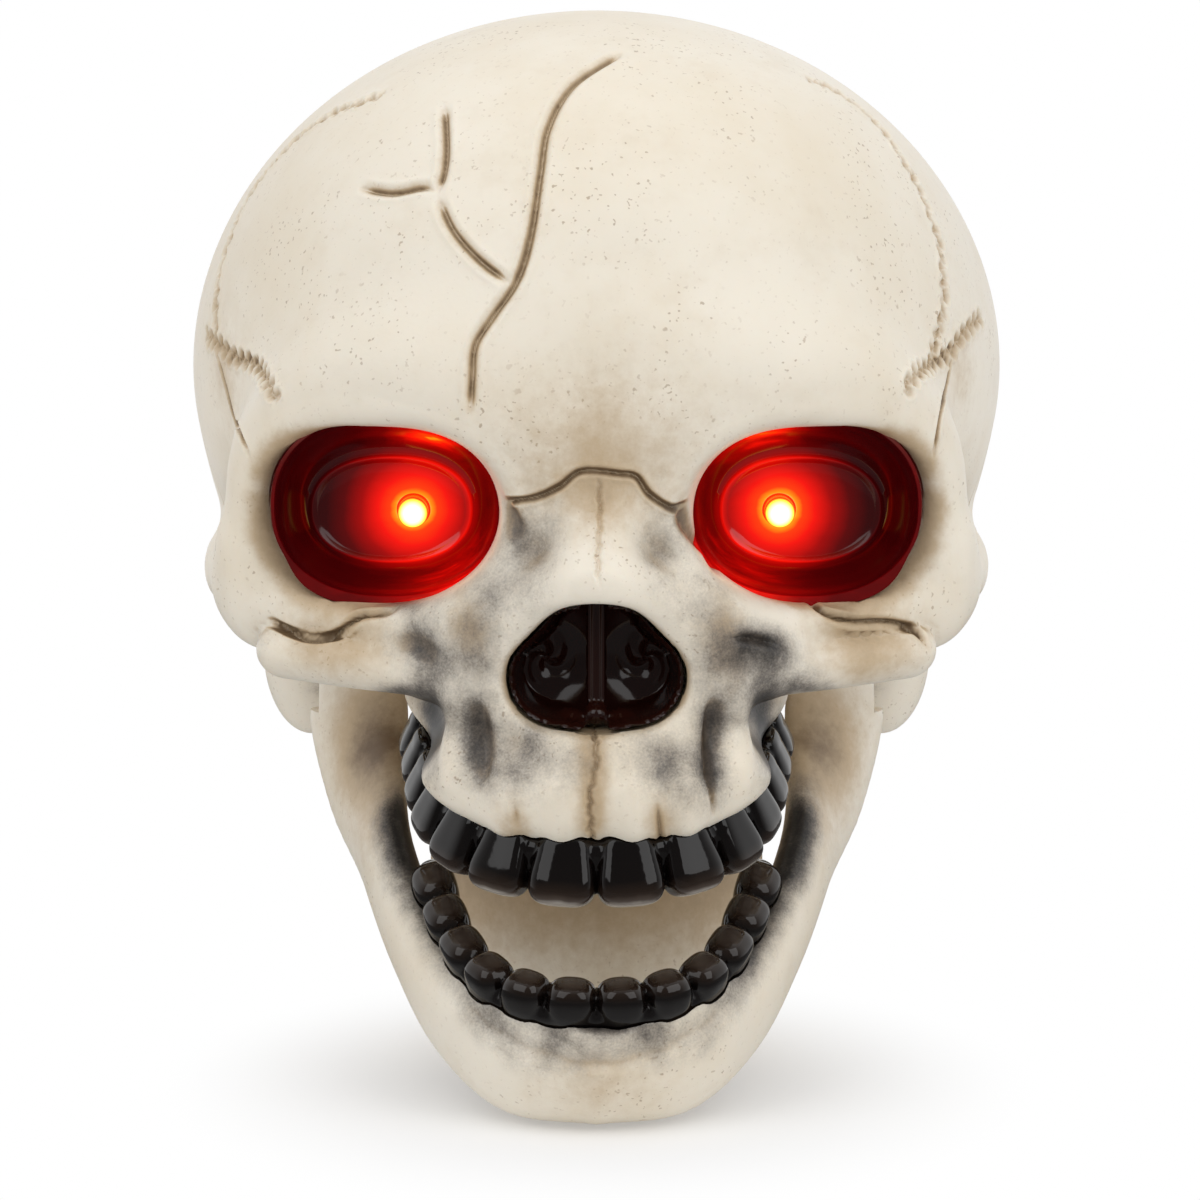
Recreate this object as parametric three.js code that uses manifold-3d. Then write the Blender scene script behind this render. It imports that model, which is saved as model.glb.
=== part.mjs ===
// Animated halloween skull: a hollow moulded skull on a neck stand, with lit eye cups, black teeth
// and a jaw that a small geared motor swings. Millimetres, +Z up, the face looks along -Y.
// The origin is on the floor, under the middle of the skull's length and width.
import * as THREE from "three";
import { mergeVertices } from "three/addons/utils/BufferGeometryUtils.js";
import Module from "manifold-3d";

const wasm = await Module();
wasm.setup();

// General
const WALL = 2.2;
const FACE_WALL_EXTRA = 1.2;
const CLEARANCE = 0.35;
// Room around a moulded insert, whose surface and pocket are both thinned to fewer facets
const MOULD_CLEARANCE = 1.05;
const ROUND_SEGMENTS = 10;
const WIDE_SEGMENTS = 18;
const SMALL_SEGMENTS = 7;
// A screw in its pilot hole, and how far cutters run past the faces that they open
const PILOT_GAP = 0.2;
const PAST = 1;
const FAR = 60;

// Skull outside
const BRAINCASE_HALF_WIDTH = 69.2;
const BRAINCASE_HALF_LENGTH = 74;
const BRAINCASE_HALF_HEIGHT = 58.4;
const BRAINCASE_Y = 6;
const BRAINCASE_Z = 118.5;
const SPLIT_Y = -2;
const GRID_SIDE_MARGIN = 8.8;
const GRID_BACK_MARGIN = 15;
const GRID_TOP_MARGIN = 13.1;

// Eye sockets, cups and lamps
const ORBIT_X = 33.6;
const ORBIT_Z = 101.6;
const ORBIT_HALF_WIDTH = 18.2;
const ORBIT_HALF_HEIGHT = 14.4;
const CUP_RIM_Y = -57;
const CUP_DEPTH = 14;
const CUP_WALL = 1.6;
const CUP_FLOOR_HALF_WIDTH = 13.4;
const CUP_FLOOR_HALF_HEIGHT = 9;
const LAMP_RADIUS = 2.5;
const LAMP_FLANGE_RADIUS = 2.9;
const LAMP_FLANGE_THICKNESS = 1;
const LAMP_LENGTH = 8.6;
const LAMP_OFFSET_X = 3.6;
const LAMP_OFFSET_Z = -2.4;
const HOLDER_WALL = 1.2;
const HOLDER_LENGTH = 11;
const HOLDER_FLANGE_RADIUS = 6;
const HOLDER_FLANGE_THICKNESS = 1.6;

// Nose opening
const NOSE_Y = -72;
const NOSE_DEPTH = 20;
const NOSTRIL_X = 6.6;
const NOSTRIL_Z = 75.6;
const NOSTRIL_HALF_WIDTH = 7.8;
const NOSTRIL_HALF_HEIGHT = 7.6;
const NOSE_TOP_Z = 81;
const NOSE_TOP_HALF_WIDTH = 9.5;
const NOSE_TOP_HALF_HEIGHT = 8;
const NOSE_INSERT_FRONT_Y = -67;
const SEPTUM_HALF_WIDTH = 1.5;

// Jaw hinge
const HINGE_Y = -2;
const HINGE_Z = 78;
const AXLE_RADIUS = 2.5;
const AXLE_FLAT = 0.8;
const BEARING_X = 31;
const BEARING_HALF_LENGTH = 3;
const BEARING_RADIUS = 6.5;
const BEARING_ROOT = 2;
const EYE_INNER_X = 39.5;
const EYE_OUTER_X = 47.5;
const EYE_RADIUS = 6;
const EYE_ROOM = 1.5;
const EYE_ROOM_INNER = 1;
const EYE_ROOM_OUTER = 4;
const AXLE_SCREW_HEAD_RADIUS = 3.6;
const AXLE_SCREW_HEAD_LENGTH = 1.8;
const AXLE_SCREW_RADIUS = 1.1;
const AXLE_SCREW_LENGTH = 8;

// Gear train
const GEAR_MODULE = 1;
const PRESSURE_ANGLE = 20;
const BACKLASH = 0.3;
const SECTOR_TEETH = 48;
const SECTOR_HALF_ANGLE = 22;
const SECTOR_HALF_LENGTH = 2.5;
const SECTOR_HUB_RADIUS = 5.5;
const LAY_PINION_TEETH = 12;
const LAY_WHEEL_TEETH = 24;
const LAY_WHEEL_LENGTH = 3;
const LAY_PIN_RADIUS = 1.5;
const LAY_PIN_GAP = 0.25;
const LAY_HUB_RADIUS = 3.2;
const WHEEL_GAP = 1;
const MOTOR_PINION_TEETH = 10;
const MOTOR_SHAFT_RADIUS = 1;
const MOTOR_RADIUS = 10;
const MOTOR_FLAT = 7.6;
const MOTOR_LENGTH = 25;
const MOTOR_BOSS_RADIUS = 3;
const MOTOR_TAIL = 2;
const MOTOR_SHAFT_GRIP = 8;
const PINION_GAP = 0.15;
const PINION_OVERLAP = 0.4;
const FRAME_PLATE = 1.8;
const FRAME_HALF_GAP = 8.6;
const FRAME_FRONT_Y = -9;
const FRAME_REAR_Y = 29;
const FRAME_FLOOR = 2;
const FRAME_TOP_EDGE = 6;
const FRAME_WINDOW_RADIUS = 8;
const FRAME_SCREW_LENGTH = 4.4;
const FRAME_SCREW_FRONT_INSET = 15;
const FRAME_SCREW_REAR_INSET = 4;

// Neck stand, batteries and base
const NECK_Y = 10;
const NECK_FOOT_RADIUS = 26.5;
const NECK_BELLY_RADIUS = 29;
const NECK_TOP_RADIUS = 26;
const NECK_WALL = 2.4;
const NECK_BELLY_LOW_Z = 14;
const NECK_BELLY_HIGH_Z = 36;
const NECK_TAPER_TOP_Z = 52;
const DECK_BOTTOM_Z = 66;
const DECK_THICKNESS = 3;
const DECK_LIP = 4;
const DECK_ROOM = 1.5;
const WIRE_HOLE_RADIUS = 2.2;
const WIRE_HOLE_ANGLE = 210;
const WIRE_HOLE_EDGE = 1.2;
const COLLAR_BOTTOM_Z = 56.5;
const COLLAR_WALL = 3.4;
const BASE_THICKNESS = 3.6;
const BASE_SCREW_INSET = 2.9;
const BASE_SCREW_TOP_Z = 14;
const BASE_SCREW_HEAD_LENGTH = 1.4;
const BASE_SCREW_SEAT_Z = 2;
const BASE_POST_RADIUS = 3.6;
const BASE_POST_TOP_Z = 18;
const CELL_STAND_RADIUS = 4;
const CELL_RADIUS = 7.1;
const CELL_LENGTH = 49.2;
const CELL_NUB_RADIUS = 2.7;
const CELL_NUB_LENGTH = 1.2;
const CELL_RING_RADIUS = 9.2;
const CELL_ANGLES = [30, 150, 270];
const CELL_BOTTOM_Z = 7.6;
const TRAY_WALL = 1.4;
const TRAY_CORE_RADIUS = 4.4;
const TRAY_FLANGE = 3;
const CONTACT_THICKNESS = 0.6;
const CONTACT_RADIUS = 5;
const SWITCH_Z = 27;
const SWITCH_HALF_WIDTH = 6;
const SWITCH_HALF_HEIGHT = 3.4;
const SWITCH_DEPTH = 5;
const KNOB_HALF_WIDTH = 2;
const KNOB_HALF_HEIGHT = 1.6;
const KNOB_PROUD = 1.6;
const KNOB_TRAVEL = 4;

// Screws that hold the shell halves together
const SHELL_SCREW_RADIUS = 1.3;
const SHELL_SCREW_HEAD_RADIUS = 2.7;
const SHELL_SCREW_HEAD_LENGTH = 1.8;
const SHELL_SCREW_LENGTH = 14;
const BOSS_RADIUS = 4.4;
const BOSS_FLOOR = 5;
const BOSS_LENGTH = 14;
const BOSS_HIGH_X = 44;
const BOSS_HIGH_Z = 156;
const BOSS_LOW_X = 51;
const BOSS_LOW_Z = 92;

// Voice parts
const SPEAKER_Z = 118;
const SPEAKER_RADIUS = 15;
const SPEAKER_THICKNESS = 5;
const SPEAKER_RING_WALL = 2;
const SPEAKER_MAGNET_LENGTH = 5;
const SPEAKER_RIM = 2;
const SPEAKER_SET_BACK = 5;
const GRILLE_EDGE = 4;
const GRILLE_PITCH = 4;
const GRILLE_SLOT_HALF_HEIGHT = 1;
const BOARD_HALF_WIDTH = 13.5;
const BOARD_HEIGHT = 38;
const BOARD_THICKNESS = 1.6;
const BOARD_Y = 33;
const CHIP_HALF_WIDTH = 5;
const CHIP_LOW = 16;
const CHIP_HEIGHT = 8;
const CHIP_PROUD = 2;
const PLUG_INNER_X = 6;
const PLUG_OUTER_X = 14;
const PLUG_LOW = 28;
const PLUG_HEIGHT = 6;
const PLUG_PROUD = 5;

// Distance helpers. A field is negative inside the material.
const blend = (a, b, k) => {
  const h = Math.max(k - Math.abs(a - b), 0) / k;
  return Math.min(a, b) - (h * h * k) / 4;
};
const carve = (a, b, k) => -blend(-a, b, k);

function ellipsoid([cx, cy, cz], [rx, ry, rz]) {
  return (x, y, z) => {
    const px = (x - cx) / rx;
    const py = (y - cy) / ry;
    const pz = (z - cz) / rz;
    const near = Math.hypot(px, py, pz);
    const slope = Math.hypot(px / rx, py / ry, pz / rz);
    return slope < 1e-9 ? -Math.min(rx, ry, rz) : (near * (near - 1)) / slope;
  };
}

// A rod of elliptical section through stations [x, y, z, half size along "across", other half size].
// The stations are joined by a smooth curve, drawn with "steps" straight links between two stations.
// A station may name its own across direction as a sixth entry; "cap" limits how far the ends bulge.
function sweep(stations, across, steps = 4, cap = Infinity) {
  const hints = new THREE.CatmullRomCurve3(stations.map((p) => new THREE.Vector3(...(p[5] ?? across))));
  const path = new THREE.CatmullRomCurve3(stations.map((p) => new THREE.Vector3(p[0], p[1], p[2])));
  const sizes = new THREE.CatmullRomCurve3(stations.map((p) => new THREE.Vector3(p[3], p[4], 0)));
  const count = (stations.length - 1) * steps;
  const knots = Array.from({ length: count + 1 }, (unused, i) => {
    const at = path.getPoint(i / count);
    const size = sizes.getPoint(i / count);
    return [at.x, at.y, at.z, size.x, size.y];
  });
  const links = [];
  for (let i = 0; i < count; i++) {
    const from = knots[i];
    const to = knots[i + 1];
    const way = new THREE.Vector3(to[0] - from[0], to[1] - from[1], to[2] - from[2]);
    const length = way.length();
    const along = way.normalize();
    const hint = hints.getPoint((i + 0.5) / count);
    const side = hint.clone().addScaledVector(along, -along.dot(hint)).normalize();
    const other = new THREE.Vector3().crossVectors(along, side);
    links.push({ from, to, length, along, side, other });
  }
  return (x, y, z) => {
    let best = Infinity;
    for (const { from, to, length, along, side, other } of links) {
      const px = x - from[0];
      const py = y - from[1];
      const pz = z - from[2];
      const run = px * along.x + py * along.y + pz * along.z;
      const u = Math.min(1, Math.max(0, run / length));
      const end = run - u * length;
      const p = px * side.x + py * side.y + pz * side.z;
      const q = px * other.x + py * other.y + pz * other.z;
      const rp = from[3] + (to[3] - from[3]) * u;
      const rq = from[4] + (to[4] - from[4]) * u;
      const re = Math.min(rp, rq, cap);
      const near = Math.hypot(p / rp, q / rq, end / re);
      const slope = Math.hypot(p / rp / rp, q / rq / rq, end / re / re);
      best = Math.min(best, slope < 1e-9 ? -re : (near * (near - 1)) / slope);
    }
    return best;
  };
}

// Skull bones, right half; the left half is the mirror image.
const braincase = ellipsoid(
  [0, BRAINCASE_Y, BRAINCASE_Z],
  [BRAINCASE_HALF_WIDTH, BRAINCASE_HALF_LENGTH, BRAINCASE_HALF_HEIGHT],
);
const temples = ellipsoid([0, 24, 96], [62.5, 50, 43]);
const forehead = ellipsoid([0, -22, 132], [50, 46, 40]);
const skullBase = ellipsoid([0, 24, 78], [40, 36, 20]);
const browRidge = sweep(
  [
    [0, -64.5, 113, 6.5, 7],
    [12, -65, 116, 6, 7],
    [28, -63.5, 121.5, 5.5, 7],
    [42, -57.5, 119.5, 5.5, 6.5],
    [53, -48.5, 109, 5.5, 5.5],
    [55.5, -45, 96, 5.5, 5.5],
  ],
  [0, 1, 0],
);
const cheek = ellipsoid([53, -43, 86.5], [9.5, 9, 10.5]);
const cheekUnder = sweep(
  [
    [46, -51, 84, 6, 5.5],
    [33, -57.5, 83, 5.5, 5],
    [22, -62.5, 85, 5.5, 5],
  ],
  [0, 1, 0],
);
const cheekBar = sweep(
  [
    [50, -49.5, 76.5, 6.8, 5.8],
    [40, -55, 75.5, 6.4, 5.6],
    [28, -60, 74.5, 6, 6.5],
  ],
  [0, 1, 0],
);
const archStations = [
  [58, -40, 88, 4.5, 6],
  [62, -22, 86, 3.6, 5],
  [62.5, -4, 87, 3.8, 5],
  [58, 12, 90, 5, 6],
];
const cheekArch = sweep(archStations, [1, 0, 0]);
const noseBridge = sweep(
  [
    [0, -62, 110, 8.5, 6.5],
    [0, -69.5, 101, 6.5, 6],
    [0, -75.5, 92, 7, 5],
  ],
  [1, 0, 0],
);
const noseSide = sweep(
  [
    [9, -62, 110, 5.5, 6],
    [12, -64, 98, 6, 5.5],
    [18, -65, 86, 6, 5.5],
    [21, -64, 74, 6, 5.5],
  ],
  [0, 1, 0],
);
const noseRim = sweep(
  [
    [0, -74, 90.5, 4, 4],
    [9, -72, 88.5, 4, 4],
    [16, -68.5, 80, 3.8, 3.8],
    [15, -67.5, 70.5, 4, 4],
    [5, -71, 66, 4, 4],
    [0, -71.5, 65.5, 4, 4],
  ],
  [0, 1, 0],
);
const maxilla = ellipsoid([0, -46, 76], [25.6, 27, 26]);
const gumRidge = sweep(
  [
    [0, -72.4, 57.6, 5.8, 8.2],
    [12, -71, 58, 5.8, 8],
    [21.4, -64, 60.6, 5.4, 7.4],
    [25.2, -52, 64.4, 4.6, 6.4],
    [26.6, -40, 67.5, 4, 5],
  ],
  [0, 1, 0],
);
const mastoid = ellipsoid([50, 19, 67], [8.5, 10.5, 15]);
const orbit = ellipsoid(
  [ORBIT_X, CUP_RIM_Y + 2, ORBIT_Z],
  [ORBIT_HALF_WIDTH + 0.9, CUP_DEPTH + 3.5, ORBIT_HALF_HEIGHT + 0.9],
);
const nostril = ellipsoid(
  [NOSTRIL_X, NOSE_Y, NOSTRIL_Z],
  [NOSTRIL_HALF_WIDTH, NOSE_DEPTH, NOSTRIL_HALF_HEIGHT],
);
const noseTop = ellipsoid(
  [0, NOSE_Y, NOSE_TOP_Z],
  [NOSE_TOP_HALF_WIDTH, NOSE_DEPTH, NOSE_TOP_HALF_HEIGHT],
);
const noseHole = (x, y, z) => blend(nostril(x, y, z), noseTop(x, y, z), 3);
const jawRoom = sweep(
  [
    [45, -18, 44, 11.5, 21],
    [46, -11, 66, 11.5, 21],
    [47, -8, 84, 10.5, 16],
    [50, -12, 98, 6, 12],
  ],
  [1, 0, 0],
);

export function skullField(signedX, y, z) {
  const x = Math.abs(signedX);
  let d = blend(braincase(x, y, z), temples(x, y, z), 14);
  d = blend(d, forehead(x, y, z), 24);
  d = blend(d, skullBase(x, y, z), 10);
  d = blend(d, maxilla(x, y, z), 10);
  d = blend(d, browRidge(x, y, z), 14);
  d = carve(d, jawRoom(x, y, z), 8);
  d = blend(d, cheek(x, y, z), 8);
  d = blend(d, cheekUnder(x, y, z), 6);
  d = blend(d, noseSide(x, y, z), 8);
  d = blend(d, noseBridge(x, y, z), 6);
  d = blend(d, gumRidge(x, y, z), 6);
  d = blend(d, noseRim(x, y, z), 5);
  d = carve(d, orbit(x, y, z), 5);
  d = blend(d, cheekBar(x, y, z), 3.5);
  d = blend(d, cheekArch(x, y, z), 4);
  d = blend(d, mastoid(x, y, z), 8);
  return carve(d, noseHole(x, y, z), 2);
}

// The hollow follows the big bones only, so no pocket is left sealed in a cheek or brow.
const cavityField = (signedX, y, z) => {
  const x = Math.abs(signedX);
  let d = blend(braincase(x, y, z), temples(x, y, z), 14);
  d = blend(d, forehead(x, y, z), 24);
  d = blend(d, skullBase(x, y, z), 10);
  return Math.max(d + WALL, skullField(x, y, z) + WALL + FACE_WALL_EXTRA);
};

// The jaw's tall side leans forward at the chin.
const JAW_LEAN = [0, -0.6, 0.8];
// Jaw bone: a U swept from the chin up to the hinge eye.
const jawBone = sweep(
  [
    [0, -65.2, 10.6, 11.4, 6.8],
    [13, -62, 11.4, 11.4, 6.4],
    [22.5, -53, 16.8, 10.2, 5.6],
    [29.5, -41, 26, 9, 5],
    [35, -28.5, 37.6, 9.4, 4.4, [-0.12, -0.62, 0.76]],
    [38.8, -16.6, 50, 11, 4.1, [-0.55, -0.66, 0.5]],
    [40.8, -9.8, 62, 11.4, 3.9, [-0.75, -0.65, 0.2]],
    [43.5, HINGE_Y, HINGE_Z, 6.5, 4, [-0.3, -0.95, 0]],
  ],
  JAW_LEAN,
);
export const jawField = (x, y, z) => jawBone(Math.abs(x), y, z);

// Tooth rows. Each row is a gum band along the arch with one tapered tooth per place on it.
const TOOTH_TIP = 1.9;
function toothRow(archPoints, lean, edges, lengths, gumThick, gumTall, toothThick) {
  const curve = new THREE.CatmullRomCurve3(archPoints.map((p) => new THREE.Vector3(...p)));
  const at = (x) => {
    let low = 0;
    let high = 1;
    for (let i = 0; i < 30; i++) {
      const middle = (low + high) / 2;
      if (curve.getPoint(middle).x < x) low = middle;
      else high = middle;
    }
    return low;
  };
  const teeth = lengths.map((length, i) => {
    const u0 = at(edges[i]);
    const u1 = at(edges[i + 1]);
    const a = curve.getPoint(u0);
    const b = curve.getPoint(u1);
    const root = curve.getPoint((u0 + u1) / 2);
    const across = b.clone().sub(a);
    const half = across.length() / 2;
    across.normalize();
    const out = new THREE.Vector3(across.y, -across.x, 0).normalize();
    const way = new THREE.Vector3(0, 0, lean[1]).addScaledVector(out, lean[0]).normalize();
    const tip = root.clone().addScaledVector(way, length);
    return sweep(
      [
        [root.x, root.y, root.z, half * 0.95, toothThick],
        [tip.x, tip.y, tip.z, half * 1.06, toothThick * 0.86],
      ],
      [across.x, across.y, across.z],
      1,
      TOOTH_TIP,
    );
  });
  const gumStations = [];
  for (let i = 0; i <= 8; i++) {
    const p = curve.getPoint((i / 8) * at(edges[edges.length - 1]));
    gumStations.push([p.x, p.y, p.z, gumTall, gumThick]);
  }
  const gum = sweep(gumStations, [0, 0, 1], 2);
  return (signedX, y, z) => {
    const x = Math.abs(signedX);
    let d = gum(x, y, z);
    for (const tooth of teeth) d = blend(d, tooth(x, y, z), 0.8);
    return d;
  };
}
const upperRow = toothRow(
  [
    [0, -74, 47.6],
    [10, -72.6, 48.1],
    [18, -68, 49.8],
    [24.4, -60.5, 52.4],
    [28.8, -52, 55.4],
    [31.6, -44.5, 58],
    [33.4, -38, 60],
    [34.6, -32, 61.8],
  ],
  [0.26, -1],
  [0, 9.8, 17.6, 23.6, 28, 30.9, 32.9, 34.2],
  [7, 6.6, 6.2, 5.8, 5.4, 5, 4.4],
  3,
  2.6,
  3.8,
);
const lowerRow = toothRow(
  [
    [0, -71, 20.8],
    [8, -70.2, 21.2],
    [15, -66.5, 22.8],
    [20.4, -60.5, 25.6],
    [24.6, -53, 29.4],
    [27.6, -45.5, 33.6],
    [30, -38, 38.2],
    [32, -30, 43],
  ],
  [0.3, 1],
  [0, 7.8, 14.6, 20, 24.2, 27.2, 29.6],
  [4.4, 4.4, 4.2, 4, 3.8, 3.4],
  3.4,
  2.8,
  3.6,
);
export const upperTeethField = upperRow;
export const lowerTeethField = lowerRow;

const nosePlug = (x, y, z) => Math.max(noseHole(Math.abs(x), y, z) + CLEARANCE, NOSE_INSERT_FRONT_Y - y);
export const noseInsertField = (signedX, y, z) => {
  const x = Math.abs(signedX);
  const hollow = ellipsoid(
    [NOSTRIL_X + 0.3, NOSE_INSERT_FRONT_Y - 1, NOSTRIL_Z + 1.4],
    [NOSTRIL_X - SEPTUM_HALF_WIDTH, 9, 7],
  );
  return carve(nosePlug(x, y, z), hollow(x, y, z), 1);
};

// Mesher. One vertex per patch of surface in each box of the grid, then moved onto the surface.
const CORNERS = [
  [0, 0, 0],
  [1, 0, 0],
  [0, 1, 0],
  [1, 1, 0],
  [0, 0, 1],
  [1, 0, 1],
  [0, 1, 1],
  [1, 1, 1],
];
const EDGES = [];
for (let a = 0; a < 8; a++) {
  for (const step of [1, 2, 4]) if (!(a & step)) EDGES.push([a, a | step]);
}
const FACES = [];
for (const [axis, s, t] of [
  [1, 2, 4],
  [2, 4, 1],
  [4, 1, 2],
]) {
  for (const off of [0, axis]) FACES.push([off, off | s, off | s | t, off | t]);
}
const edgeOf = (a, b) => EDGES.findIndex(([p, q]) => p === Math.min(a, b) && q === Math.max(a, b));
const FACE_EDGES = FACES.map((f) => f.map((corner, i) => edgeOf(corner, f[(i + 1) % 4])));

function solidFromField(field, [xs, ys, zs], keep = Infinity) {
  const nx = xs.length;
  const ny = ys.length;
  const nz = zs.length;
  const values = new Float64Array(nx * ny * nz);
  const index = (i, j, k) => i + nx * (j + ny * k);
  for (let k = 0; k < nz; k++) {
    for (let j = 0; j < ny; j++) {
      for (let i = 0; i < nx; i++) values[index(i, j, k)] = field(xs[i], ys[j], zs[k]);
    }
  }
  const points = [];
  const patches = new Map();
  const patchOf = (i, j, k) => {
    const key = index(i, j, k);
    if (patches.has(key)) return patches.get(key);
    const corner = CORNERS.map(([a, b, c]) => values[index(i + a, j + b, k + c)]);
    const crossed = EDGES.map(([a, b]) => corner[a] < 0 !== corner[b] < 0);
    const group = EDGES.map((e, n) => n);
    const find = (n) => (group[n] === n ? n : find(group[n]));
    FACES.forEach((face, f) => {
      const cut = FACE_EDGES[f].filter((e) => crossed[e]);
      if (cut.length === 2) group[find(cut[0])] = find(cut[1]);
      if (cut.length === 4) {
        face.forEach((c, n) => {
          if (corner[c] < 0) group[find(FACE_EDGES[f][n])] = find(FACE_EDGES[f][(n + 3) % 4]);
        });
      }
    });
    const low = [xs[i], ys[j], zs[k]];
    const high = [xs[i + 1], ys[j + 1], zs[k + 1]];
    const made = new Map();
    const result = EDGES.map(() => -1);
    EDGES.forEach((e, n) => {
      if (!crossed[n]) return;
      const root = find(n);
      if (!made.has(root)) made.set(root, []);
      const u = corner[e[0]] / (corner[e[0]] - corner[e[1]]);
      made.get(root).push([0, 1, 2].map((axis) => {
        const a = CORNERS[e[0]][axis];
        const b = CORNERS[e[1]][axis];
        const share = a + (b - a) * u;
        return low[axis] + (high[axis] - low[axis]) * share;
      }));
    });
    for (const [root, hits] of made) {
      const p = [0, 1, 2].map((axis) => hits.reduce((sum, h) => sum + h[axis], 0) / hits.length);
      for (let turn = 0; turn < 3; turn++) {
        const d = field(...p);
        const h = 0.05;
        const g = [0, 1, 2].map((axis) => {
          const q = p.slice();
          q[axis] += h;
          return (field(...q) - d) / h;
        });
        const size = g[0] * g[0] + g[1] * g[1] + g[2] * g[2];
        if (size < 0.05) break;
        for (let axis = 0; axis < 3; axis++) {
          const room = (high[axis] - low[axis]) * 0.02;
          const moved = p[axis] - (d * g[axis]) / size;
          p[axis] = Math.min(high[axis] - room, Math.max(low[axis] + room, moved));
        }
      }
      const id = points.length / 3;
      points.push(...p);
      EDGES.forEach((e, n) => {
        if (crossed[n] && find(n) === root) result[n] = id;
      });
    }
    patches.set(key, result);
    return result;
  };
  const triangles = [];
  const at = (n) => new THREE.Vector3(points[3 * n], points[3 * n + 1], points[3 * n + 2]);
  const quad = ([a, b, c, d]) => {
    if (at(a).distanceTo(at(c)) < at(b).distanceTo(at(d))) triangles.push(a, b, c, a, c, d);
    else triangles.push(a, b, d, b, c, d);
  };
  const ring = [
    [0, 0],
    [-1, 0],
    [-1, -1],
    [0, -1],
  ];
  for (let k = 1; k < nz - 1; k++) {
    for (let j = 1; j < ny - 1; j++) {
      for (let i = 1; i < nx - 1; i++) {
        const place = [i, j, k];
        const inside = values[index(i, j, k)] < 0;
        for (let axis = 0; axis < 3; axis++) {
          const next = place.slice();
          next[axis] += 1;
          if (inside === values[index(...next)] < 0) continue;
          const second = (axis + 1) % 3;
          const third = (axis + 2) % 3;
          const ids = ring.map(([b, c]) => {
            const box = place.slice();
            box[second] += b;
            box[third] += c;
            const corner = (b ? 1 << second : 0) | (c ? 1 << third : 0);
            return patchOf(...box)[edgeOf(corner, corner | (1 << axis))];
          });
          quad(inside ? ids : ids.reverse());
        }
      }
    }
  }
  return thinned(points, triangles, keep);
}

// Merge short, flat edges until about "keep" triangles are left. Each merge keeps the surface closed.
function thinned(points, triangles, keep) {
  const spot = [];
  for (let i = 0; i < points.length; i += 3) {
    spot.push(new THREE.Vector3(points[i], points[i + 1], points[i + 2]));
  }
  const faces = [];
  for (let i = 0; i < triangles.length; i += 3) {
    faces.push([triangles[i], triangles[i + 1], triangles[i + 2]]);
  }
  const around = spot.map(() => new Set());
  faces.forEach((f, n) => f.forEach((v) => around[v].add(n)));
  const normalOf = ([a, b, c], swap, by) => {
    const at = (v) => (v === swap ? by : spot[v]);
    return at(b).clone().sub(at(a)).cross(at(c).clone().sub(at(a)));
  };
  const error = spot.map(() => new Float64Array(10));
  for (const f of faces) {
    const n = normalOf(f);
    const area = n.length();
    n.normalize();
    const w = -n.dot(spot[f[0]]);
    const q = [n.x, n.y, n.z, w];
    for (const v of f) {
      let m = 0;
      for (let i = 0; i < 4; i++) for (let j = i; j < 4; j++) error[v][m++] += q[i] * q[j] * area;
    }
  }
  const errorAt = (a, b, p) => {
    const q = [p.x, p.y, p.z, 1];
    let sum = 0;
    let m = 0;
    for (let i = 0; i < 4; i++) {
      for (let j = i; j < 4; j++, m++) sum += (i === j ? 1 : 2) * (error[a][m] + error[b][m]) * q[i] * q[j];
    }
    return sum;
  };
  const plan = (a, b) => {
    const choices = [spot[a], spot[b], spot[a].clone().add(spot[b]).multiplyScalar(0.5)];
    const length = spot[a].distanceToSquared(spot[b]);
    const ranked = choices.map((p) => ({ a, b, p, cost: errorAt(a, b, p) + length * length * 2e-4 }));
    return ranked.reduce((best, r) => (r.cost < best.cost ? r : best));
  };
  const neighbours = (v) => {
    const set = new Set();
    for (const n of around[v]) for (const u of faces[n]) if (u !== v) set.add(u);
    return set;
  };
  const stamp = spot.map(() => 0);
  let count = faces.length;
  while (count > keep) {
    const plans = [];
    spot.forEach((p, a) => {
      for (const b of neighbours(a)) if (b > a) plans.push({ ...plan(a, b), stamp: stamp[a] + stamp[b] });
    });
    plans.sort((p, q) => p.cost - q.cost);
    const before = count;
    for (const { a, b, p, stamp: when } of plans.slice(0, Math.max(40, plans.length >> 3))) {
      if (count <= keep) break;
      if (stamp[a] + stamp[b] !== when || !around[a].size || !around[b].size) continue;
      const near = neighbours(b);
      const shared = [...neighbours(a)].filter((v) => near.has(v));
      if (shared.length !== 2) continue;
      const gone = [...around[a]].filter((n) => around[b].has(n));
      const turns = (v) => [...around[v]].some((n) => {
        if (gone.includes(n)) return false;
        const was = normalOf(faces[n]);
        const is = normalOf(faces[n], v, p);
        return was.dot(is) < 0.5 * was.length() * is.length() || is.length() < 0.05;
      });
      if (turns(a) || turns(b)) continue;
      for (const n of gone) for (const v of faces[n]) around[v].delete(n);
      for (const n of around[b]) {
        faces[n] = faces[n].map((v) => (v === b ? a : v));
        around[a].add(n);
      }
      around[b].clear();
      spot[a] = p.clone();
      for (let m = 0; m < 10; m++) error[a][m] += error[b][m];
      for (const v of neighbours(a)) stamp[v] += 1;
      stamp[a] += 1;
      count -= gone.length;
    }
    if (count === before) break;
  }
  const alive = new Set();
  spot.forEach((p, v) => around[v].forEach((n) => alive.add(n)));
  const left = [...alive].sort((m, n) => m - n).flatMap((n) => faces[n]);
  return solidFromTriangles(spot.flatMap((p) => [p.x, p.y, p.z]), left);
}

function solidFromTriangles(points, triangles) {
  const vertProperties = new Float32Array(points);
  const triVerts = new Uint32Array(triangles);
  return new wasm.Manifold(new wasm.Mesh({ numProp: 3, vertProperties, triVerts }));
}

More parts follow.
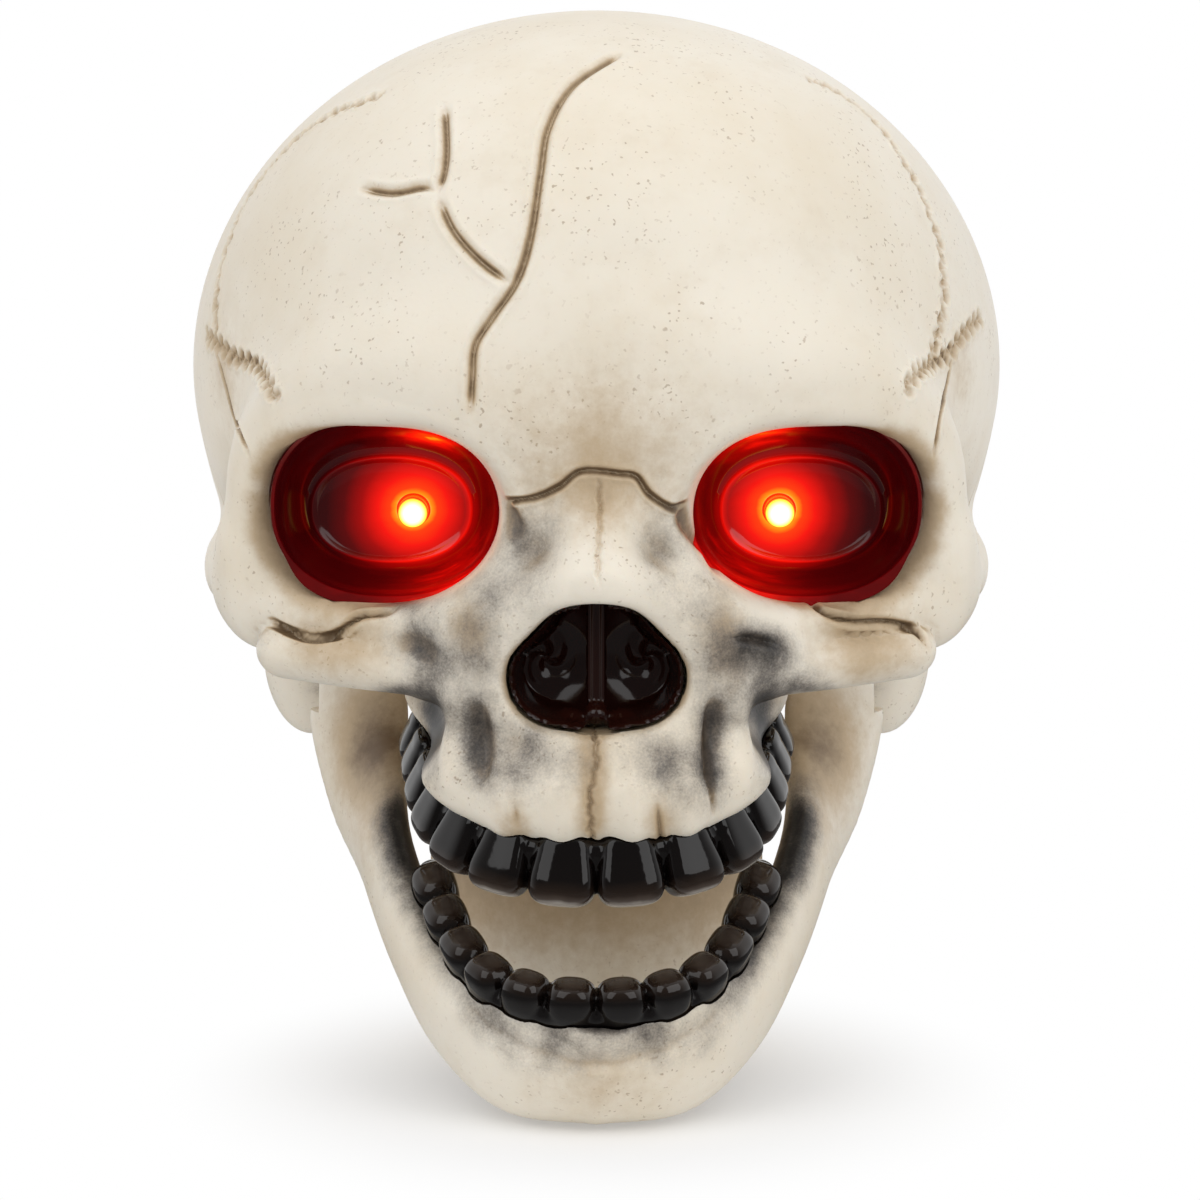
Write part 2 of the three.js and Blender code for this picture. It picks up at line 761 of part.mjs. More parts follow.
// Grid lines from a list of [end, step] stretches.
function gridLine(start, stretches) {
  const line = [start];
  for (const [end, step] of stretches) {
    const from = line[line.length - 1];
    const count = Math.max(1, Math.round((end - from) / step));
    for (let i = 1; i <= count; i++) line.push(from + ((end - from) * i) / count);
  }
  return line;
}
const mirrored = (stretches) => {
  const half = gridLine(0, stretches);
  return [...half.slice(1).reverse().map((v) => -v), ...half];
};

// Solids from the usual shapes, joined and cut
function solid(geometry) {
  const bare = geometry.clone();
  for (const name of Object.keys(bare.attributes)) if (name !== "position") bare.deleteAttribute(name);
  const welded = mergeVertices(bare, 1e-4);
  const points = welded.attributes.position.array;
  const triangles = [];
  const corners = welded.index.array;
  for (let i = 0; i < corners.length; i += 3) {
    const [a, b, c] = [corners[i], corners[i + 1], corners[i + 2]];
    if (a !== b && b !== c && c !== a) triangles.push(a, b, c);
  }
  return solidFromTriangles(points, triangles);
}
const union = (first, ...rest) => rest.reduce((sum, s) => sum.add(s), first);
const cut = (first, ...rest) => rest.reduce((sum, s) => sum.subtract(s), first);

function box(x0, x1, y0, y1, z0, z1) {
  const g = new THREE.BoxGeometry(x1 - x0, y1 - y0, z1 - z0);
  return solid(g.translate((x0 + x1) / 2, (y0 + y1) / 2, (z0 + z1) / 2));
}
// Turned shapes: profile points [radius, height] from the bottom axis point to the top one.
function turned(profile, segments = ROUND_SEGMENTS) {
  const g = new THREE.LatheGeometry(profile.map(([r, h]) => new THREE.Vector2(r, h)), segments);
  return solid(g.rotateX(Math.PI / 2));
}
const rod = (radius, from, to, segments = ROUND_SEGMENTS) =>
  turned([[0, from], [radius, from], [radius, to], [0, to]], segments);
const alongX = (s, y = 0, z = 0) => s.rotate([0, 90, 0]).translate([0, y, z]);
const alongY = (s, x = 0, z = 0) => s.rotate([-90, 0, 0]).translate([x, 0, z]);
const flipX = (s) => s.mirror([1, 0, 0]);

// Skull halves
const archOut = Math.max(...archStations.map(([x, , , half]) => x + half));
const gridSide = Math.max(BRAINCASE_HALF_WIDTH, archOut) + GRID_SIDE_MARGIN;
const gridBack = BRAINCASE_Y + BRAINCASE_HALF_LENGTH + GRID_BACK_MARGIN;
const gridTop = BRAINCASE_Z + BRAINCASE_HALF_HEIGHT + GRID_TOP_MARGIN;
const skullGrid = [
  mirrored([[26, 3.3], [56, 3.8], [gridSide, 7]]),
  gridLine(-90, [[-50, 3.4], [-34, 4], [20, 7], [gridBack, 12.5]]),
  gridLine(40, [[88, 3.2], [122, 3.8], [gridTop, 8.5]]),
];
const hollowGrid = [
  mirrored([[gridSide, 5.2]]),
  gridLine(-88, [[10, 5.4], [gridBack, 10.6]]),
  gridLine(38, [[122, 5.6], [gridTop, 10.4]]),
];
const largest = (s) => s.decompose().reduce((a, b) => (a.volume() > b.volume() ? a : b));
const skullOutside = largest(solidFromField(skullField, skullGrid, 1900));
const skullHollow = largest(solidFromField(cavityField, hollowGrid, 580));

const neckHoleRadius = NECK_TOP_RADIUS + CLEARANCE;
const deckSeat = DECK_BOTTOM_Z - CLEARANCE;
const onNeck = (s, x = 0, y = 0) => s.translate([x, NECK_Y + y, 0]);
const collar = onNeck(rod(neckHoleRadius + COLLAR_WALL, COLLAR_BOTTOM_Z, deckSeat, WIDE_SEGMENTS));
const collarHole = onNeck(rod(neckHoleRadius, COLLAR_BOTTOM_Z - FAR, deckSeat + PAST, WIDE_SEGMENTS));
const deckRoomRadius = NECK_TOP_RADIUS + DECK_LIP + CLEARANCE * 2;
const deckRoomTop = deckSeat + DECK_THICKNESS + DECK_ROOM;
const deckRoom = onNeck(rod(deckRoomRadius, deckSeat, deckRoomTop, WIDE_SEGMENTS));
const onHinge = (s) => alongX(s, HINGE_Y, HINGE_Z);
const bearingInner = BEARING_X - BEARING_HALF_LENGTH;
const bearing = onHinge(rod(BEARING_RADIUS, bearingInner, BEARING_X + BEARING_HALF_LENGTH + BEARING_ROOT));
const eyeRoom = onHinge(
  rod(EYE_RADIUS + EYE_ROOM, EYE_INNER_X - EYE_ROOM_INNER, EYE_OUTER_X + EYE_ROOM_OUTER),
);
const axleHole = onHinge(rod(AXLE_RADIUS + CLEARANCE, -FAR, FAR));

function bossSites() {
  return [
    [BOSS_HIGH_X, BOSS_HIGH_Z],
    [-BOSS_HIGH_X, BOSS_HIGH_Z],
    [BOSS_LOW_X, BOSS_LOW_Z],
    [-BOSS_LOW_X, BOSS_LOW_Z],
  ];
}

function cupRing(halfWidth, halfHeight, y, count) {
  return Array.from({ length: count }, (unused, i) => {
    const a = (i / count) * Math.PI * 2;
    return [Math.cos(a) * halfWidth, y, Math.sin(a) * halfHeight];
  });
}
// Skin over a stack of closed rings, capped at both ends with a fan.
function skin(rings) {
  const count = rings[0].length;
  const points = rings.flat(2);
  const triangles = [];
  for (let r = 0; r + 1 < rings.length; r++) {
    for (let i = 0; i < count; i++) {
      const a = r * count + i;
      const b = r * count + ((i + 1) % count);
      triangles.push(a, b + count, b, a, a + count, b + count);
    }
  }
  for (const [r, flip] of [[0, false], [rings.length - 1, true]]) {
    const middle = [0, 1, 2].map((axis) => rings[r].reduce((sum, p) => sum + p[axis], 0) / count);
    const id = points.length / 3;
    points.push(...middle);
    for (let i = 0; i < count; i++) {
      const a = r * count + i;
      const b = r * count + ((i + 1) % count);
      triangles.push(...(flip ? [b, a, id] : [a, b, id]));
    }
  }
  return solidFromTriangles(points, triangles);
}

// Eye cup outline grown by "grow"; the ring order runs from the rim back to the floor.
function cupBody(grow, floorGrow, frontExtra) {
  const count = WIDE_SEGMENTS;
  const stages = [
    [-frontExtra, 1],
    [0, 1],
    [0.35, 0.86],
    [0.8, 0.42],
    [1, 0],
  ];
  const rings = stages.map(([depth, share]) => {
    const y = CUP_RIM_Y + (depth < 0 ? depth : depth * (CUP_DEPTH + floorGrow));
    const w = CUP_FLOOR_HALF_WIDTH + (ORBIT_HALF_WIDTH - CUP_FLOOR_HALF_WIDTH) * share;
    const h = CUP_FLOOR_HALF_HEIGHT + (ORBIT_HALF_HEIGHT - CUP_FLOOR_HALF_HEIGHT) * share;
    return cupRing(w + grow, h + grow, y, count);
  });
  const body = skin(frontExtra > 0 ? rings : rings.slice(1));
  return body.translate([ORBIT_X, 0, ORBIT_Z]);
}
const lampX = ORBIT_X - LAMP_OFFSET_X;
const lampZ = ORBIT_Z + LAMP_OFFSET_Z;
const cupFloorY = CUP_RIM_Y + CUP_DEPTH;
const cupBackY = cupFloorY + CUP_WALL;
const lampFlangeY = cupBackY + CLEARANCE;
const lampBackY = lampFlangeY + LAMP_FLANGE_THICKNESS;
const holderFrontY = lampFlangeY;
const holderBackY = holderFrontY + HOLDER_LENGTH;
const holderRadius = LAMP_FLANGE_RADIUS + CLEARANCE + HOLDER_WALL;
const eyeCup = () =>
  cut(
    cupBody(CUP_WALL, CUP_WALL, 0),
    cupBody(0, 0, 4),
    alongY(rod(LAMP_RADIUS + CLEARANCE, cupFloorY - 3, cupBackY + 2), lampX, lampZ),
  );
const eyeLamp = () => {
  const front = lampFlangeY - (LAMP_LENGTH - LAMP_FLANGE_THICKNESS);
  const profile = [[0, front]];
  for (let i = 1; i <= 3; i++) {
    const a = (i / 3) * (Math.PI / 2);
    profile.push([LAMP_RADIUS * Math.sin(a), front + LAMP_RADIUS * (1 - Math.cos(a))]);
  }
  profile.push([LAMP_RADIUS, lampFlangeY], [LAMP_FLANGE_RADIUS, lampFlangeY]);
  profile.push([LAMP_FLANGE_RADIUS, lampBackY], [0, lampBackY]);
  return alongY(turned(profile, 10), lampX, lampZ);
};
const lampHolder = () => {
  const pocket = LAMP_FLANGE_RADIUS + CLEARANCE;
  const flangeFront = holderBackY - HOLDER_FLANGE_THICKNESS;
  const wireHole = LAMP_RADIUS - 1;
  const seat = lampBackY + CLEARANCE;
  const profile = [
    [pocket, holderFrontY],
    [holderRadius, holderFrontY],
    [holderRadius, flangeFront],
    [HOLDER_FLANGE_RADIUS, flangeFront],
    [HOLDER_FLANGE_RADIUS, holderBackY],
    [wireHole, holderBackY],
    [wireHole, seat],
    [pocket, seat],
    [pocket, holderFrontY],
  ];
  return alongY(turned(profile, 10), lampX, lampZ);
};
const lampBossBack = holderBackY - HOLDER_FLANGE_THICKNESS - CLEARANCE;

const noseGrid = [
  mirrored([[22, 1.9]]),
  gridLine(-72, [[-46, 2.6]]),
  gridLine(62, [[96, 1.9]]),
];
const nosePocket = solidFromField((x, y, z) => nosePlug(x, y, z) - MOULD_CLEARANCE, noseGrid, 180);
const upperGrid = [
  mirrored([[44, 2]]),
  gridLine(-88, [[-16, 2.1]]),
  gridLine(32, [[76, 2.1]]),
];
const lowerGrid = [
  mirrored([[42, 2]]),
  gridLine(-84, [[-26, 2.1]]),
  gridLine(10, [[56, 2.1]]),
];
const upperTeeth = () => solidFromField(upperRow, upperGrid, 560);
const upperPocket = solidFromField((x, y, z) => upperRow(x, y, z) - MOULD_CLEARANCE, upperGrid, 330);

const both = (s) => [s, flipX(s)];
const eyeCutters = () => [
  ...both(cupBody(CUP_WALL + CLEARANCE, CUP_WALL + CLEARANCE, 30)),
  ...both(alongY(rod(holderRadius + CLEARANCE, cupFloorY, lampBossBack + 20), lampX, lampZ)),
];
const lampBoss = alongY(rod(HOLDER_FLANGE_RADIUS + 1, cupBackY + 1, lampBossBack), lampX, lampZ);

function wholeShell() {
  let shell = cut(skullOutside, skullHollow);
  shell = union(shell, collar, bearing, flipX(bearing), ...both(lampBoss));
  shell = cut(shell, collarHole, deckRoom, axleHole, ...both(eyeRoom));
  return shell;
}
const shell = wholeShell();
const SPLIT_GAP = CLEARANCE / 2;
const frontHalf = box(-100, 100, -120, SPLIT_Y - SPLIT_GAP, 0, 220);
const rearHalf = box(-100, 100, SPLIT_Y + SPLIT_GAP, 120, 0, 220);

const frontShell = () => {
  const bosses = bossSites().map(([x, z]) =>
    alongY(rod(BOSS_RADIUS, SPLIT_Y - BOSS_LENGTH, SPLIT_Y - SPLIT_GAP, SMALL_SEGMENTS), x, z),
  );
  const pilots = bossSites().map(([x, z]) =>
    alongY(rod(SHELL_SCREW_RADIUS + PILOT_GAP, SPLIT_Y - BOSS_LENGTH + 2, SPLIT_Y + 2, SMALL_SEGMENTS), x, z),
  );
  let half = shell.intersect(frontHalf);
  half = union(half, ...bosses.map((b) => b.intersect(skullOutside)));
  return largest(cut(half, ...pilots, ...eyeCutters(), nosePocket, upperPocket));
};
const rearShell = () => {
  const posts = bossSites().map(([x, z]) =>
    alongY(rod(BOSS_RADIUS, SPLIT_Y + SPLIT_GAP, SPLIT_Y + 70, SMALL_SEGMENTS), x, z).intersect(skullOutside),
  );
  const wells = bossSites().flatMap(([x, z]) => [
    alongY(rod(SHELL_SCREW_HEAD_RADIUS + CLEARANCE, SPLIT_Y + BOSS_FLOOR, SPLIT_Y + 90, SMALL_SEGMENTS), x, z),
    alongY(rod(SHELL_SCREW_RADIUS + CLEARANCE, SPLIT_Y - 2, SPLIT_Y + BOSS_FLOOR + PAST, SMALL_SEGMENTS), x, z),
  ]);
  return largest(cut(union(shell.intersect(rearHalf), ...posts), ...wells));
};

const speakerSeatY = BRAINCASE_Y + BRAINCASE_HALF_LENGTH - WALL - SPEAKER_THICKNESS - SPEAKER_SET_BACK;
const speakerRing = () => {
  const front = speakerSeatY;
  const back = speakerSeatY + SPEAKER_THICKNESS + CLEARANCE;
  const outer = SPEAKER_RADIUS + CLEARANCE + SPEAKER_RING_WALL;
  const ring = alongY(rod(outer, front, back + 12, WIDE_SEGMENTS), 0, SPEAKER_Z).intersect(skullOutside);
  const room = union(
    alongY(rod(SPEAKER_RADIUS + CLEARANCE, front - 1, back, WIDE_SEGMENTS), 0, SPEAKER_Z),
    alongY(rod(SPEAKER_RADIUS - SPEAKER_RIM, front, back + 3, WIDE_SEGMENTS), 0, SPEAKER_Z),
  );
  const slots = [-2, -1, 0, 1, 2].map((row) => {
    const up = row * GRILLE_PITCH;
    const half = Math.sqrt((SPEAKER_RADIUS - GRILLE_EDGE) ** 2 - up * up);
    const z = SPEAKER_Z + up;
    return box(-half, half, back, back + 30, z - GRILLE_SLOT_HALF_HEIGHT, z + GRILLE_SLOT_HALF_HEIGHT);
  });
  return { ring, room, slots };
};
const rearShellWithVoice = () => {
  const { ring, room, slots } = speakerRing();
  return largest(cut(union(rearShell(), ring), room, ...slots));
};
const speaker = () => {
  const back = speakerSeatY + SPEAKER_THICKNESS;
  const profile = [
    [0, speakerSeatY - SPEAKER_MAGNET_LENGTH],
    [SPEAKER_RADIUS * 0.6, speakerSeatY - SPEAKER_MAGNET_LENGTH],
    [SPEAKER_RADIUS * 0.6, speakerSeatY],
    [SPEAKER_RADIUS, speakerSeatY + SPEAKER_RIM],
    [SPEAKER_RADIUS, back],
    [SPEAKER_RADIUS - SPEAKER_RIM, back],
    [SPEAKER_RADIUS * 0.4, back - 2.4],
    [0, back - 1.6],
  ];
  return alongY(turned(profile, WIDE_SEGMENTS), 0, SPEAKER_Z);
};

// Jaw, its teeth, the axle and the two end screws
const jawGrid = [mirrored([[56, 3]]), gridLine(-84, [[18, 3]]), gridLine(-8, [[94, 3]])];
const axleHalf = EYE_OUTER_X - CLEARANCE;
const axleBody = (grow) => {
  const r = AXLE_RADIUS + grow;
  const flatZ = HINGE_Z + AXLE_RADIUS - AXLE_FLAT + grow;
  const round = alongX(rod(r, -axleHalf - grow * 8, axleHalf + grow * 8), HINGE_Y, HINGE_Z);
  const above = (x0, x1) => box(x0, x1, HINGE_Y - r - 1, HINGE_Y + r + 1, flatZ, flatZ + 4);
  const flatInner = EYE_INNER_X - CLEARANCE - 1;
  const mid = SECTOR_HALF_LENGTH + 1.5;
  return cut(round, above(-60, -flatInner), above(flatInner, 60), above(-mid, mid));
};
const axleScrew = () => {
  const head = EYE_OUTER_X + CLEARANCE;
  const profile = [
    [0, axleHalf - AXLE_SCREW_LENGTH],
    [AXLE_SCREW_RADIUS, axleHalf - AXLE_SCREW_LENGTH],
    [AXLE_SCREW_RADIUS, head],
    [AXLE_SCREW_HEAD_RADIUS, head],
    [AXLE_SCREW_HEAD_RADIUS, head + AXLE_SCREW_HEAD_LENGTH * 0.5],
    [AXLE_SCREW_HEAD_RADIUS * 0.6, head + AXLE_SCREW_HEAD_LENGTH],
    [0, head + AXLE_SCREW_HEAD_LENGTH],
  ];
  return alongX(turned(profile, 10), HINGE_Y, HINGE_Z);
};
const axlePilot = onHinge(
  rod(AXLE_SCREW_RADIUS + PILOT_GAP, axleHalf - AXLE_SCREW_LENGTH - PAST, axleHalf + PAST),
);
const jawAxle = () => cut(axleBody(0), axlePilot, flipX(axlePilot));
const jaw = () => {
  const eye = alongX(rod(EYE_RADIUS, EYE_INNER_X, EYE_OUTER_X), HINGE_Y, HINGE_Z);
  const bone = solidFromField(jawField, jawGrid, 540);
  const pocket = solidFromField((x, y, z) => lowerRow(x, y, z) - MOULD_CLEARANCE, lowerGrid, 280);
  const trimmed = cut(bone, ...both(box(EYE_OUTER_X, 70, -30, 30, 60, 100)));
  return largest(cut(union(trimmed, eye, flipX(eye)), pocket, axleBody(CLEARANCE)));
};
const lowerTeeth = () => solidFromField(lowerRow, lowerGrid, 460);
const noseInsert = () => solidFromField(noseInsertField, noseGrid, 200);

// Gears. Angles run from +Y towards +Z; the blank is drawn in that plane and pulled along X.
const radians = (degrees) => (degrees * Math.PI) / 180;
const pitchRadius = (teeth) => (GEAR_MODULE * teeth) / 2;
const ADDENDUM = 0.8 * GEAR_MODULE;
const DEDENDUM = 1.15 * GEAR_MODULE;
function toothOutline(teeth, middle) {
  const pitch = pitchRadius(teeth);
  const baseRadius = pitch * Math.cos(radians(PRESSURE_ANGLE));
  const tip = pitch + ADDENDUM;
  const root = pitch - DEDENDUM;
  const spread = (r) => {
    const roll = Math.acos(Math.min(1, baseRadius / r));
    return Math.tan(roll) - roll;
  };
  const halfAtPitch = (Math.PI * GEAR_MODULE - BACKLASH) / (4 * pitch);
  const halfAt = (r) => halfAtPitch + spread(pitch) - spread(Math.max(r, baseRadius));
  const radii = [root, pitch, tip];
  const rising = radii.map((r) => [middle - halfAt(r), r]);
  const falling = radii.slice().reverse().map((r) => [middle + halfAt(r), r]);
  return [...rising, ...falling];
}
const polar = ([angle, r]) => new THREE.Vector2(Math.cos(angle) * r, Math.sin(angle) * r);
function gearBlank(points, x0, x1, y, z) {
  const g = new THREE.ExtrudeGeometry(new THREE.Shape(points), { depth: x1 - x0, bevelEnabled: false });
  const turn = new THREE.Matrix4().makeBasis(
    new THREE.Vector3(0, 1, 0),
    new THREE.Vector3(0, 0, 1),
    new THREE.Vector3(1, 0, 0),
  );
  return solid(g.applyMatrix4(turn)).translate([x0, y, z]);
}
const fullGear = (teeth, first, x0, x1, y, z) => {
  const points = [];
  for (let i = 0; i < teeth; i++) {
    points.push(...toothOutline(teeth, first + (i / teeth) * Math.PI * 2).map(polar));
  }
  return gearBlank(points, x0, x1, y, z);
};
const layY = HINGE_Y;
const layZ = HINGE_Z + pitchRadius(SECTOR_TEETH) + pitchRadius(LAY_PINION_TEETH);
const motorY = layY + pitchRadius(LAY_WHEEL_TEETH) + pitchRadius(MOTOR_PINION_TEETH);
const motorZ = layZ;
const sectorGear = () => {
  const step = (Math.PI * 2) / SECTOR_TEETH;
  const side = Math.floor(radians(SECTOR_HALF_ANGLE) / step);
  const points = [];
  for (let i = -side; i <= side; i++) {
    points.push(...toothOutline(SECTOR_TEETH, Math.PI / 2 + i * step).map(polar));
  }
  for (let i = 0; i <= 10; i++) points.push(polar([Math.PI * (1 + i / 10), SECTOR_HUB_RADIUS]));
  const blank = gearBlank(points, -SECTOR_HALF_LENGTH, SECTOR_HALF_LENGTH, HINGE_Y, HINGE_Z);
  return cut(blank, axleBody(CLEARANCE));
};
const wheelX = SECTOR_HALF_LENGTH + WHEEL_GAP;
const layGear = () => {
  const halfPitch = Math.PI / LAY_PINION_TEETH;
  const first = -Math.PI / 2 + halfPitch;
  const pinionEnd = -SECTOR_HALF_LENGTH - PINION_OVERLAP;
  const pinion = fullGear(LAY_PINION_TEETH, first, pinionEnd, wheelX + PINION_OVERLAP, layY, layZ);
  const wheel = fullGear(LAY_WHEEL_TEETH, 0, wheelX, wheelX + LAY_WHEEL_LENGTH, layY, layZ);
  const hubHalf = FRAME_HALF_GAP - CLEARANCE;
  const hub = alongX(rod(LAY_HUB_RADIUS, -hubHalf, hubHalf), layY, layZ);
  return cut(union(pinion, wheel, hub), alongX(rod(LAY_PIN_RADIUS + CLEARANCE, -FAR, FAR), layY, layZ));
};
const layPin = () => {
  const half = FRAME_HALF_GAP + FRAME_PLATE;
  return alongX(rod(LAY_PIN_RADIUS, -half, half), layY, layZ);
};
const motorFaceX = FRAME_HALF_GAP + FRAME_PLATE + CLEARANCE;
const onMotor = (s) => alongX(s, motorY, motorZ);
const motorShaft = () => onMotor(rod(MOTOR_SHAFT_RADIUS, wheelX - PAST, motorFaceX + MOTOR_SHAFT_GRIP));
const motorPinion = () => {
  const halfPitch = Math.PI / MOTOR_PINION_TEETH;
  const from = wheelX - PINION_OVERLAP;
  const to = wheelX + LAY_WHEEL_LENGTH + PINION_OVERLAP;
  const blank = fullGear(MOTOR_PINION_TEETH, Math.PI + halfPitch, from, to, motorY, motorZ);
  return cut(blank, onMotor(rod(MOTOR_SHAFT_RADIUS + PINION_GAP, -FAR, FAR)));
};
const motor = () => {
  const tailX = motorFaceX + MOTOR_LENGTH;
  const can = onMotor(rod(MOTOR_RADIUS, motorFaceX, tailX, WIDE_SEGMENTS));
  const flats = box(0, FAR, motorY - FAR, motorY + FAR, motorZ - MOTOR_FLAT, motorZ + MOTOR_FLAT);
  const nose = onMotor(rod(MOTOR_BOSS_RADIUS, motorFaceX - FRAME_PLATE, motorFaceX + PAST));
  const tail = onMotor(rod(MOTOR_BOSS_RADIUS, tailX - PAST, tailX + MOTOR_TAIL));
  const bore = onMotor(rod(MOTOR_SHAFT_RADIUS + CLEARANCE, 0, motorFaceX + MOTOR_SHAFT_GRIP + PAST));
  return cut(union(can.intersect(flats), nose, tail), bore);
};
const deckTop = DECK_BOTTOM_Z + DECK_THICKNESS;
const frameBottom = deckTop + CLEARANCE;
const frameScrewSites = () => [
  FRAME_FRONT_Y + FRAME_SCREW_FRONT_INSET,
  FRAME_REAR_Y - FRAME_SCREW_REAR_INSET,
];
const frameFloorTop = frameBottom + FRAME_FLOOR;
const gearFrame = () => {
  const outer = FRAME_HALF_GAP + FRAME_PLATE;
  const top = layZ + FRAME_TOP_EDGE;
  const floor = box(-outer, outer, FRAME_FRONT_Y, FRAME_REAR_Y, frameBottom, frameFloorTop);
  const left = box(-outer, -FRAME_HALF_GAP, FRAME_FRONT_Y, FRAME_REAR_Y, frameBottom, top);
  const right = box(FRAME_HALF_GAP, outer, FRAME_FRONT_Y, FRAME_REAR_Y, frameBottom, top);
  const windowZ = (frameBottom + layZ) / 2 - 3;
  const screwHole = rod(SHELL_SCREW_RADIUS + CLEARANCE, frameBottom - PAST, frameFloorTop + PAST);
  return cut(
    union(floor, left, right),
    onHinge(rod(AXLE_RADIUS + CLEARANCE * 3, -FAR, FAR)),
    alongX(rod(LAY_PIN_RADIUS + LAY_PIN_GAP, -FAR, FAR), layY, layZ),
    onMotor(rod(MOTOR_BOSS_RADIUS + CLEARANCE, 0, FAR)),
    alongX(rod(FRAME_WINDOW_RADIUS, -FAR, FAR, 10), motorY, windowZ),
    ...frameScrewSites().map((y) => screwHole.translate([0, y, 0])),
  );
};
// A pan-head screw standing on +Z from its head face down to its tip
function panScrew(headRadius, headLength, radius, length) {
  return turned(
    [
      [0, -length],
      [radius, -length],
      [radius, 0],
      [headRadius, 0],
      [headRadius, headLength * 0.55],
      [headRadius * 0.6, headLength],
      [0, headLength],
    ],
    SMALL_SEGMENTS,
  );
}
const frameScrew = (y) => () =>
  panScrew(SHELL_SCREW_HEAD_RADIUS, SHELL_SCREW_HEAD_LENGTH, SHELL_SCREW_RADIUS, FRAME_SCREW_LENGTH)
    .translate([0, y, frameFloorTop + PILOT_GAP]);
const shellScrew = ([x, z]) => () =>
  panScrew(SHELL_SCREW_HEAD_RADIUS, SHELL_SCREW_HEAD_LENGTH, SHELL_SCREW_RADIUS, SHELL_SCREW_LENGTH)
    .rotate([-90, 0, 0])
    .translate([x, SPLIT_Y + BOSS_FLOOR + PILOT_GAP, z]);

// Neck stand and what it holds
const neckFootZ = BASE_THICKNESS + CLEARANCE;
const trayTop = DECK_BOTTOM_Z - CLEARANCE;
const aroundNeck = (degrees, radius) => [
  Math.cos(radians(degrees)) * radius,
  NECK_Y + Math.sin(radians(degrees)) * radius,
];
const cellSites = () => CELL_ANGLES.map((degrees) => aroundNeck(degrees, CELL_RING_RADIUS));
const cellTop = CELL_BOTTOM_Z + CELL_LENGTH;
const nubTop = cellTop + CELL_NUB_LENGTH;
const trayFlangeRadius = NECK_TOP_RADIUS - NECK_WALL - CLEARANCE;
const wireHole = rod(WIRE_HOLE_RADIUS, trayTop - FAR / 3, deckTop + PAST).translate([
  ...aroundNeck(WIRE_HOLE_ANGLE, trayFlangeRadius - WIRE_HOLE_EDGE - WIRE_HOLE_RADIUS),
  0,
]);
const neckFlat = (NECK_BELLY_RADIUS - NECK_WALL) * Math.cos(Math.PI / WIDE_SEGMENTS);
const switchRoom = Math.sqrt(neckFlat ** 2 - SWITCH_HALF_WIDTH ** 2);
const switchBackY = NECK_Y + switchRoom - CLEARANCE;
const baseScrewX = NECK_FOOT_RADIUS - NECK_WALL - BASE_SCREW_INSET;
const neckStand = () => {
  const w = NECK_WALL;
  const profile = [
    [NECK_FOOT_RADIUS - w, neckFootZ],
    [NECK_FOOT_RADIUS, neckFootZ],
    [NECK_BELLY_RADIUS - 0.6, NECK_BELLY_LOW_Z - 4],
    [NECK_BELLY_RADIUS, NECK_BELLY_LOW_Z],
    [NECK_BELLY_RADIUS, NECK_BELLY_HIGH_Z],
    [NECK_TOP_RADIUS + 1, NECK_TAPER_TOP_Z - 6],
    [NECK_TOP_RADIUS, NECK_TAPER_TOP_Z],
    [NECK_TOP_RADIUS, DECK_BOTTOM_Z],
    [NECK_TOP_RADIUS + DECK_LIP, DECK_BOTTOM_Z],
    [NECK_TOP_RADIUS + DECK_LIP, deckTop],
    [0, deckTop],
    [0, DECK_BOTTOM_Z],
    [NECK_TOP_RADIUS - w, DECK_BOTTOM_Z],
    [NECK_TOP_RADIUS - w, NECK_TAPER_TOP_Z],
    [NECK_BELLY_RADIUS - w, NECK_BELLY_HIGH_Z],
    [NECK_BELLY_RADIUS - w, NECK_BELLY_LOW_Z],
    [NECK_FOOT_RADIUS - w, neckFootZ],
  ];
  const column = turned(profile, WIDE_SEGMENTS);
  const post = rod(BASE_POST_RADIUS, neckFootZ, BASE_POST_TOP_Z);
  const posts = [-1, 1].map((side) => post.translate([side * baseScrewX, 0, 0]));
  const outside = turned(
    [
      [0, 0],
      [NECK_FOOT_RADIUS, 0],
      [NECK_FOOT_RADIUS, neckFootZ],
      [NECK_BELLY_RADIUS - 0.6, NECK_BELLY_LOW_Z - 4],
      [NECK_BELLY_RADIUS - 0.4, BASE_POST_TOP_Z + 2],
      [0, BASE_POST_TOP_Z + 2],
    ],
    WIDE_SEGMENTS,
  );
  const pilot = rod(SHELL_SCREW_RADIUS + PILOT_GAP, 0, BASE_SCREW_TOP_Z + PAST);
  const pilots = [-1, 1].map((side) => pilot.translate([side * baseScrewX, 0, 0]));
  const body = onNeck(cut(union(column, ...posts.map((p) => p.intersect(outside))), ...pilots));
  const slotHalf = KNOB_HALF_WIDTH + KNOB_TRAVEL / 2 + CLEARANCE;
  const slot = box(
    -slotHalf, slotHalf, NECK_Y + 20, NECK_Y + 40,
    SWITCH_Z - KNOB_HALF_HEIGHT - CLEARANCE, SWITCH_Z + KNOB_HALF_HEIGHT + CLEARANCE,
  );
  const frameHole = rod(SHELL_SCREW_RADIUS + PILOT_GAP, DECK_BOTTOM_Z + 0.6, deckTop + PAST);
  const frameHoles = frameScrewSites().map((y) => frameHole.translate([0, y, 0]));
  return cut(body, slot, wireHole, ...frameHoles);
};
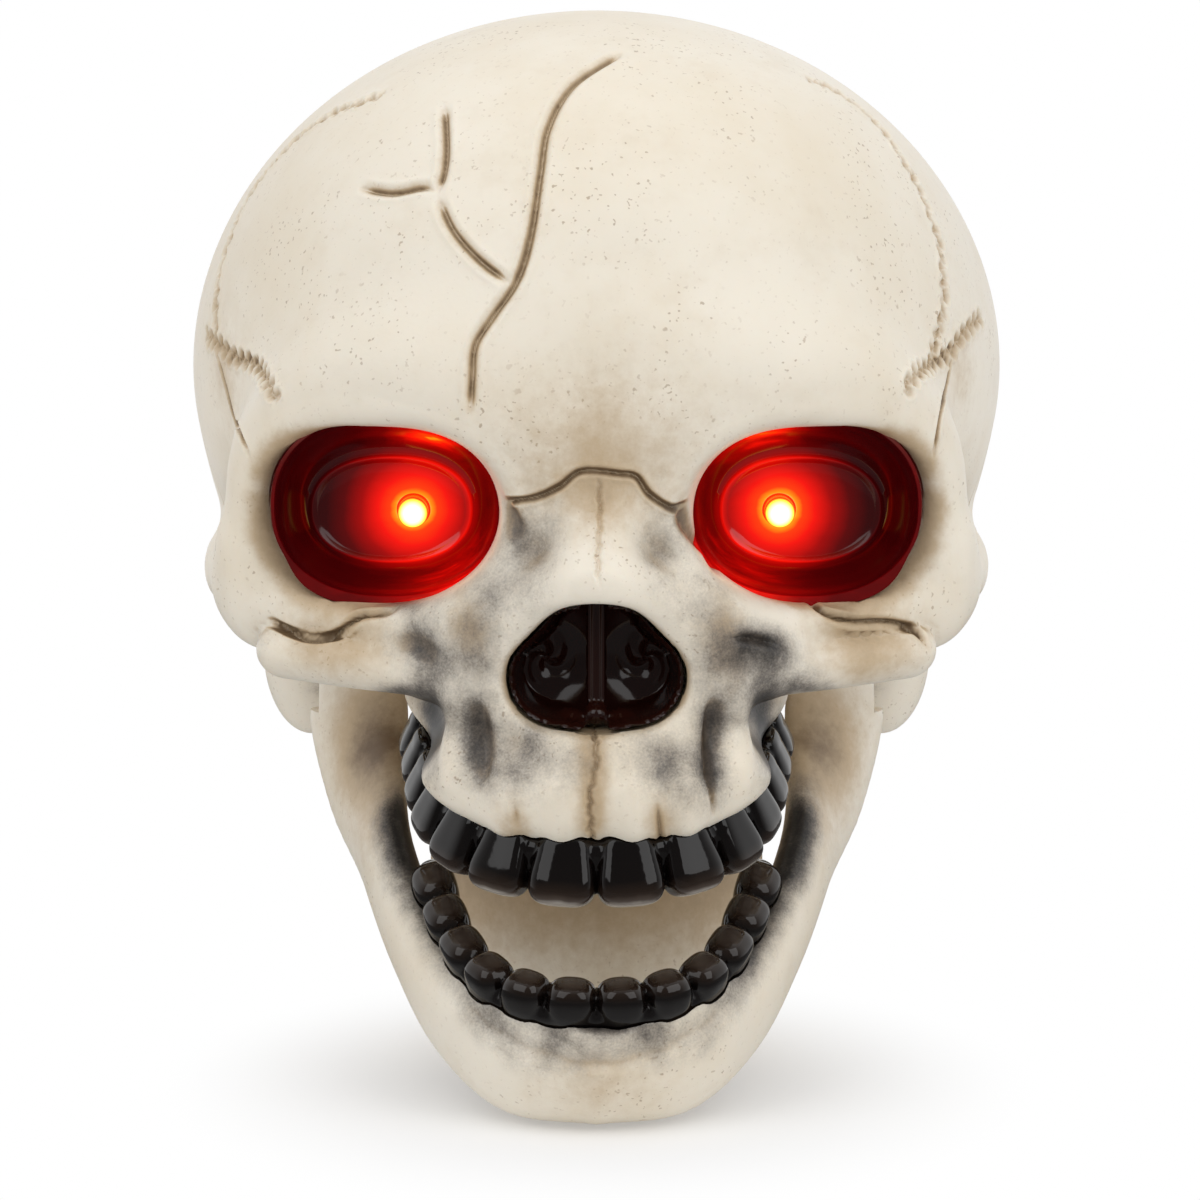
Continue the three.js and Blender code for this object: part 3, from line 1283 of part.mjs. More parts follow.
const basePlate = () => {
  const disc = onNeck(rod(NECK_FOOT_RADIUS, 0, BASE_THICKNESS, WIDE_SEGMENTS));
  const top = CELL_BOTTOM_Z - CONTACT_THICKNESS - 2 * CLEARANCE;
  const stands = cellSites().map(([x, y]) => rod(CELL_STAND_RADIUS, PAST, top).translate([x, y, 0]));
  const holes = [-1, 1].flatMap((side) => [
    onNeck(rod(SHELL_SCREW_RADIUS + CLEARANCE, -PAST, BASE_THICKNESS + FAR), side * baseScrewX),
    onNeck(rod(SHELL_SCREW_HEAD_RADIUS + CLEARANCE, -PAST, BASE_SCREW_SEAT_Z), side * baseScrewX),
  ]);
  return cut(union(disc, ...stands), ...holes);
};
const baseScrewSeat = BASE_SCREW_SEAT_Z - PILOT_GAP;
const baseScrewLength = BASE_SCREW_TOP_Z - baseScrewSeat;
const baseScrew = (side) => () =>
  panScrew(SHELL_SCREW_HEAD_RADIUS, BASE_SCREW_HEAD_LENGTH, SHELL_SCREW_RADIUS, baseScrewLength)
    .rotate([180, 0, 0])
    .translate([side * baseScrewX, NECK_Y, baseScrewSeat]);
const batteryTray = () => {
  const r = CELL_RADIUS + CLEARANCE + TRAY_WALL;
  const bottom = CELL_BOTTOM_Z + 1;
  const sleeves = cellSites().map(([x, y]) => rod(r, bottom, trayTop, 14).translate([x, y, 0]));
  const core = onNeck(rod(TRAY_CORE_RADIUS, bottom, trayTop));
  const flange = onNeck(rod(trayFlangeRadius, trayTop - TRAY_FLANGE, trayTop, WIDE_SEGMENTS));
  const boreTop = nubTop + CONTACT_THICKNESS + 2 * CLEARANCE;
  const bore = rod(CELL_RADIUS + CLEARANCE, bottom - PAST, boreTop, 14);
  const bores = cellSites().map(([x, y]) => bore.translate([x, y, 0]));
  return cut(union(core, flange, ...sleeves), ...bores, wireHole);
};
const cell = ([x, y]) => () =>
  turned(
    [
      [0, CELL_BOTTOM_Z],
      [CELL_RADIUS, CELL_BOTTOM_Z],
      [CELL_RADIUS, cellTop],
      [CELL_NUB_RADIUS, cellTop],
      [CELL_NUB_RADIUS, nubTop],
      [0, nubTop],
    ],
    14,
  ).translate([x, y, 0]);
const upperContact = ([x, y]) => () =>
  rod(CONTACT_RADIUS, nubTop + CLEARANCE, nubTop + CLEARANCE + CONTACT_THICKNESS, 14).translate([x, y, 0]);
const lowerContact = () => {
  const top = CELL_BOTTOM_Z - CLEARANCE;
  const bottom = top - CONTACT_THICKNESS;
  const pads = cellSites().map(([x, y]) => rod(CONTACT_RADIUS, bottom, top, 14).translate([x, y, 0]));
  const middle = onNeck(rod(CELL_RING_RADIUS - 2, bottom, top, 14));
  return union(middle, ...pads);
};
const switchBody = () =>
  box(
    -SWITCH_HALF_WIDTH, SWITCH_HALF_WIDTH, switchBackY - SWITCH_DEPTH, switchBackY,
    SWITCH_Z - SWITCH_HALF_HEIGHT, SWITCH_Z + SWITCH_HALF_HEIGHT,
  );
const switchKnob = () => {
  const middle = -KNOB_TRAVEL / 2;
  const y0 = switchBackY + CLEARANCE;
  const y1 = NECK_Y + NECK_BELLY_RADIUS + KNOB_PROUD;
  return box(
    middle - KNOB_HALF_WIDTH, middle + KNOB_HALF_WIDTH, y0, y1,
    SWITCH_Z - KNOB_HALF_HEIGHT, SWITCH_Z + KNOB_HALF_HEIGHT,
  );
};
const circuitBoard = () => {
  const z = deckTop + CLEARANCE;
  const face = BOARD_Y + BOARD_THICKNESS;
  const within = BOARD_Y + BOARD_THICKNESS / 2;
  const chipZ = z + CHIP_LOW;
  const plugZ = z + PLUG_LOW;
  const board = box(-BOARD_HALF_WIDTH, BOARD_HALF_WIDTH, BOARD_Y, face, z, z + BOARD_HEIGHT);
  const chip = box(-CHIP_HALF_WIDTH, CHIP_HALF_WIDTH, within, face + CHIP_PROUD, chipZ, chipZ + CHIP_HEIGHT);
  const plug = box(PLUG_INNER_X, PLUG_OUTER_X, within, face + PLUG_PROUD, plugZ, plugZ + PLUG_HEIGHT);
  return union(board, chip, plug);
};

// Finishes
const BONE = { color: 0xe6dcc4, roughness: 0.5, metalness: 0 };
const SMOKE = { color: 0x16100f, roughness: 0.15, metalness: 0 };
const RED = { color: 0x8c0a08, roughness: 0.12, metalness: 0 };
const GLOW = { color: 0xffd38a, roughness: 0.2, metalness: 0 };
const BLACK = { color: 0x1d1d1f, roughness: 0.6, metalness: 0 };
const STEEL = { color: 0xb4b7bb, roughness: 0.3, metalness: 1 };
const NYLON = { color: 0xece9e0, roughness: 0.45, metalness: 0 };
const BRASS = { color: 0xb99445, roughness: 0.3, metalness: 1 };
const BOARD = { color: 0x24583a, roughness: 0.55, metalness: 0 };
const WRAP = { color: 0x2f4f7a, roughness: 0.35, metalness: 0 };

const group = new THREE.Group();
group.name = "halloween_skull";
function add(name, made, finish) {
  const mesh = made.getMesh();
  const g = new THREE.BufferGeometry();
  const flat = new Float32Array((mesh.vertProperties.length / mesh.numProp) * 3);
  for (let i = 0; i < flat.length / 3; i++) {
    for (let axis = 0; axis < 3; axis++) flat[3 * i + axis] = mesh.vertProperties[i * mesh.numProp + axis];
  }
  g.setAttribute("position", new THREE.BufferAttribute(flat, 3));
  g.setIndex(new THREE.BufferAttribute(new Uint32Array(mesh.triVerts), 1));
  g.computeVertexNormals();
  const node = new THREE.Mesh(g, new THREE.MeshStandardMaterial(finish));
  node.name = name;
  group.add(node);
}
export const pieces = {
  front_shell: [frontShell, BONE],
  rear_shell: [rearShellWithVoice, BONE],
  jaw: [jaw, BONE],
  neck_stand: [neckStand, BONE],
  base_plate: [basePlate, BONE],
  upper_teeth: [upperTeeth, SMOKE],
  lower_teeth: [lowerTeeth, SMOKE],
  nose_insert: [noseInsert, SMOKE],
  right_eye_cup: [eyeCup, RED],
  left_eye_cup: [() => flipX(eyeCup()), RED],
  right_eye_led: [eyeLamp, GLOW],
  left_eye_led: [() => flipX(eyeLamp()), GLOW],
  right_led_holder: [lampHolder, BLACK],
  left_led_holder: [() => flipX(lampHolder()), BLACK],
  jaw_axle: [jawAxle, STEEL],
  right_axle_screw: [axleScrew, STEEL],
  left_axle_screw: [() => flipX(axleScrew()), STEEL],
  sector_gear: [sectorGear, NYLON],
  lay_gear: [layGear, NYLON],
  lay_pin: [layPin, STEEL],
  motor_pinion: [motorPinion, BRASS],
  motor_shaft: [motorShaft, STEEL],
  motor: [motor, STEEL],
  gear_frame: [gearFrame, BLACK],
  battery_tray: [batteryTray, BLACK],
  lower_contact_plate: [lowerContact, STEEL],
  switch_body: [switchBody, BLACK],
  switch_knob: [switchKnob, BLACK],
  circuit_board: [circuitBoard, BOARD],
  speaker: [speaker, BLACK],
};
cellSites().forEach((site, i) => {
  pieces[`battery_cell_${i + 1}`] = [cell(site), WRAP];
  pieces[`upper_contact_${i + 1}`] = [upperContact(site), STEEL];
});
bossSites().forEach((site, i) => {
  pieces[`shell_screw_${i + 1}`] = [shellScrew(site), STEEL];
});
frameScrewSites().forEach((y, i) => {
  pieces[`frame_screw_${i + 1}`] = [frameScrew(y), STEEL];
});
[-1, 1].forEach((side, i) => {
  pieces[`base_screw_${i + 1}`] = [baseScrew(side), STEEL];
});
for (const [name, [make, finish]] of Object.entries(pieces)) add(name, make(), finish);

export default group;
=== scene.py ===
"""Looks of an animated halloween skull: bone shells, swinging jaw, smoke-black teeth and lit red eye cups.

Shapes are worked out in millimetres, as blended distance fields, and become meshes in metres.
"""
import logging
import math
from dataclasses import dataclass
from enum import Enum
from typing import Callable, Iterable, Sequence

import bmesh
import bpy
import numpy as np
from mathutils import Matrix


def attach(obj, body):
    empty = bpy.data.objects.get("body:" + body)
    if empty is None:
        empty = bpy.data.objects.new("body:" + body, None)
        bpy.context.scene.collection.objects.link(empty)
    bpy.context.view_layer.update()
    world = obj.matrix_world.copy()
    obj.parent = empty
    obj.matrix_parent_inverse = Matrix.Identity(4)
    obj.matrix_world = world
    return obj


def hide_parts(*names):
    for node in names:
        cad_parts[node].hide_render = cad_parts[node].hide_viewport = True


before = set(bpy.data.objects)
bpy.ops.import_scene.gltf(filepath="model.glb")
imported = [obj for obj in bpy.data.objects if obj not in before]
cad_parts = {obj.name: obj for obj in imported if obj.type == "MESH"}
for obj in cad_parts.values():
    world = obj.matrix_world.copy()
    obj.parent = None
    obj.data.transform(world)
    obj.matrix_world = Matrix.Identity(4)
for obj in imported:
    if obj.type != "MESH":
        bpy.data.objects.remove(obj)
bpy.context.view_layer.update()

import openvdb
from mathutils import Matrix, Vector
from mathutils.bvhtree import BVHTree

LOG = logging.getLogger("skull")
MM = 0.001
SMOOTH_ANGLE = math.radians(38)
CUP_ANGLE = math.radians(50)
ROUND_ANGLE = math.radians(60)
SHORT = 1e-4
TINY = 1e-7
FAR = 1e6

Obj = bpy.types.Object
Node = bpy.types.Node
NodeTree = bpy.types.NodeTree
Socket = bpy.types.NodeSocket
Material = bpy.types.Material
Feed = Socket | float | tuple
Triple = tuple[float, float, float]
Pair = tuple[float, float]
Colour = tuple[float, float, float]
Points = np.ndarray
Values = np.ndarray
Field = Callable[[Points], Values]


class Drawn(Enum):
    """Where the points of a line or spot are given."""

    PHOTO = "pixels of the photograph"
    MODEL = "millimetres near the surface"


class Course(Enum):
    """How a line runs from point to point."""

    SMOOTH = "one flowing curve"
    JAGGED = "a fine zigzag"
    BEADED = "a zigzag of separate dents"


class Tone(Enum):
    """The paint that a stroke leaves; strokes of either kind can also be painted shade."""

    SMOKE = "smoke"
    EARTH = "earth"


# Distance fields


def ease(x: Values, low: float, high: float) -> Values:
    """A smooth step from 0 at low to 1 at high."""
    t = np.clip((x - low) / (high - low), 0, 1)
    return t * t * (3 - 2 * t)


def bell(x: Values, width: float) -> Values:
    """A bell curve, 1 where x is 0."""
    return np.exp(-((x / width) ** 2))


def blend(a: Values, b: Values, k: float | Values) -> Values:
    """Joins two fields of distances with a fillet of about k."""
    h = np.maximum(k - np.abs(a - b), 0.0) / k
    return np.minimum(a, b) - h * h * (k * 0.25)


def carve(a: Values, b: Values, k: float) -> Values:
    """Cuts form b out of form a with an edge rounded by k."""
    return -blend(-a, b, k)


def flow(points: Values, t: Values) -> Values:
    """Points on a centripetal spline through the given ones.

    Args:
        points: control points, one row each.
        t: places along the spline, from 0 to 1.

    Returns:
        One row for each t.
    """
    points = np.asarray(points, float)
    first = 2 * points[0] - points[1]
    last = 2 * points[-1] - points[-2]
    full = np.vstack([first, points, last])
    place = np.clip(np.asarray(t, float), 0, 1) * (len(points) - 1)
    cell = np.minimum(place.astype(int), len(points) - 2)
    u = (place - cell)[:, None]
    p0, p1, p2, p3 = (full[cell + i] for i in range(4))

    def knot(a: Points, b: Points, instead: float | Values) -> Values:
        """Roots of the distances between rows; where two rows coincide, another value."""
        root = np.sqrt(np.linalg.norm(b - a, axis=1))[:, None]
        return np.where(root < SHORT, instead, root)

    d1 = knot(p1, p2, 1.0)
    d0 = knot(p0, p1, d1)
    d2 = knot(p2, p3, d1)
    m1 = ((p1 - p0) / d0 - (p2 - p0) / (d0 + d1) + (p2 - p1) / d1) * d1
    m2 = ((p2 - p1) / d1 - (p3 - p1) / (d1 + d2) + (p3 - p2) / d2) * d1
    c2 = -3 * p1 + 3 * p2 - 2 * m1 - m2
    c3 = 2 * p1 - 2 * p2 + m1 + m2
    return p1 + u * (m1 + u * (c2 + u * c3))


@dataclass(frozen=True)
class Ellipsoid:
    """An egg-shaped form."""

    centre: Triple
    radii: Triple

    def __call__(self, p: Points) -> Values:
        """Distances from the points p to the form."""
        radii = np.asarray(self.radii, np.float32)
        q = (p - np.asarray(self.centre, np.float32)) / radii
        near = np.sqrt(np.einsum("ij,ij->i", q, q))
        q /= radii
        slope = np.sqrt(np.einsum("ij,ij->i", q, q))
        return np.where(slope < TINY, -min(self.radii), near * (near - 1) / np.maximum(slope, TINY))


class Sweep:
    """A rod of elliptical section through stations.

    A station holds x, y, z, the half size across, the other half size and, where it differs, its own across.
    """

    REACH = 22.0

    def __init__(self, stations: Sequence[tuple], across: Triple, steps: int = 4):
        """Lays the rod out as short straight links.

        Args:
            stations: what the rod runs through.
            across: the direction of the first half size.
            steps: links between two stations.
        """
        count = (len(stations) - 1) * steps
        whole = np.linspace(0, 1, count + 1)
        knots = flow(np.array([s[:3] for s in stations]), whole)
        sizes = flow(np.array([(s[3], s[4], 0.0) for s in stations]), whole)[:, :2]
        hints = np.array([s[5] if len(s) > 5 else across for s in stations], float)
        hint = flow(hints, whole)
        way = knots[1:] - knots[:-1]
        self.length = np.linalg.norm(way, axis=1)
        self.along = (way / self.length[:, None]).astype(np.float32)
        head = np.gradient(knots, axis=0)
        head /= np.linalg.norm(head, axis=1)[:, None]
        side = hint - head * np.einsum("ij,ij->i", hint, head)[:, None]
        side /= np.linalg.norm(side, axis=1)[:, None]
        self.side = side.astype(np.float32)
        self.other = np.cross(head, side).astype(np.float32)
        self.knots = knots
        self.sizes = sizes
        self.low = (knots.min(0) - sizes.max()).astype(np.float32)
        self.high = (knots.max(0) + sizes.max()).astype(np.float32)

    def __call__(self, p: Points) -> Values:
        """Distances from the points p to the rod; far ones get the distance to its box."""
        off = np.maximum(np.maximum(self.low - p, p - self.high), 0)
        out = np.sqrt(np.einsum("ij,ij->i", off, off)) + 0.01
        near = out < self.REACH
        out[near] = self._exact(p[near])
        return out

    def _exact(self, p: Points) -> Values:
        """Distances from the points p, link by link."""
        best = np.full(len(p), FAR, np.float32)
        for n, length in enumerate(self.length):
            rel = p - self.knots[n].astype(np.float32)
            run = rel @ self.along[n]
            u = np.clip(run / length, 0, 1)
            ra = self.sizes[n, 0] + (self.sizes[n + 1, 0] - self.sizes[n, 0]) * u
            rb = self.sizes[n, 1] + (self.sizes[n + 1, 1] - self.sizes[n, 1]) * u
            re = np.minimum(ra, rb)
            rel -= (u * length)[:, None] * self.along[n]
            sides = rel @ self.side[n:n + 2].T
            others = rel @ self.other[n:n + 2].T
            qa = (sides[:, 0] + (sides[:, 1] - sides[:, 0]) * u) / ra
            qb = (others[:, 0] + (others[:, 1] - others[:, 0]) * u) / rb
            qe = (run - u * length) / re
            near = np.sqrt(qa * qa + qb * qb + qe * qe)
            slope = np.sqrt((qa / ra) ** 2 + (qb / rb) ** 2 + (qe / re) ** 2)
            best = np.minimum(best, near * (near - 1) / np.maximum(slope, TINY) - (slope < TINY) * re)
        return best


def folded(p: Points) -> Points:
    """The points p mirrored onto the right half."""
    q = np.array(p, np.float32)
    q[:, 0] = np.abs(q[:, 0])
    return q


def gradient(form: Field, p: Points, gap: float = 0.06) -> Values:
    """Slope of a field.

    Args:
        form: the field.
        p: where the slope is wanted.
        gap: distance between the two readings along each axis.

    Returns:
        One vector for each point.
    """
    slopes = []
    for axis in range(3):
        step = np.zeros(3, np.float32)
        step[axis] = gap
        slopes.append((form(p + step) - form(p - step)) / (2 * gap))
    return np.stack(slopes, 1)


def settle(form: Field, p: Points, most: float, least_slope: float = 0.05) -> Points:
    """Moves points onto the surface of a form.

    Args:
        form: the field.
        p: points near the surface.
        most: the longest move.
        least_slope: what a smaller square of the slope counts as.

    Returns:
        The moved points.
    """
    slope = gradient(form, p)
    size = np.maximum(np.einsum("ij,ij->i", slope, slope), least_slope)
    move = -(form(p) / size)[:, None] * slope
    long = np.maximum(np.linalg.norm(move, axis=1), TINY)
    return p + move * np.minimum(1.0, most / long)[:, None]


SKIN_CELLS = 4
SKIN_REACH = 1.25
SKIN_MOVE = 0.4
SKIN_BATCH = 400000


def skin_of(form: Field, low: Triple, high: Triple, step: float) -> tuple[Points, Values]:
    """Meshes the surface of a form, with samples only where the surface runs.

    Args:
        form: the field.
        low: lowest corner of the room that holds the form.
        high: highest corner of that room.
        step: grid spacing.

    Returns:
        The points and the four-cornered faces.
    """
    coarse = step * SKIN_CELLS
    low = np.asarray(low, np.float32)
    blocks = np.ceil((np.asarray(high) - low) / coarse).astype(int)
    where = np.stack(np.meshgrid(*[np.arange(n) for n in blocks], indexing="ij"), -1).reshape(-1, 3)
    middle = low + (where.astype(np.float32) + 0.5) * coarse - 0.5 * step
    rough = form(middle)
    values = np.where(rough > 0, coarse, -coarse).astype(np.float32).reshape(blocks)
    for axis in range(3):
        values = np.repeat(values, SKIN_CELLS, axis)
    active = where[np.abs(rough) < coarse * SKIN_REACH]
    inner = np.stack(np.meshgrid(*[np.arange(SKIN_CELLS)] * 3, indexing="ij"), -1).reshape(-1, 3)
    spots = (active[:, None, :] * SKIN_CELLS + inner[None]).reshape(-1, 3)
    for start in range(0, len(spots), SKIN_BATCH):
        part = spots[start:start + SKIN_BATCH]
        values[part[:, 0], part[:, 1], part[:, 2]] = form(low + part.astype(np.float32) * step)
    grid = openvdb.FloatGrid(coarse)
    grid.copyFromArray(values)
    points, quads = grid.convertToQuads(0.0)
    points = low + np.asarray(points, np.float32) * step
    return settle(form, points, step * SKIN_MOVE), np.asarray(quads, int)


# Meshes


def linked(name: str, data: bpy.types.ID) -> Obj:
    """A new object in the scene."""
    made = bpy.data.objects.new(name, data)
    bpy.context.scene.collection.objects.link(made)
    return made


def object_from(name: str, points: Points, faces: Iterable) -> Obj:
    """A mesh object in metres.

    Args:
        name: the object's name.
        points: corners in millimetres.
        faces: corner numbers of each face.

    Returns:
        The object, linked to the scene, with its faces turned outwards.
    """
    mesh = bpy.data.meshes.new(name)
    faces = faces.tolist() if isinstance(faces, Values) else list(faces)
    mesh.from_pydata((np.asarray(points, float) * MM).tolist(), [], faces)
    made = linked(name, mesh)
    bm = bmesh.new()
    bm.from_mesh(mesh)
    bmesh.ops.recalc_face_normals(bm, faces=bm.faces[:])
    if bm.calc_volume(signed=True) < 0:
        bmesh.ops.reverse_faces(bm, faces=bm.faces[:])
    bm.to_mesh(mesh)
    bm.free()
    return made


def corners(obj: Obj, what: str) -> Values:
    """One vector for each corner of an object's mesh."""
    flat = np.zeros(len(obj.data.vertices) * 3, np.float32)
    obj.data.vertices.foreach_get(what, flat)
    return flat.reshape(-1, 3)


def places(obj: Obj) -> Points:
    """The corners of an object's mesh, in millimetres."""
    return corners(obj, "co") / MM


def normals(obj: Obj) -> Values:
    """The normals at the corners of an object's mesh."""
    return corners(obj, "normal")


def move_to(obj: Obj, points: Points) -> None:
    """Sets the corners of an object's mesh, in millimetres."""
    obj.data.vertices.foreach_set("co", (points * MM).astype(np.float32).ravel())
    obj.data.update()


def mask(obj: Obj, name: str, values: Values) -> None:
    """Stores one number for each corner under a name that a material reads."""
    layer = obj.data.attributes.get(name) or obj.data.attributes.new(name, "FLOAT", "POINT")
    layer.data.foreach_set("value", np.clip(values, 0, 1).astype(np.float32))


def smooth(obj: Obj, angle: float = SMOOTH_ANGLE) -> Obj:
    """Shades an object smoothly, apart from edges sharper than an angle."""
    obj.data.polygons.foreach_set("use_smooth", np.ones(len(obj.data.polygons), bool))
    obj.data.set_sharp_from_angle(angle=angle)
    return obj


def bake(obj: Obj) -> Obj:
    """Turns an object's modifiers into its mesh."""
    graph = bpy.context.evaluated_depsgraph_get()
    made = bpy.data.meshes.new_from_object(obj.evaluated_get(graph), depsgraph=graph)
    old = obj.data
    obj.modifiers.clear()
    obj.data = made
    bpy.data.meshes.remove(old)
    return obj


class Work(Enum):
    """What other solids do to one."""

    JOIN = "UNION"
    CUT = "DIFFERENCE"
    TRIM = "INTERSECT"


def shape(obj: Obj, how: Work, tools: Iterable[Obj], keep: bool = False) -> Obj:
    """Joins, cuts or trims an object by others.

    Args:
        obj: what is worked on.
        how: what the others do.
        tools: the other solids.
        keep: whether the tools stay for further use.

    Returns:
        The same object.
    """
    tools = list(tools)
    for tool in tools:
        step = obj.modifiers.new("shape", "BOOLEAN")
        step.operation = how.value
        step.solver = "MANIFOLD"
        step.object = tool
        bake(obj)
    if not keep:
        for tool in tools:
            bpy.data.objects.remove(tool)
    return obj


def joined(parts: Sequence[Obj]) -> Obj:
    """One object out of several that don't touch."""
    bm = bmesh.new()
    for part in parts:
        bm.from_mesh(part.data)
    made = parts[0]
    bm.to_mesh(made.data)
    bm.free()
    for part in parts[1:]:
        bpy.data.objects.remove(part)
    return made


def copy_of(obj: Obj, name: str) -> Obj:
    """A second object with a mesh of its own."""
    return linked(name, obj.data.copy())


def mirrored(obj: Obj, name: str) -> Obj:
    """The mirror image of an object across the middle of the skull."""
    made = copy_of(obj, name)
    made.data.transform(Matrix.Scale(-1, 4, (1, 0, 0)))
    made.data.flip_normals()
    return made


class Axis(Enum):
    """The direction that a turned piece stands along."""

    X = 0
    Y = 1
    Z = 2

    def place(self, radius: Values, angle: Values, height: Values) -> Points:
        """Points from a radius, an angle and a height along this axis."""
        flat = [radius * np.cos(angle), radius * np.sin(angle)]
        columns = [None, None, None]
        columns[self.value] = height
        columns[(self.value + 1) % 3] = flat[0]
        columns[(self.value + 2) % 3] = flat[1]
        return np.stack(columns, -1)


def turned(
    name: str, profile: Sequence[Pair], axis: Axis, at: Triple = (0, 0, 0), segments: int = 64
) -> Obj:
    """A turned solid.

    Args:
        name: the object's name.
        profile: radius and height of each corner; it closes on itself or ends on the axis.
        axis: what it is turned about.
        at: where its zero height is.
        segments: corners round it.

    Returns:
        The solid.
    """
    outline = np.asarray(profile, float)
    on_axis = outline[:, 0] < TINY
    points: list[Values] = []
    rows: list[list[int]] = []
    for (radius, height), centred in zip(outline, on_axis):
        start = len(points)
        angles = np.zeros(1) if centred else np.arange(segments) * 2 * math.pi / segments
        points.extend(axis.place(np.full(len(angles), radius), angles, np.full(len(angles), height)))
        rows.append([start] * segments if centred else list(range(start, start + segments)))
    pairs = list(zip(rows[:-1], rows[1:]))
    if not on_axis[0]:
        pairs.append((rows[-1], rows[0]))
    faces = []
    for low, high in pairs:
        for i in range(segments):
            j = (i + 1) % segments
            corner = dict.fromkeys((low[i], low[j], high[j], high[i]))
            if len(corner) > 2:
                faces.append(tuple(corner))
    return object_from(name, np.array(points) + np.asarray(at), faces)


def rod(name: str, radius: float, start: float, end: float, axis: Axis, at: Triple, segments: int = 40) -> Obj:
    """A plain round bar from start to end along an axis through a point."""
    return turned(name, [(0, start), (radius, start), (radius, end), (0, end)], axis, at, segments)


def block(name: str, low: Triple, high: Triple, bevel: float = 0.0) -> Obj:
    """A box between two corners, with rounded edges if bevel is more than 0."""
    bm = bmesh.new()
    bmesh.ops.create_cube(bm, size=1)
    centre = (np.asarray(low) + np.asarray(high)) / 2
    for v in bm.verts:
        v.co = Vector(np.asarray(v.co) * (np.asarray(high) - np.asarray(low)) + centre) * MM
    if bevel:
        bmesh.ops.bevel(bm, geom=bm.edges[:], offset=bevel * MM, segments=3, affect="EDGES", profile=0.5)
    mesh = bpy.data.meshes.new(name)
    bm.to_mesh(mesh)
    bm.free()
    return linked(name, mesh)


# The photograph's camera


@dataclass(frozen=True)
class PhotoCamera:
    """Where the photograph was taken from, worked out from the skull's outline and sockets."""

    tilt: float = math.radians(8)
    distance: float = 900.0
    focal_pixels: float = 5670.0
    target: Triple = (0.6, -75.0, 88.8)
    frame_pixels: int = 1200
    sensor: float = 36.0
    near_clip: float = 0.05

    @property
    def forward(self) -> Values:
        """The direction that the camera looks in."""
        return np.array((0, math.cos(self.tilt), -math.sin(self.tilt)))

    @property
    def up(self) -> Values:
        """The direction that is up in the picture."""
        return np.array((0, math.sin(self.tilt), math.cos(self.tilt)))

    @property
    def eye(self) -> Values:
        """Where the camera stands."""
        return np.asarray(self.target) - self.forward * self.distance

    def rays(self, pixels: Values) -> Values:
        """Directions from the camera through some pixels.

        Args:
            pixels: column and row of each.

        Returns:
            One unit vector for each pixel.
        """
        half = self.frame_pixels / 2
        pixels = np.asarray(pixels, float)
        right = np.array((1.0, 0, 0))
        ray = self.forward + np.outer((pixels[:, 0] - half) / self.focal_pixels, right)
        ray += np.outer((half - pixels[:, 1]) / self.focal_pixels, self.up)
        return ray / np.linalg.norm(ray, axis=1)[:, None]

    def place(self) -> None:
        """Makes Blender's camera."""
        data = bpy.data.cameras.new("photo_camera")
        data.sensor_width = self.sensor
        data.lens = self.focal_pixels / self.frame_pixels * self.sensor
        made = linked("photo_camera", data)
        made.location = Vector(self.eye * MM)
        made.rotation_euler = (math.pi / 2 - self.tilt, 0, 0)
        data.clip_start = self.near_clip
        bpy.context.scene.camera = made


CAMERA = PhotoCamera()


class Surface:
    """A form with a fine mesh of its skin, on which pixels and points are found."""

    OUTLINE_RUN = 965.0

    def __init__(self, name: str, form: Field, low: Triple, high: Triple, step: float):
        """Meshes the form.

        Args:
            name: the mesh object's name.
            form: the field.
            low: lowest corner of the room that holds the form.
            high: highest corner of that room.
            step: grid spacing.
        """
        self.form = form
        points, faces = skin_of(form, low, high, step)
        self.skin = object_from(name, points, faces)
        self.tree = BVHTree.FromPolygons(points.tolist(), faces.tolist())

    def seen_at(self, pixels: Values) -> Points:
        """Points of the skin that the photograph shows at some pixels.

        Args:
            pixels: column and row of each.

        Returns:
            The points; a pixel beside the outline gets the nearest point of the skin.
        """
        found = []
        eye = Vector(CAMERA.eye)
        for ray in CAMERA.rays(pixels):
            way = Vector(ray)
            spot = self.tree.ray_cast(eye, way)[0]
            found.append(spot or self.tree.find_nearest(eye + way * self.OUTLINE_RUN)[0])
        return np.array(found, np.float32)

    def nearest(self, points: Points) -> Points:
        """Points of the skin nearest to some points."""
        return np.array([self.tree.find_nearest(Vector(p))[0] for p in points.tolist()], np.float32)

    def facing(self, points: Points) -> Values:
        """Normals of the skin nearest to some points."""
        return np.array([self.tree.find_nearest(Vector(p))[1] for p in points.tolist()], np.float32)


# Lines, bumps and paint strokes

PIXEL_SPACING = 3.0
POINT_SPACING = 0.7
WAVE_POINTS = 8
SECOND_WAVE = 0.6
SECOND_PACE = 2.3
SECOND_START = 1.3
SOFT_REACH = 2.6


def evenly(points: Points, gap: float) -> Points:
    """Points along a line, spaced by about one gap."""
    run = np.concatenate([[0], np.cumsum(np.linalg.norm(np.diff(points, axis=0), axis=1))])
    at = np.linspace(0, run[-1], max(2, int(run[-1] / gap)))
    return np.stack([np.interp(at, run, points[:, i]) for i in range(3)], 1)


def zigzag(points: Points, facing: Values, swing: float, period: float) -> Points:
    """Shifts points of a line sideways on its surface, back and forth.

    Args:
        points: the line, closely spaced.
        facing: the surface's normals there.
        swing: how far to each side.
        period: length of one swing along the line.

    Returns:
        The shifted line.
    """
    step = np.gradient(points, axis=0)
    run = np.cumsum(np.linalg.norm(step, axis=1))
    side = np.cross(step, facing)
    side /= np.maximum(np.linalg.norm(side, axis=1), TINY)[:, None]
    turn = run * 2 * math.pi / period
    wave = np.sin(turn) + SECOND_WAVE * np.sin(turn * SECOND_PACE + SECOND_START)
    return points + side * (wave * swing)[:, None]


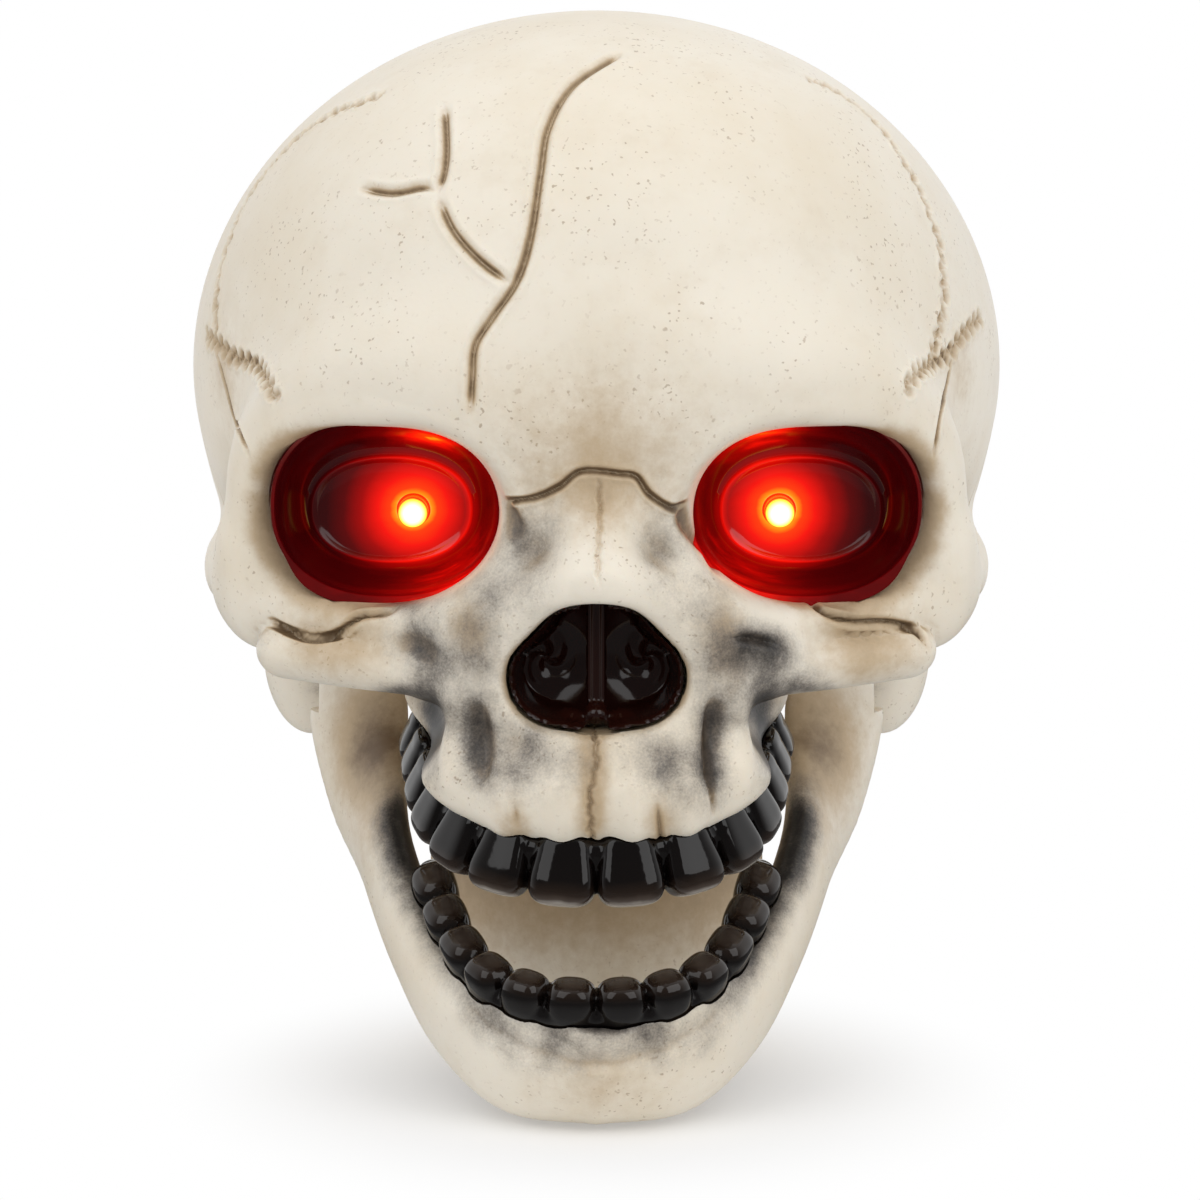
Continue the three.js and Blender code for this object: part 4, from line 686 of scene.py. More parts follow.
@dataclass(frozen=True)
class Line:
    """A line on a surface."""

    points: tuple
    drawn: Drawn = Drawn.PHOTO
    course: Course = Course.SMOOTH
    swing: float = 0.7
    period: float = 3.2

    def route(self, surface: Surface) -> Points:
        """The line as closely spaced points on the surface."""
        given = np.asarray(self.points, float)
        total = np.linalg.norm(np.diff(given, axis=0), axis=1).sum()
        spacing = PIXEL_SPACING if self.drawn is Drawn.PHOTO else POINT_SPACING
        line = flow(given, np.linspace(0, 1, max(2, int(total / spacing))))
        if self.drawn is Drawn.MODEL:
            return surface.nearest(line)
        line = surface.seen_at(line)
        if self.course is Course.SMOOTH:
            return line
        line = evenly(line, self.period / WAVE_POINTS)
        return surface.nearest(zigzag(line, surface.facing(line), self.swing, self.period))


class Route:
    """A line laid on a surface, ready to be measured from."""

    def __init__(self, line: Line, surface: Surface):
        """Lays the line on the surface."""
        self.points = line.route(surface)
        self.run = np.concatenate([[0], np.cumsum(np.linalg.norm(np.diff(self.points, axis=0), axis=1))])

    def measure(self, p: Points, reach: float) -> tuple[Values, Values, Values]:
        """Finds the points within reach of the line.

        Args:
            p: the points.
            reach: the farthest distance of interest.

        Returns:
            Their row numbers, their distances from the line and how far along it they lie.
        """
        low = self.points.min(0) - reach
        high = self.points.max(0) + reach
        rows = np.flatnonzero(np.all((p > low) & (p < high), axis=1))
        start = self.points[:-1]
        way = self.points[1:] - start
        size = np.maximum(np.einsum("ij,ij->i", way, way), TINY)
        found, gaps, alongs = [], [], []
        for part in np.array_split(rows, max(1, len(rows) // 20000)):
            rel = p[part][:, None, :] - start[None]
            u = np.clip(np.einsum("nkj,kj->nk", rel, way) / size, 0, 1)
            gap = np.linalg.norm(rel - u[..., None] * way[None], axis=2)
            best = gap.argmin(1)
            row = np.arange(len(part))
            good = gap[row, best] < reach
            found.append(part[good])
            gaps.append(gap[row, best][good])
            along = self.run[best] + u[row, best] * np.sqrt(size[best])
            alongs.append(along[good])
        return np.concatenate(found), np.concatenate(gaps), np.concatenate(alongs)


@dataclass(frozen=True)
class Groove:
    """A line pressed into a surface, with slightly raised lips and dirt in it."""

    line: Line
    half_width: float = 0.75
    depth: float = 0.9
    lip: float = 0.12
    dirt: float = 1.0
    fade: float = 3.0
    reach: float = 3.2
    bead_pace: float = 1.55
    bead_drift: float = 0.7
    bead_floor: float = 0.45
    def press(self, p: Points, route: Route) -> tuple[Values, Values]:
        """How deep and how dirty the surface is.

        Args:
            p: points of the surface.
            route: the groove's line on that surface.

        Returns:
            Depth and dirt for each point.
        """
        depth = np.zeros(len(p), np.float32)
        dirt = np.zeros(len(p), np.float32)
        w = self.half_width
        rows, gap, along = route.measure(p, w * self.reach)
        ends = np.minimum(along, route.run[-1] - along)
        share = ease(ends, -0.4, self.fade)
        if self.line.course is Course.BEADED:
            beads = np.sin(along * self.bead_pace) + 0.35 * np.sin(along * self.bead_drift + 1)
            share = share * (self.bead_floor + (1 - self.bead_floor) * ease(beads, -0.3, 0.6))
        depth[rows] = share * self.depth * np.exp(-((gap / (w * 0.7)) ** 1.4))
        depth[rows] -= share * self.lip * bell(gap - w * 1.7, w * 0.6)
        dirt[rows] = share * self.dirt * (0.7 * bell(gap, w * 0.5) + 0.3 * bell(gap, w * 1.4))
        return depth, dirt


@dataclass(frozen=True)
class Bump:
    """A soft swelling, or a dent where its height is less than 0."""

    at: tuple
    radius: float
    height: float
    drawn: Drawn = Drawn.PHOTO
    stretch: Triple = (1.0, 1.0, 1.0)

    def rise(self, p: Points, surface: Surface) -> Values:
        """How far the surface rises at the points p."""
        find = surface.seen_at if self.drawn is Drawn.PHOTO else surface.nearest
        centre = find(np.array([self.at], float))[0]
        q = (p - centre) / (self.radius * np.asarray(self.stretch, np.float32))
        return self.height * np.exp(-np.einsum("ij,ij->i", q, q))


@dataclass(frozen=True)
class Ridge:
    """A soft swelling along a line, or a valley where its height is less than 0."""

    line: Line
    width: float
    height: float
    fade: float = 3.0

    def rise(self, p: Points, surface: Surface) -> Values:
        """How far the surface rises at the points p."""
        out = np.zeros(len(p), np.float32)
        route = Route(self.line, surface)
        rows, gap, along = route.measure(p, self.width * SOFT_REACH)
        ends = np.minimum(along, route.run[-1] - along)
        out[rows] = self.height * ease(ends, -self.width, self.fade) * bell(gap, self.width)
        return out


@dataclass(frozen=True)
class Stroke:
    """A soft stroke of airbrushed paint; some are stains and dirt, some painted shade."""

    line: Line
    width: float
    strength: float
    tone: Tone = Tone.SMOKE
    end_share: float = 0.45

    def cover(self, p: Points, surface: Surface) -> Values:
        """How much paint lies on the points p."""
        out = np.zeros(len(p), np.float32)
        route = Route(self.line, surface)
        rows, gap, along = route.measure(p, self.width * SOFT_REACH)
        ends = np.minimum(along, route.run[-1] - along)
        share = np.minimum(1.0, self.end_share + (1 - self.end_share) * ends / self.width)
        out[rows] = self.strength * share * bell(gap, self.width)
        return out


def shelter(form: Field, p: Points, n: Values, reaches: Sequence[float] = (1.5, 4.0, 9.0)) -> Values:
    """How closed in the points of a surface are.

    Args:
        form: the field of the surface.
        p: points on it.
        n: normals there.
        reaches: how far out the field is read.

    Returns:
        From 0, open, to 1, deep in a hollow.
    """
    total = np.zeros(len(p), np.float32)
    for reach in reaches:
        total += 1 - np.clip(form((p + n * reach).astype(np.float32)) / reach, 0, 1)
    return total / len(reaches)


def refine(obj: Obj, routes: Sequence[tuple[Route, float]]) -> None:
    """Halves the faces near some lines.

    Args:
        obj: the object.
        routes: the lines and how far from each the faces are split.
    """
    p = places(obj)
    near = np.zeros(len(p), bool)
    for route, reach in routes:
        near[route.measure(p, reach)[0]] = True
    bm = bmesh.new()
    bm.from_mesh(obj.data)
    bm.verts.ensure_lookup_table()
    edges = [e for e in bm.edges if near[e.verts[0].index] and near[e.verts[1].index]]
    bmesh.ops.subdivide_edges(bm, edges=edges, cuts=1, use_grid_fill=True)
    bm.to_mesh(obj.data)
    bm.free()


# Bones


@dataclass
class SkullForm:
    """The bones of the skull, right half; the left half is the mirror image."""

    wall: float = 2.2
    face_wall_extra: float = 1.2
    braincase: Field = Ellipsoid((0, 6, 118.5), (69.2, 74, 58.4))
    temples: Field = Ellipsoid((0, 24, 96), (62.5, 50, 43))
    forehead: Field = Ellipsoid((0, -22, 132), (50, 46, 40))
    skull_base: Field = Ellipsoid((0, 24, 78), (40, 36, 20))
    maxilla: Field = Ellipsoid((0, -46, 76), (25.6, 27, 26))
    cheek: Field = Ellipsoid((53, -43, 86.5), (9.5, 9, 10.5))
    mastoid: Field = Ellipsoid((50, 19, 67), (8.5, 10.5, 15))
    orbit: Field = Ellipsoid((33.6, -55, 101.6), (19.1, 17.5, 15.3))
    orbit_front: Field = Ellipsoid((29.4, -68, 102), (14, 14, 12.8))
    nostril: Field = Ellipsoid((6.6, -72, 75.6), (7.8, 20, 7.6))
    nose_top: Field = Ellipsoid((0, -72, 81), (9.5, 20, 8))
    nose_base: Field = Ellipsoid((0, -72, 71.5), (8, 20, 4.4))
    gum_hollow: Field = Ellipsoid((35.6, -57, 68.5), (11.6, 17, 10.5))
    crease: float = 0.9
    bar_root: float = 6.5
    brow_ridge: Field = Sweep([
        (0, -64.5, 113, 6.5, 7), (12, -65, 116, 6, 7), (28, -63.5, 121.5, 5.5, 7),
        (42, -57.5, 119.5, 5.5, 6.5), (53, -48.5, 109, 5.5, 5.5), (55.5, -45, 96, 5.5, 5.5),
    ], (0, 1, 0))
    cheek_under: Field = Sweep([
        (46, -51, 84, 6, 5.5), (33, -57.5, 83, 5.5, 5), (22, -62.5, 85, 5.5, 5),
    ], (0, 1, 0))
    cheek_bar: Field = Sweep([
        (50, -49.5, 77.3, 6.8, 5.0), (40, -55, 76.4, 6.4, 4.7), (28, -60, 76, 6, 5.0),
    ], (0, 1, 0))
    cheek_arch: Field = Sweep([
        (58, -40, 88, 4.5, 6), (62, -22, 86, 3.6, 5), (62.5, -4, 87, 3.8, 5), (58, 12, 90, 5, 6),
    ], (1, 0, 0))
    nose_bridge: Field = Sweep([
        (0, -62, 110, 8.5, 6.5), (0, -69.5, 101, 6.5, 6), (0, -75.5, 92, 7, 5),
    ], (1, 0, 0))
    nose_side: Field = Sweep([
        (9, -62, 110, 5.5, 6), (12, -64, 98, 6, 5.5), (18, -65, 86, 6, 5.5), (21, -64, 74, 6, 5.5),
    ], (0, 1, 0))
    nose_rim: Field = Sweep([
        (0, -74, 90.5, 4, 4), (9, -72, 88.5, 4, 4), (16, -68.5, 80, 3.8, 3.8),
        (15, -67.5, 70.5, 4, 4), (5, -71, 66, 4, 4), (0, -71.5, 65.5, 4, 4),
    ], (0, 1, 0))
    gum_ridge: Field = Sweep([
        (0, -72.4, 57.6, 5.8, 8.2), (12, -71, 58, 5.8, 8), (21.4, -64, 60.6, 5.4, 7.4),
        (25.2, -52, 64.4, 4.6, 6.4), (26.4, -40, 67.5, 4.2, 5.4), (26.6, -33, 69, 3.8, 5.4),
    ], (0, 1, 0))
    jaw_room: Field = Sweep([
        (45, -18, 44, 11.5, 21), (46, -11, 66, 11.5, 21), (47, -8, 84, 10.5, 16), (50, -12, 98, 6, 12),
    ], (1, 0, 0))

    def vault(self, q: Points) -> Values:
        """Distances from folded points to the braincase with forehead and base."""
        d = blend(self.braincase(q), self.temples(q), 14)
        d = blend(d, self.forehead(q), 24)
        return blend(d, self.skull_base(q), 10)

    def nose_hole(self, q: Points) -> Values:
        """Distances from folded points to the nose opening."""
        return blend(blend(self.nostril(q), self.nose_top(q), 3), self.nose_base(q), 2)

    def sockets(self, q: Points) -> Values:
        """Distances from folded points to the eye sockets."""
        return blend(self.orbit(q), self.orbit_front(q), 3)

    def face(self, p: Points) -> Values:
        """Distances from points to the outer form without its nose opening."""
        q = folded(p)
        d = blend(self.vault(q), self.maxilla(q), 10)
        d = blend(d, self.brow_ridge(q), 14)
        d = carve(d, self.jaw_room(q), 8)
        d = blend(d, self.cheek(q), 8)
        d = blend(d, self.cheek_under(q), 6)
        d = blend(d, self.nose_side(q), 8)
        d = blend(d, self.nose_bridge(q), 6)
        d = blend(d, self.gum_ridge(q), 6)
        d = blend(d, self.nose_rim(q), 5)
        d = carve(d, self.sockets(q), 5)
        d = carve(d, self.gum_hollow(q), 5)
        d = blend(d, self.cheek_bar(q), self.crease + self.bar_root * ease(42 - q[:, 0], 0.0, 14.0))
        d = blend(d, self.cheek_arch(q), 4)
        return blend(d, self.mastoid(q), 8)

    def outside(self, p: Points) -> Values:
        """Distances from points to the whole outer form."""
        return carve(self.face(p), self.nose_hole(folded(p)), 2)

    def hollow(self, p: Points) -> Values:
        """Distances from points to the room inside the skull."""
        q = folded(p)
        return np.maximum(self.vault(q) + self.wall, self.outside(q) + self.wall + self.face_wall_extra)


FORM = SkullForm()


@dataclass(frozen=True)
class Tooth:
    """A rounded block, narrow at the gum and wide at the tip."""

    root: Points
    across: Points
    way: Points
    half: float
    length: float
    thick: float
    neck: float
    tip: float
    square: float
    sink: float
    over: float = 1.7
    face_root: float = 0.86
    back_share: float = 0.8

    @property
    def outward(self) -> Values:
        """The direction that the tooth's face looks in."""
        out = np.cross(self.across, self.way)
        return out if out[1] < 0 or (abs(out[1]) < 0.2 and out[0] > 0) else -out

    def local(self, p: Points) -> tuple[Values, Values, Values]:
        """Places of points across the tooth, outwards and along it."""
        rel = p - self.root.astype(np.float32)
        return tuple(rel @ axis.astype(np.float32) for axis in (self.across, self.outward, self.way))

    def __call__(self, p: Points) -> Values:
        """Distances from points to the tooth."""
        s, o, h = self.local(p)
        u = np.clip(h / self.length, 0, 1)
        width = self.half * (self.neck + (self.tip - self.neck) * ease(u, -0.2, 0.85))
        front = self.face_root + (1 - self.face_root) * u
        deep = self.thick * np.where(o > 0, front, self.back_share)
        low, high = -self.sink, self.length + self.over
        tall = (high - low) / 2
        parts = (np.abs(s) / width, np.abs(o) / deep, np.abs(h - low - tall) / tall)
        size = sum(part ** self.square for part in parts) ** (1 / self.square)
        return (size - 1) * np.minimum(np.minimum(width, deep), tall)


@dataclass
class ToothRow:
    """A strip of teeth on a gum band along an arch."""

    arch: tuple
    lean: Pair
    edges: tuple
    lengths: tuple
    gum_thick: float
    gum_tall: float
    tooth_thick: float
    neck: float = 0.92
    tip: float = 1.12
    square: float = 3.6
    sink: float = 3.4
    backing: tuple = (3.0, 0.2, 3.4, 1.9)

    def __post_init__(self) -> None:
        """Lays the gum and the teeth out."""
        samples, links = 400, 9
        arch = np.array(self.arch)
        t = np.linspace(0, 1, samples)
        curve = flow(arch, t)
        last = t[np.searchsorted(curve[:, 0], self.edges[-1])]
        band = flow(arch, np.linspace(0, last, links))
        self.gum = Sweep([(*p, self.gum_tall, self.gum_thick) for p in band], (0, 0, 1), 2)
        down, back, tall, thick = self.backing
        behind = []
        for p in flow(arch, np.linspace(0, last * 0.97, links)):
            behind.append((p[0] * (1 - back / 60), p[1] + back, p[2] + self.lean[1] * down, tall, thick))
        self.plate = Sweep(behind, (0, 0, 1), 2)
        self.teeth = []
        for left, right, length in zip(self.edges, self.edges[1:], self.lengths):
            u0, u1 = (t[min(samples - 1, np.searchsorted(curve[:, 0], x))] for x in (left, right))
            a, root, b = flow(arch, np.array([u0, (u0 + u1) / 2, u1]))
            across = b - a
            half = np.linalg.norm(across) / 2
            across /= np.linalg.norm(across)
            out = np.array((across[1], -across[0], 0))
            out *= np.sign(out[0] - out[1]) / np.linalg.norm(out)
            way = np.array((0, 0, self.lean[1])) + out * self.lean[0]
            way -= across * (way @ across)
            way /= np.linalg.norm(way)
            self.teeth.append(Tooth(root, across, way, half, length, self.tooth_thick, self.neck, self.tip,
                                    self.square, self.sink))

    def __call__(self, p: Points) -> Values:
        """Distances from points to the strip."""
        q = folded(p)
        d = blend(self.gum(q), self.plate(q), 1.0)
        for tooth in self.teeth:
            d = blend(d, tooth(q), 0.35)
        return d

    def reach(self, p: Points) -> Values:
        """How far points lie towards the tooth tips, from 0 at the gum to 1."""
        q = folded(p)
        out = np.zeros(len(q), np.float32)
        best = np.full(len(q), FAR)
        for tooth in self.teeth:
            s, _, h = tooth.local(q)
            side = np.abs(s) / tooth.half
            out = np.where(side < best, h / (tooth.length + tooth.over), out)
            best = np.minimum(best, side)
        return np.clip(out, 0, 1)


UPPER_ROW = ToothRow(
    arch=((0, -74, 47.6), (10, -72.6, 48.1), (18, -68, 49.8), (23.3, -60.5, 52.4),
          (25.8, -52, 55.6), (27, -44.5, 58.6), (27.8, -38, 61), (28.4, -32, 63)),
    lean=(0.26, -1),
    edges=(0, 9.8, 17.6, 22.7, 25.4, 26.75, 27.65, 28.3),
    lengths=(7, 6.6, 6.1, 5.5, 5.2, 4.9, 4.4),
    gum_thick=2.3,
    gum_tall=2.6,
    tooth_thick=4.0,
)
LOWER_ROW = ToothRow(
    arch=((0, -71, 20.8), (8, -70.2, 21.2), (14.7, -66.5, 22.8), (19.4, -60.5, 25.6),
          (22.9, -53, 29.4), (25.3, -45.5, 33.6), (27.3, -38, 38.2), (29, -30, 43)),
    lean=(0.3, 1),
    edges=(0, 7.8, 14.3, 19.1, 22.6, 25, 27),
    lengths=(4.4, 4.4, 4, 3.6, 3.5, 3.3),
    gum_thick=2.9,
    gum_tall=2.8,
    tooth_thick=4.2,
    neck=1.0,
    tip=1.06,
    square=2.7,
    sink=2.4,
    backing=(0.6, 0.6, 3.0, 2.0),
)


@dataclass
class JawForm:
    """The jaw bone, a U swept from the chin up to the hinge."""

    lean: Triple = (0, -0.6, 0.8)
    stations: tuple = (
        (0, -65.2, 10.6, 11.4, 6.8), (13, -62, 11.4, 11.4, 6.4), (22.5, -53, 16.8, 10.2, 5.6),
        (29.5, -41, 26, 9, 5), (35, -28.5, 37.6, 9.4, 4.4, (-0.12, -0.62, 0.76)),
        (38.8, -16.6, 50, 11, 4.1, (-0.55, -0.66, 0.5)), (40.8, -9.8, 62, 10.9, 3.9, (-0.75, -0.65, 0.2)),
        (43.5, -2, 78, 6.5, 4, (-0.3, -0.95, 0)),
    )

    def __post_init__(self) -> None:
        """Lays the bone out."""
        self.bone = Sweep([s if len(s) > 5 else (*s, self.lean) for s in self.stations], self.lean, 6)

    def __call__(self, p: Points) -> Values:
        """Distances from points to the bone."""
        return self.bone(folded(p))


JAW_FORM = JawForm()


# Node trees


class Tree:
    """A shader node tree with short calls to add and join nodes."""

    MIX_INPUTS = (0, 6, 7)

    def __init__(self, tree: NodeTree):
        """Starts from an empty tree."""
        self.tree = tree
        tree.nodes.clear()

    def add(self, kind: str, **values: Feed | str) -> Node:
        """Adds a node.

        Args:
            kind: Blender's name of the node type.
            **values: settings of the node, or values and links of its inputs by name.

        Returns:
            The node.
        """
        node = self.tree.nodes.new(kind)
        for name, value in values.items():
            if hasattr(node, name) and name not in node.inputs:
                setattr(node, name, value)
        for name, value in values.items():
            key = name.replace("_", " ")
            if key in node.inputs:
                self.give(node.inputs[key], value)
        return node

    def give(self, socket: Socket, value: Feed) -> None:
        """Joins a socket to another one, or sets its value."""
        if isinstance(value, Socket):
            self.tree.links.new(value, socket)
        elif isinstance(value, tuple) and len(value) == 3 and socket.type == "RGBA":
            socket.default_value = (*value, 1)
        else:
            socket.default_value = value

    def set(self, node: Node, **values: Feed) -> Node:
        """Gives values to inputs of a node by name, with _ for a space."""
        for name, value in values.items():
            self.give(node.inputs[name.replace("_", " ")], value)
        return node

    def maths(self, how: str, a: Feed, b: Feed, clamp: bool = False) -> Socket:
        """The result of a sum on two numbers."""
        node = self.add("ShaderNodeMath", operation=how, use_clamp=clamp)
        self.give(node.inputs[0], a)
        self.give(node.inputs[1], b)
        return node.outputs[0]

    def times(self, a: Feed, b: Feed) -> Socket:
        """The product of two numbers."""
        return self.maths("MULTIPLY", a, b)

    def plus(self, a: Feed, b: Feed, clamp: bool = False) -> Socket:
        """The sum of two numbers, kept between 0 and 1 if clamp is set."""
        return self.maths("ADD", a, b, clamp)

    def swing(self, pattern: Feed, size: Feed) -> Socket:
        """A pattern from 0 to 1 that swings about 0 instead, by a size."""
        return self.times(self.maths("SUBTRACT", pattern, 0.5), size)

    def vector(self, how: str, *given: Feed) -> Node:
        """A node that works on vectors."""
        node = self.add("ShaderNodeVectorMath", operation=how)
        for socket, value in zip(node.inputs, given):
            self.give(socket, value)
        return node

    def mix(self, share: Feed, a: Feed, b: Feed) -> Socket:
        """Colour b laid over colour a by a share."""
        node = self.add("ShaderNodeMix", data_type="RGBA")
        for number, value in zip(self.MIX_INPUTS, (share, a, b)):
            self.give(node.inputs[number], value)
        return node.outputs[2]

    def noise(
        self, scale: Feed, detail: float = 3.0, where: Socket | None = None, rough: float = 0.5
    ) -> Socket:
        """A noise pattern in the object's own space; scale counts waves in a metre."""
        node = self.add("ShaderNodeTexNoise", Scale=scale, Detail=detail, Roughness=rough)
        self.set(node, Vector=where or self.add("ShaderNodeTexCoord").outputs["Object"])
        return node.outputs[0]

    def step(self, value: Socket, low: float, high: float, top: float = 1.0) -> Socket:
        """A smooth step of a value from 0 at low to top at high."""
        node = self.add("ShaderNodeMapRange", interpolation_type="SMOOTHSTEP")
        for socket, number in zip(node.inputs, (value, low, high, 0.0, top)):
            self.give(socket, number)
        return node.outputs[0]

    def ramp(self, value: Socket, stops: Sequence[tuple[float, Colour]]) -> Socket:
        """A colour from a value through stops."""
        node = self.tree.nodes.new("ShaderNodeValToRGB")
        self.give(node.inputs[0], value)
        band = node.color_ramp
        while len(band.elements) < len(stops):
            band.elements.new(1.0)
        for element, (place, colour) in zip(band.elements, stops):
            element.position = place
            element.color = (*colour, 1)
        return node.outputs[0]

    def layer(self, name: str) -> Socket:
        """A number stored in the mesh."""
        return self.add("ShaderNodeAttribute", attribute_name=name).outputs["Fac"]

    def group(self, made: NodeTree, **values: Feed) -> Node:
        """Places a node group."""
        node = self.tree.nodes.new("ShaderNodeGroup")
        node.node_tree = made
        return self.set(node, **values)


def new_group(name: str, inputs: dict[str, tuple], outputs: dict[str, str]) -> tuple[Tree, Node, Node]:
    """Starts a shader node group.

    Args:
        name: the group's name.
        inputs: socket type and first value of each named input.
        outputs: socket type of each named output.

    Returns:
        Its tree, its input node and its output node.
    """
    made = bpy.data.node_groups.new(name, "ShaderNodeTree")
    for socket_name, (kind, value) in inputs.items():
        socket = made.interface.new_socket(socket_name, in_out="INPUT", socket_type=kind)
        socket.default_value = value
    for socket_name, kind in outputs.items():
        made.interface.new_socket(socket_name, in_out="OUTPUT", socket_type=kind)
    tree = Tree(made)
    return tree, made.nodes.new("NodeGroupInput"), made.nodes.new("NodeGroupOutput")


FLOAT = "NodeSocketFloat"
RGBA = "NodeSocketColor"


def mould_grain() -> NodeTree:
    """The fine orange-peel of moulded plastic: a height and a roughness that vary."""
    tree, given, out = new_group(
        "mould_grain", {"Scale": (FLOAT, 900.0), "Roughness": (FLOAT, 0.4), "Spread": (FLOAT, 0.1)},
        {"Height": FLOAT, "Roughness": FLOAT},
    )
    shift = tree.swing(tree.noise(60.0), given.outputs["Spread"])
    tree.set(out, Height=tree.noise(given.outputs["Scale"], 2.0),
             Roughness=tree.plus(given.outputs["Roughness"], shift, True))
    return tree.tree


def speckle() -> NodeTree:
    """Small dark specks on a colour, thicker in some places."""
    tree, given, out = new_group(
        "speckle",
        {"Colour": (RGBA, (0.8, 0.8, 0.8, 1)), "Spot": (RGBA, (0.2, 0.1, 0.05, 1)), "Amount": (FLOAT, 0.5)},
        {"Colour": RGBA},
    )
    patches = tree.step(tree.noise(55.0, 4.0), 0.46, 0.68)
    small = tree.step(tree.noise(1250.0, 1.0), 0.66, 0.74)
    large = tree.step(tree.noise(520.0, 2.0), 0.70, 0.76)
    both = tree.maths("MAXIMUM", tree.times(small, tree.plus(patches, 0.22)),
                      tree.times(large, tree.plus(patches, 0.12)), True)
    share = tree.times(both, given.outputs["Amount"])
    tree.set(out, Colour=tree.mix(share, given.outputs["Colour"], given.outputs["Spot"]))
    return tree.tree


def brushed() -> NodeTree:
    """Fine turning marks on metal."""
    tree, given, out = new_group(
        "brushed", {"Roughness": (FLOAT, 0.3)}, {"Height": FLOAT, "Roughness": FLOAT, "Shade": FLOAT},
    )
    broad = tree.noise(140.0)
    tree.set(out, Height=tree.noise(2600.0, 2.0), Shade=tree.times(broad, 0.5),
             Roughness=tree.plus(given.outputs["Roughness"], tree.times(broad, 0.16), True))
    return tree.tree


class Effects:
    """The node groups that the finishes share."""

    grain: NodeTree
    specks: NodeTree
    marks: NodeTree

    @classmethod
    def make(cls) -> None:
        """Builds each group once."""
        cls.grain = mould_grain()
        cls.specks = speckle()
        cls.marks = brushed()


def dent(tree: Tree, shader: Node, height: Socket, strength: float, distance: float) -> None:
    """Gives a shader a bump."""
    bump = tree.add("ShaderNodeBump", Strength=strength, Distance=distance, Height=height)
    tree.set(shader, Normal=bump.outputs[0])


# Finishes


@dataclass(frozen=True)
class Grain:
    """The orange-peel of a moulded surface."""

    scale: float
    spread: float
    strength: float
    distance: float

    def lay(self, tree: Tree, shader: Node, roughness: float) -> None:
        """Gives a shader this grain, and a roughness that varies about the given one."""
        peel = tree.group(Effects.grain, Scale=self.scale, Roughness=roughness, Spread=self.spread)
        tree.set(shader, Roughness=peel.outputs["Roughness"])
        dent(tree, shader, peel.outputs["Height"], self.strength, self.distance)


class Finish:
    """A procedural material with one main shader, which each finish wires in its own way."""

    name: str

    def material(self) -> Material:
        """Builds the material."""
        made = bpy.data.materials.new(self.name)
        made.use_nodes = True
        tree = Tree(made.node_tree)
        shader = tree.add("ShaderNodeBsdfPrincipled")
        tree.add("ShaderNodeOutputMaterial", Surface=shader.outputs[0])
        self.wire(tree, shader)
        return made

    def wire(self, tree: Tree, shader: Node) -> None:
        """Joins up what makes this finish; each one has its own way."""
        raise NotImplementedError


@dataclass(frozen=True)
class BoneFinish(Finish):
    """Cream plastic with airbrushed grey-black stains, brown dirt, fine specks and painted shade in brown and
    grey-black.
    """

    name: str = "aged_bone_plastic"
    pale: Colour = (0.85, 0.785, 0.67)
    warm: Colour = (0.775, 0.68, 0.53)
    blotch: Colour = (0.70, 0.60, 0.46)
    tan: Colour = (0.50, 0.36, 0.205)
    earth: Colour = (0.13, 0.075, 0.034)
    haze: Colour = (0.17, 0.145, 0.125)
    smoke: Colour = (0.012, 0.011, 0.011)
    speck: Colour = (0.30, 0.19, 0.10)
    speck_share: float = 0.55
    roughness: float = 0.4
    soft: float = 0.12
    soft_radius: Triple = (1.0, 0.7, 0.45)
    soft_depth: float = 0.0025
    grain: Grain = Grain(1100.0, 0.16, 0.12, 0.0002)

    def wire(self, tree: Tree, shader: Node) -> None:
        """Lays specks on the cream, then brown dirt with painted shade, then grey-black stains with painted
        shade.
        """
        where = tree.add("ShaderNodeTexCoord").outputs["Object"]
        cloud = tree.step(tree.noise(26.0, 5.0, where, 0.6), 0.35, 0.72)
        base = tree.mix(tree.times(cloud, 0.75), self.pale, self.warm)
        patch = tree.step(tree.noise(95.0, 4.0, where, 0.65), 0.5, 0.75, 0.28)
        base = tree.mix(patch, base, self.blotch)
        spots = tree.group(Effects.specks, Colour=base, Spot=self.speck, Amount=self.speck_share)
        grit = tree.swing(tree.noise(420.0, 4.0, where, 0.7), 0.35)
        # Brown from the mesh: dirt in grooves and painted shade in hollows.
        dirt_and_shade = tree.plus(tree.layer("earth"), grit)
        colour = tree.mix(tree.step(dirt_and_shade, 0.02, 0.5, 0.85), spots.outputs[0], self.tan)
        colour = tree.mix(tree.step(dirt_and_shade, 0.4, 1.0, 0.94), colour, self.earth)
        drift = tree.swing(tree.noise(130.0, 5.0, where, 0.65), 0.8)
        mist = tree.swing(tree.noise(2600.0, 2.0, where, 0.6), 0.3)
        # Grey-black from the mesh: airbrushed stains and painted shade in recesses.
        smoke = tree.layer("smoke")
        spray = tree.times(tree.plus(drift, mist), tree.step(smoke, 0.0, 0.3))
        soot_and_shade = tree.plus(smoke, spray)
        colour = tree.mix(tree.step(soot_and_shade, 0.04, 0.85, 0.88), colour, self.haze)
        colour = tree.mix(tree.step(soot_and_shade, 0.45, 1.05, 0.97), colour, self.smoke)
        tree.set(shader, Base_Color=colour, Subsurface_Weight=self.soft, Subsurface_Radius=self.soft_radius,
                 Subsurface_Scale=self.soft_depth)
        self.grain.lay(tree, shader, self.roughness)


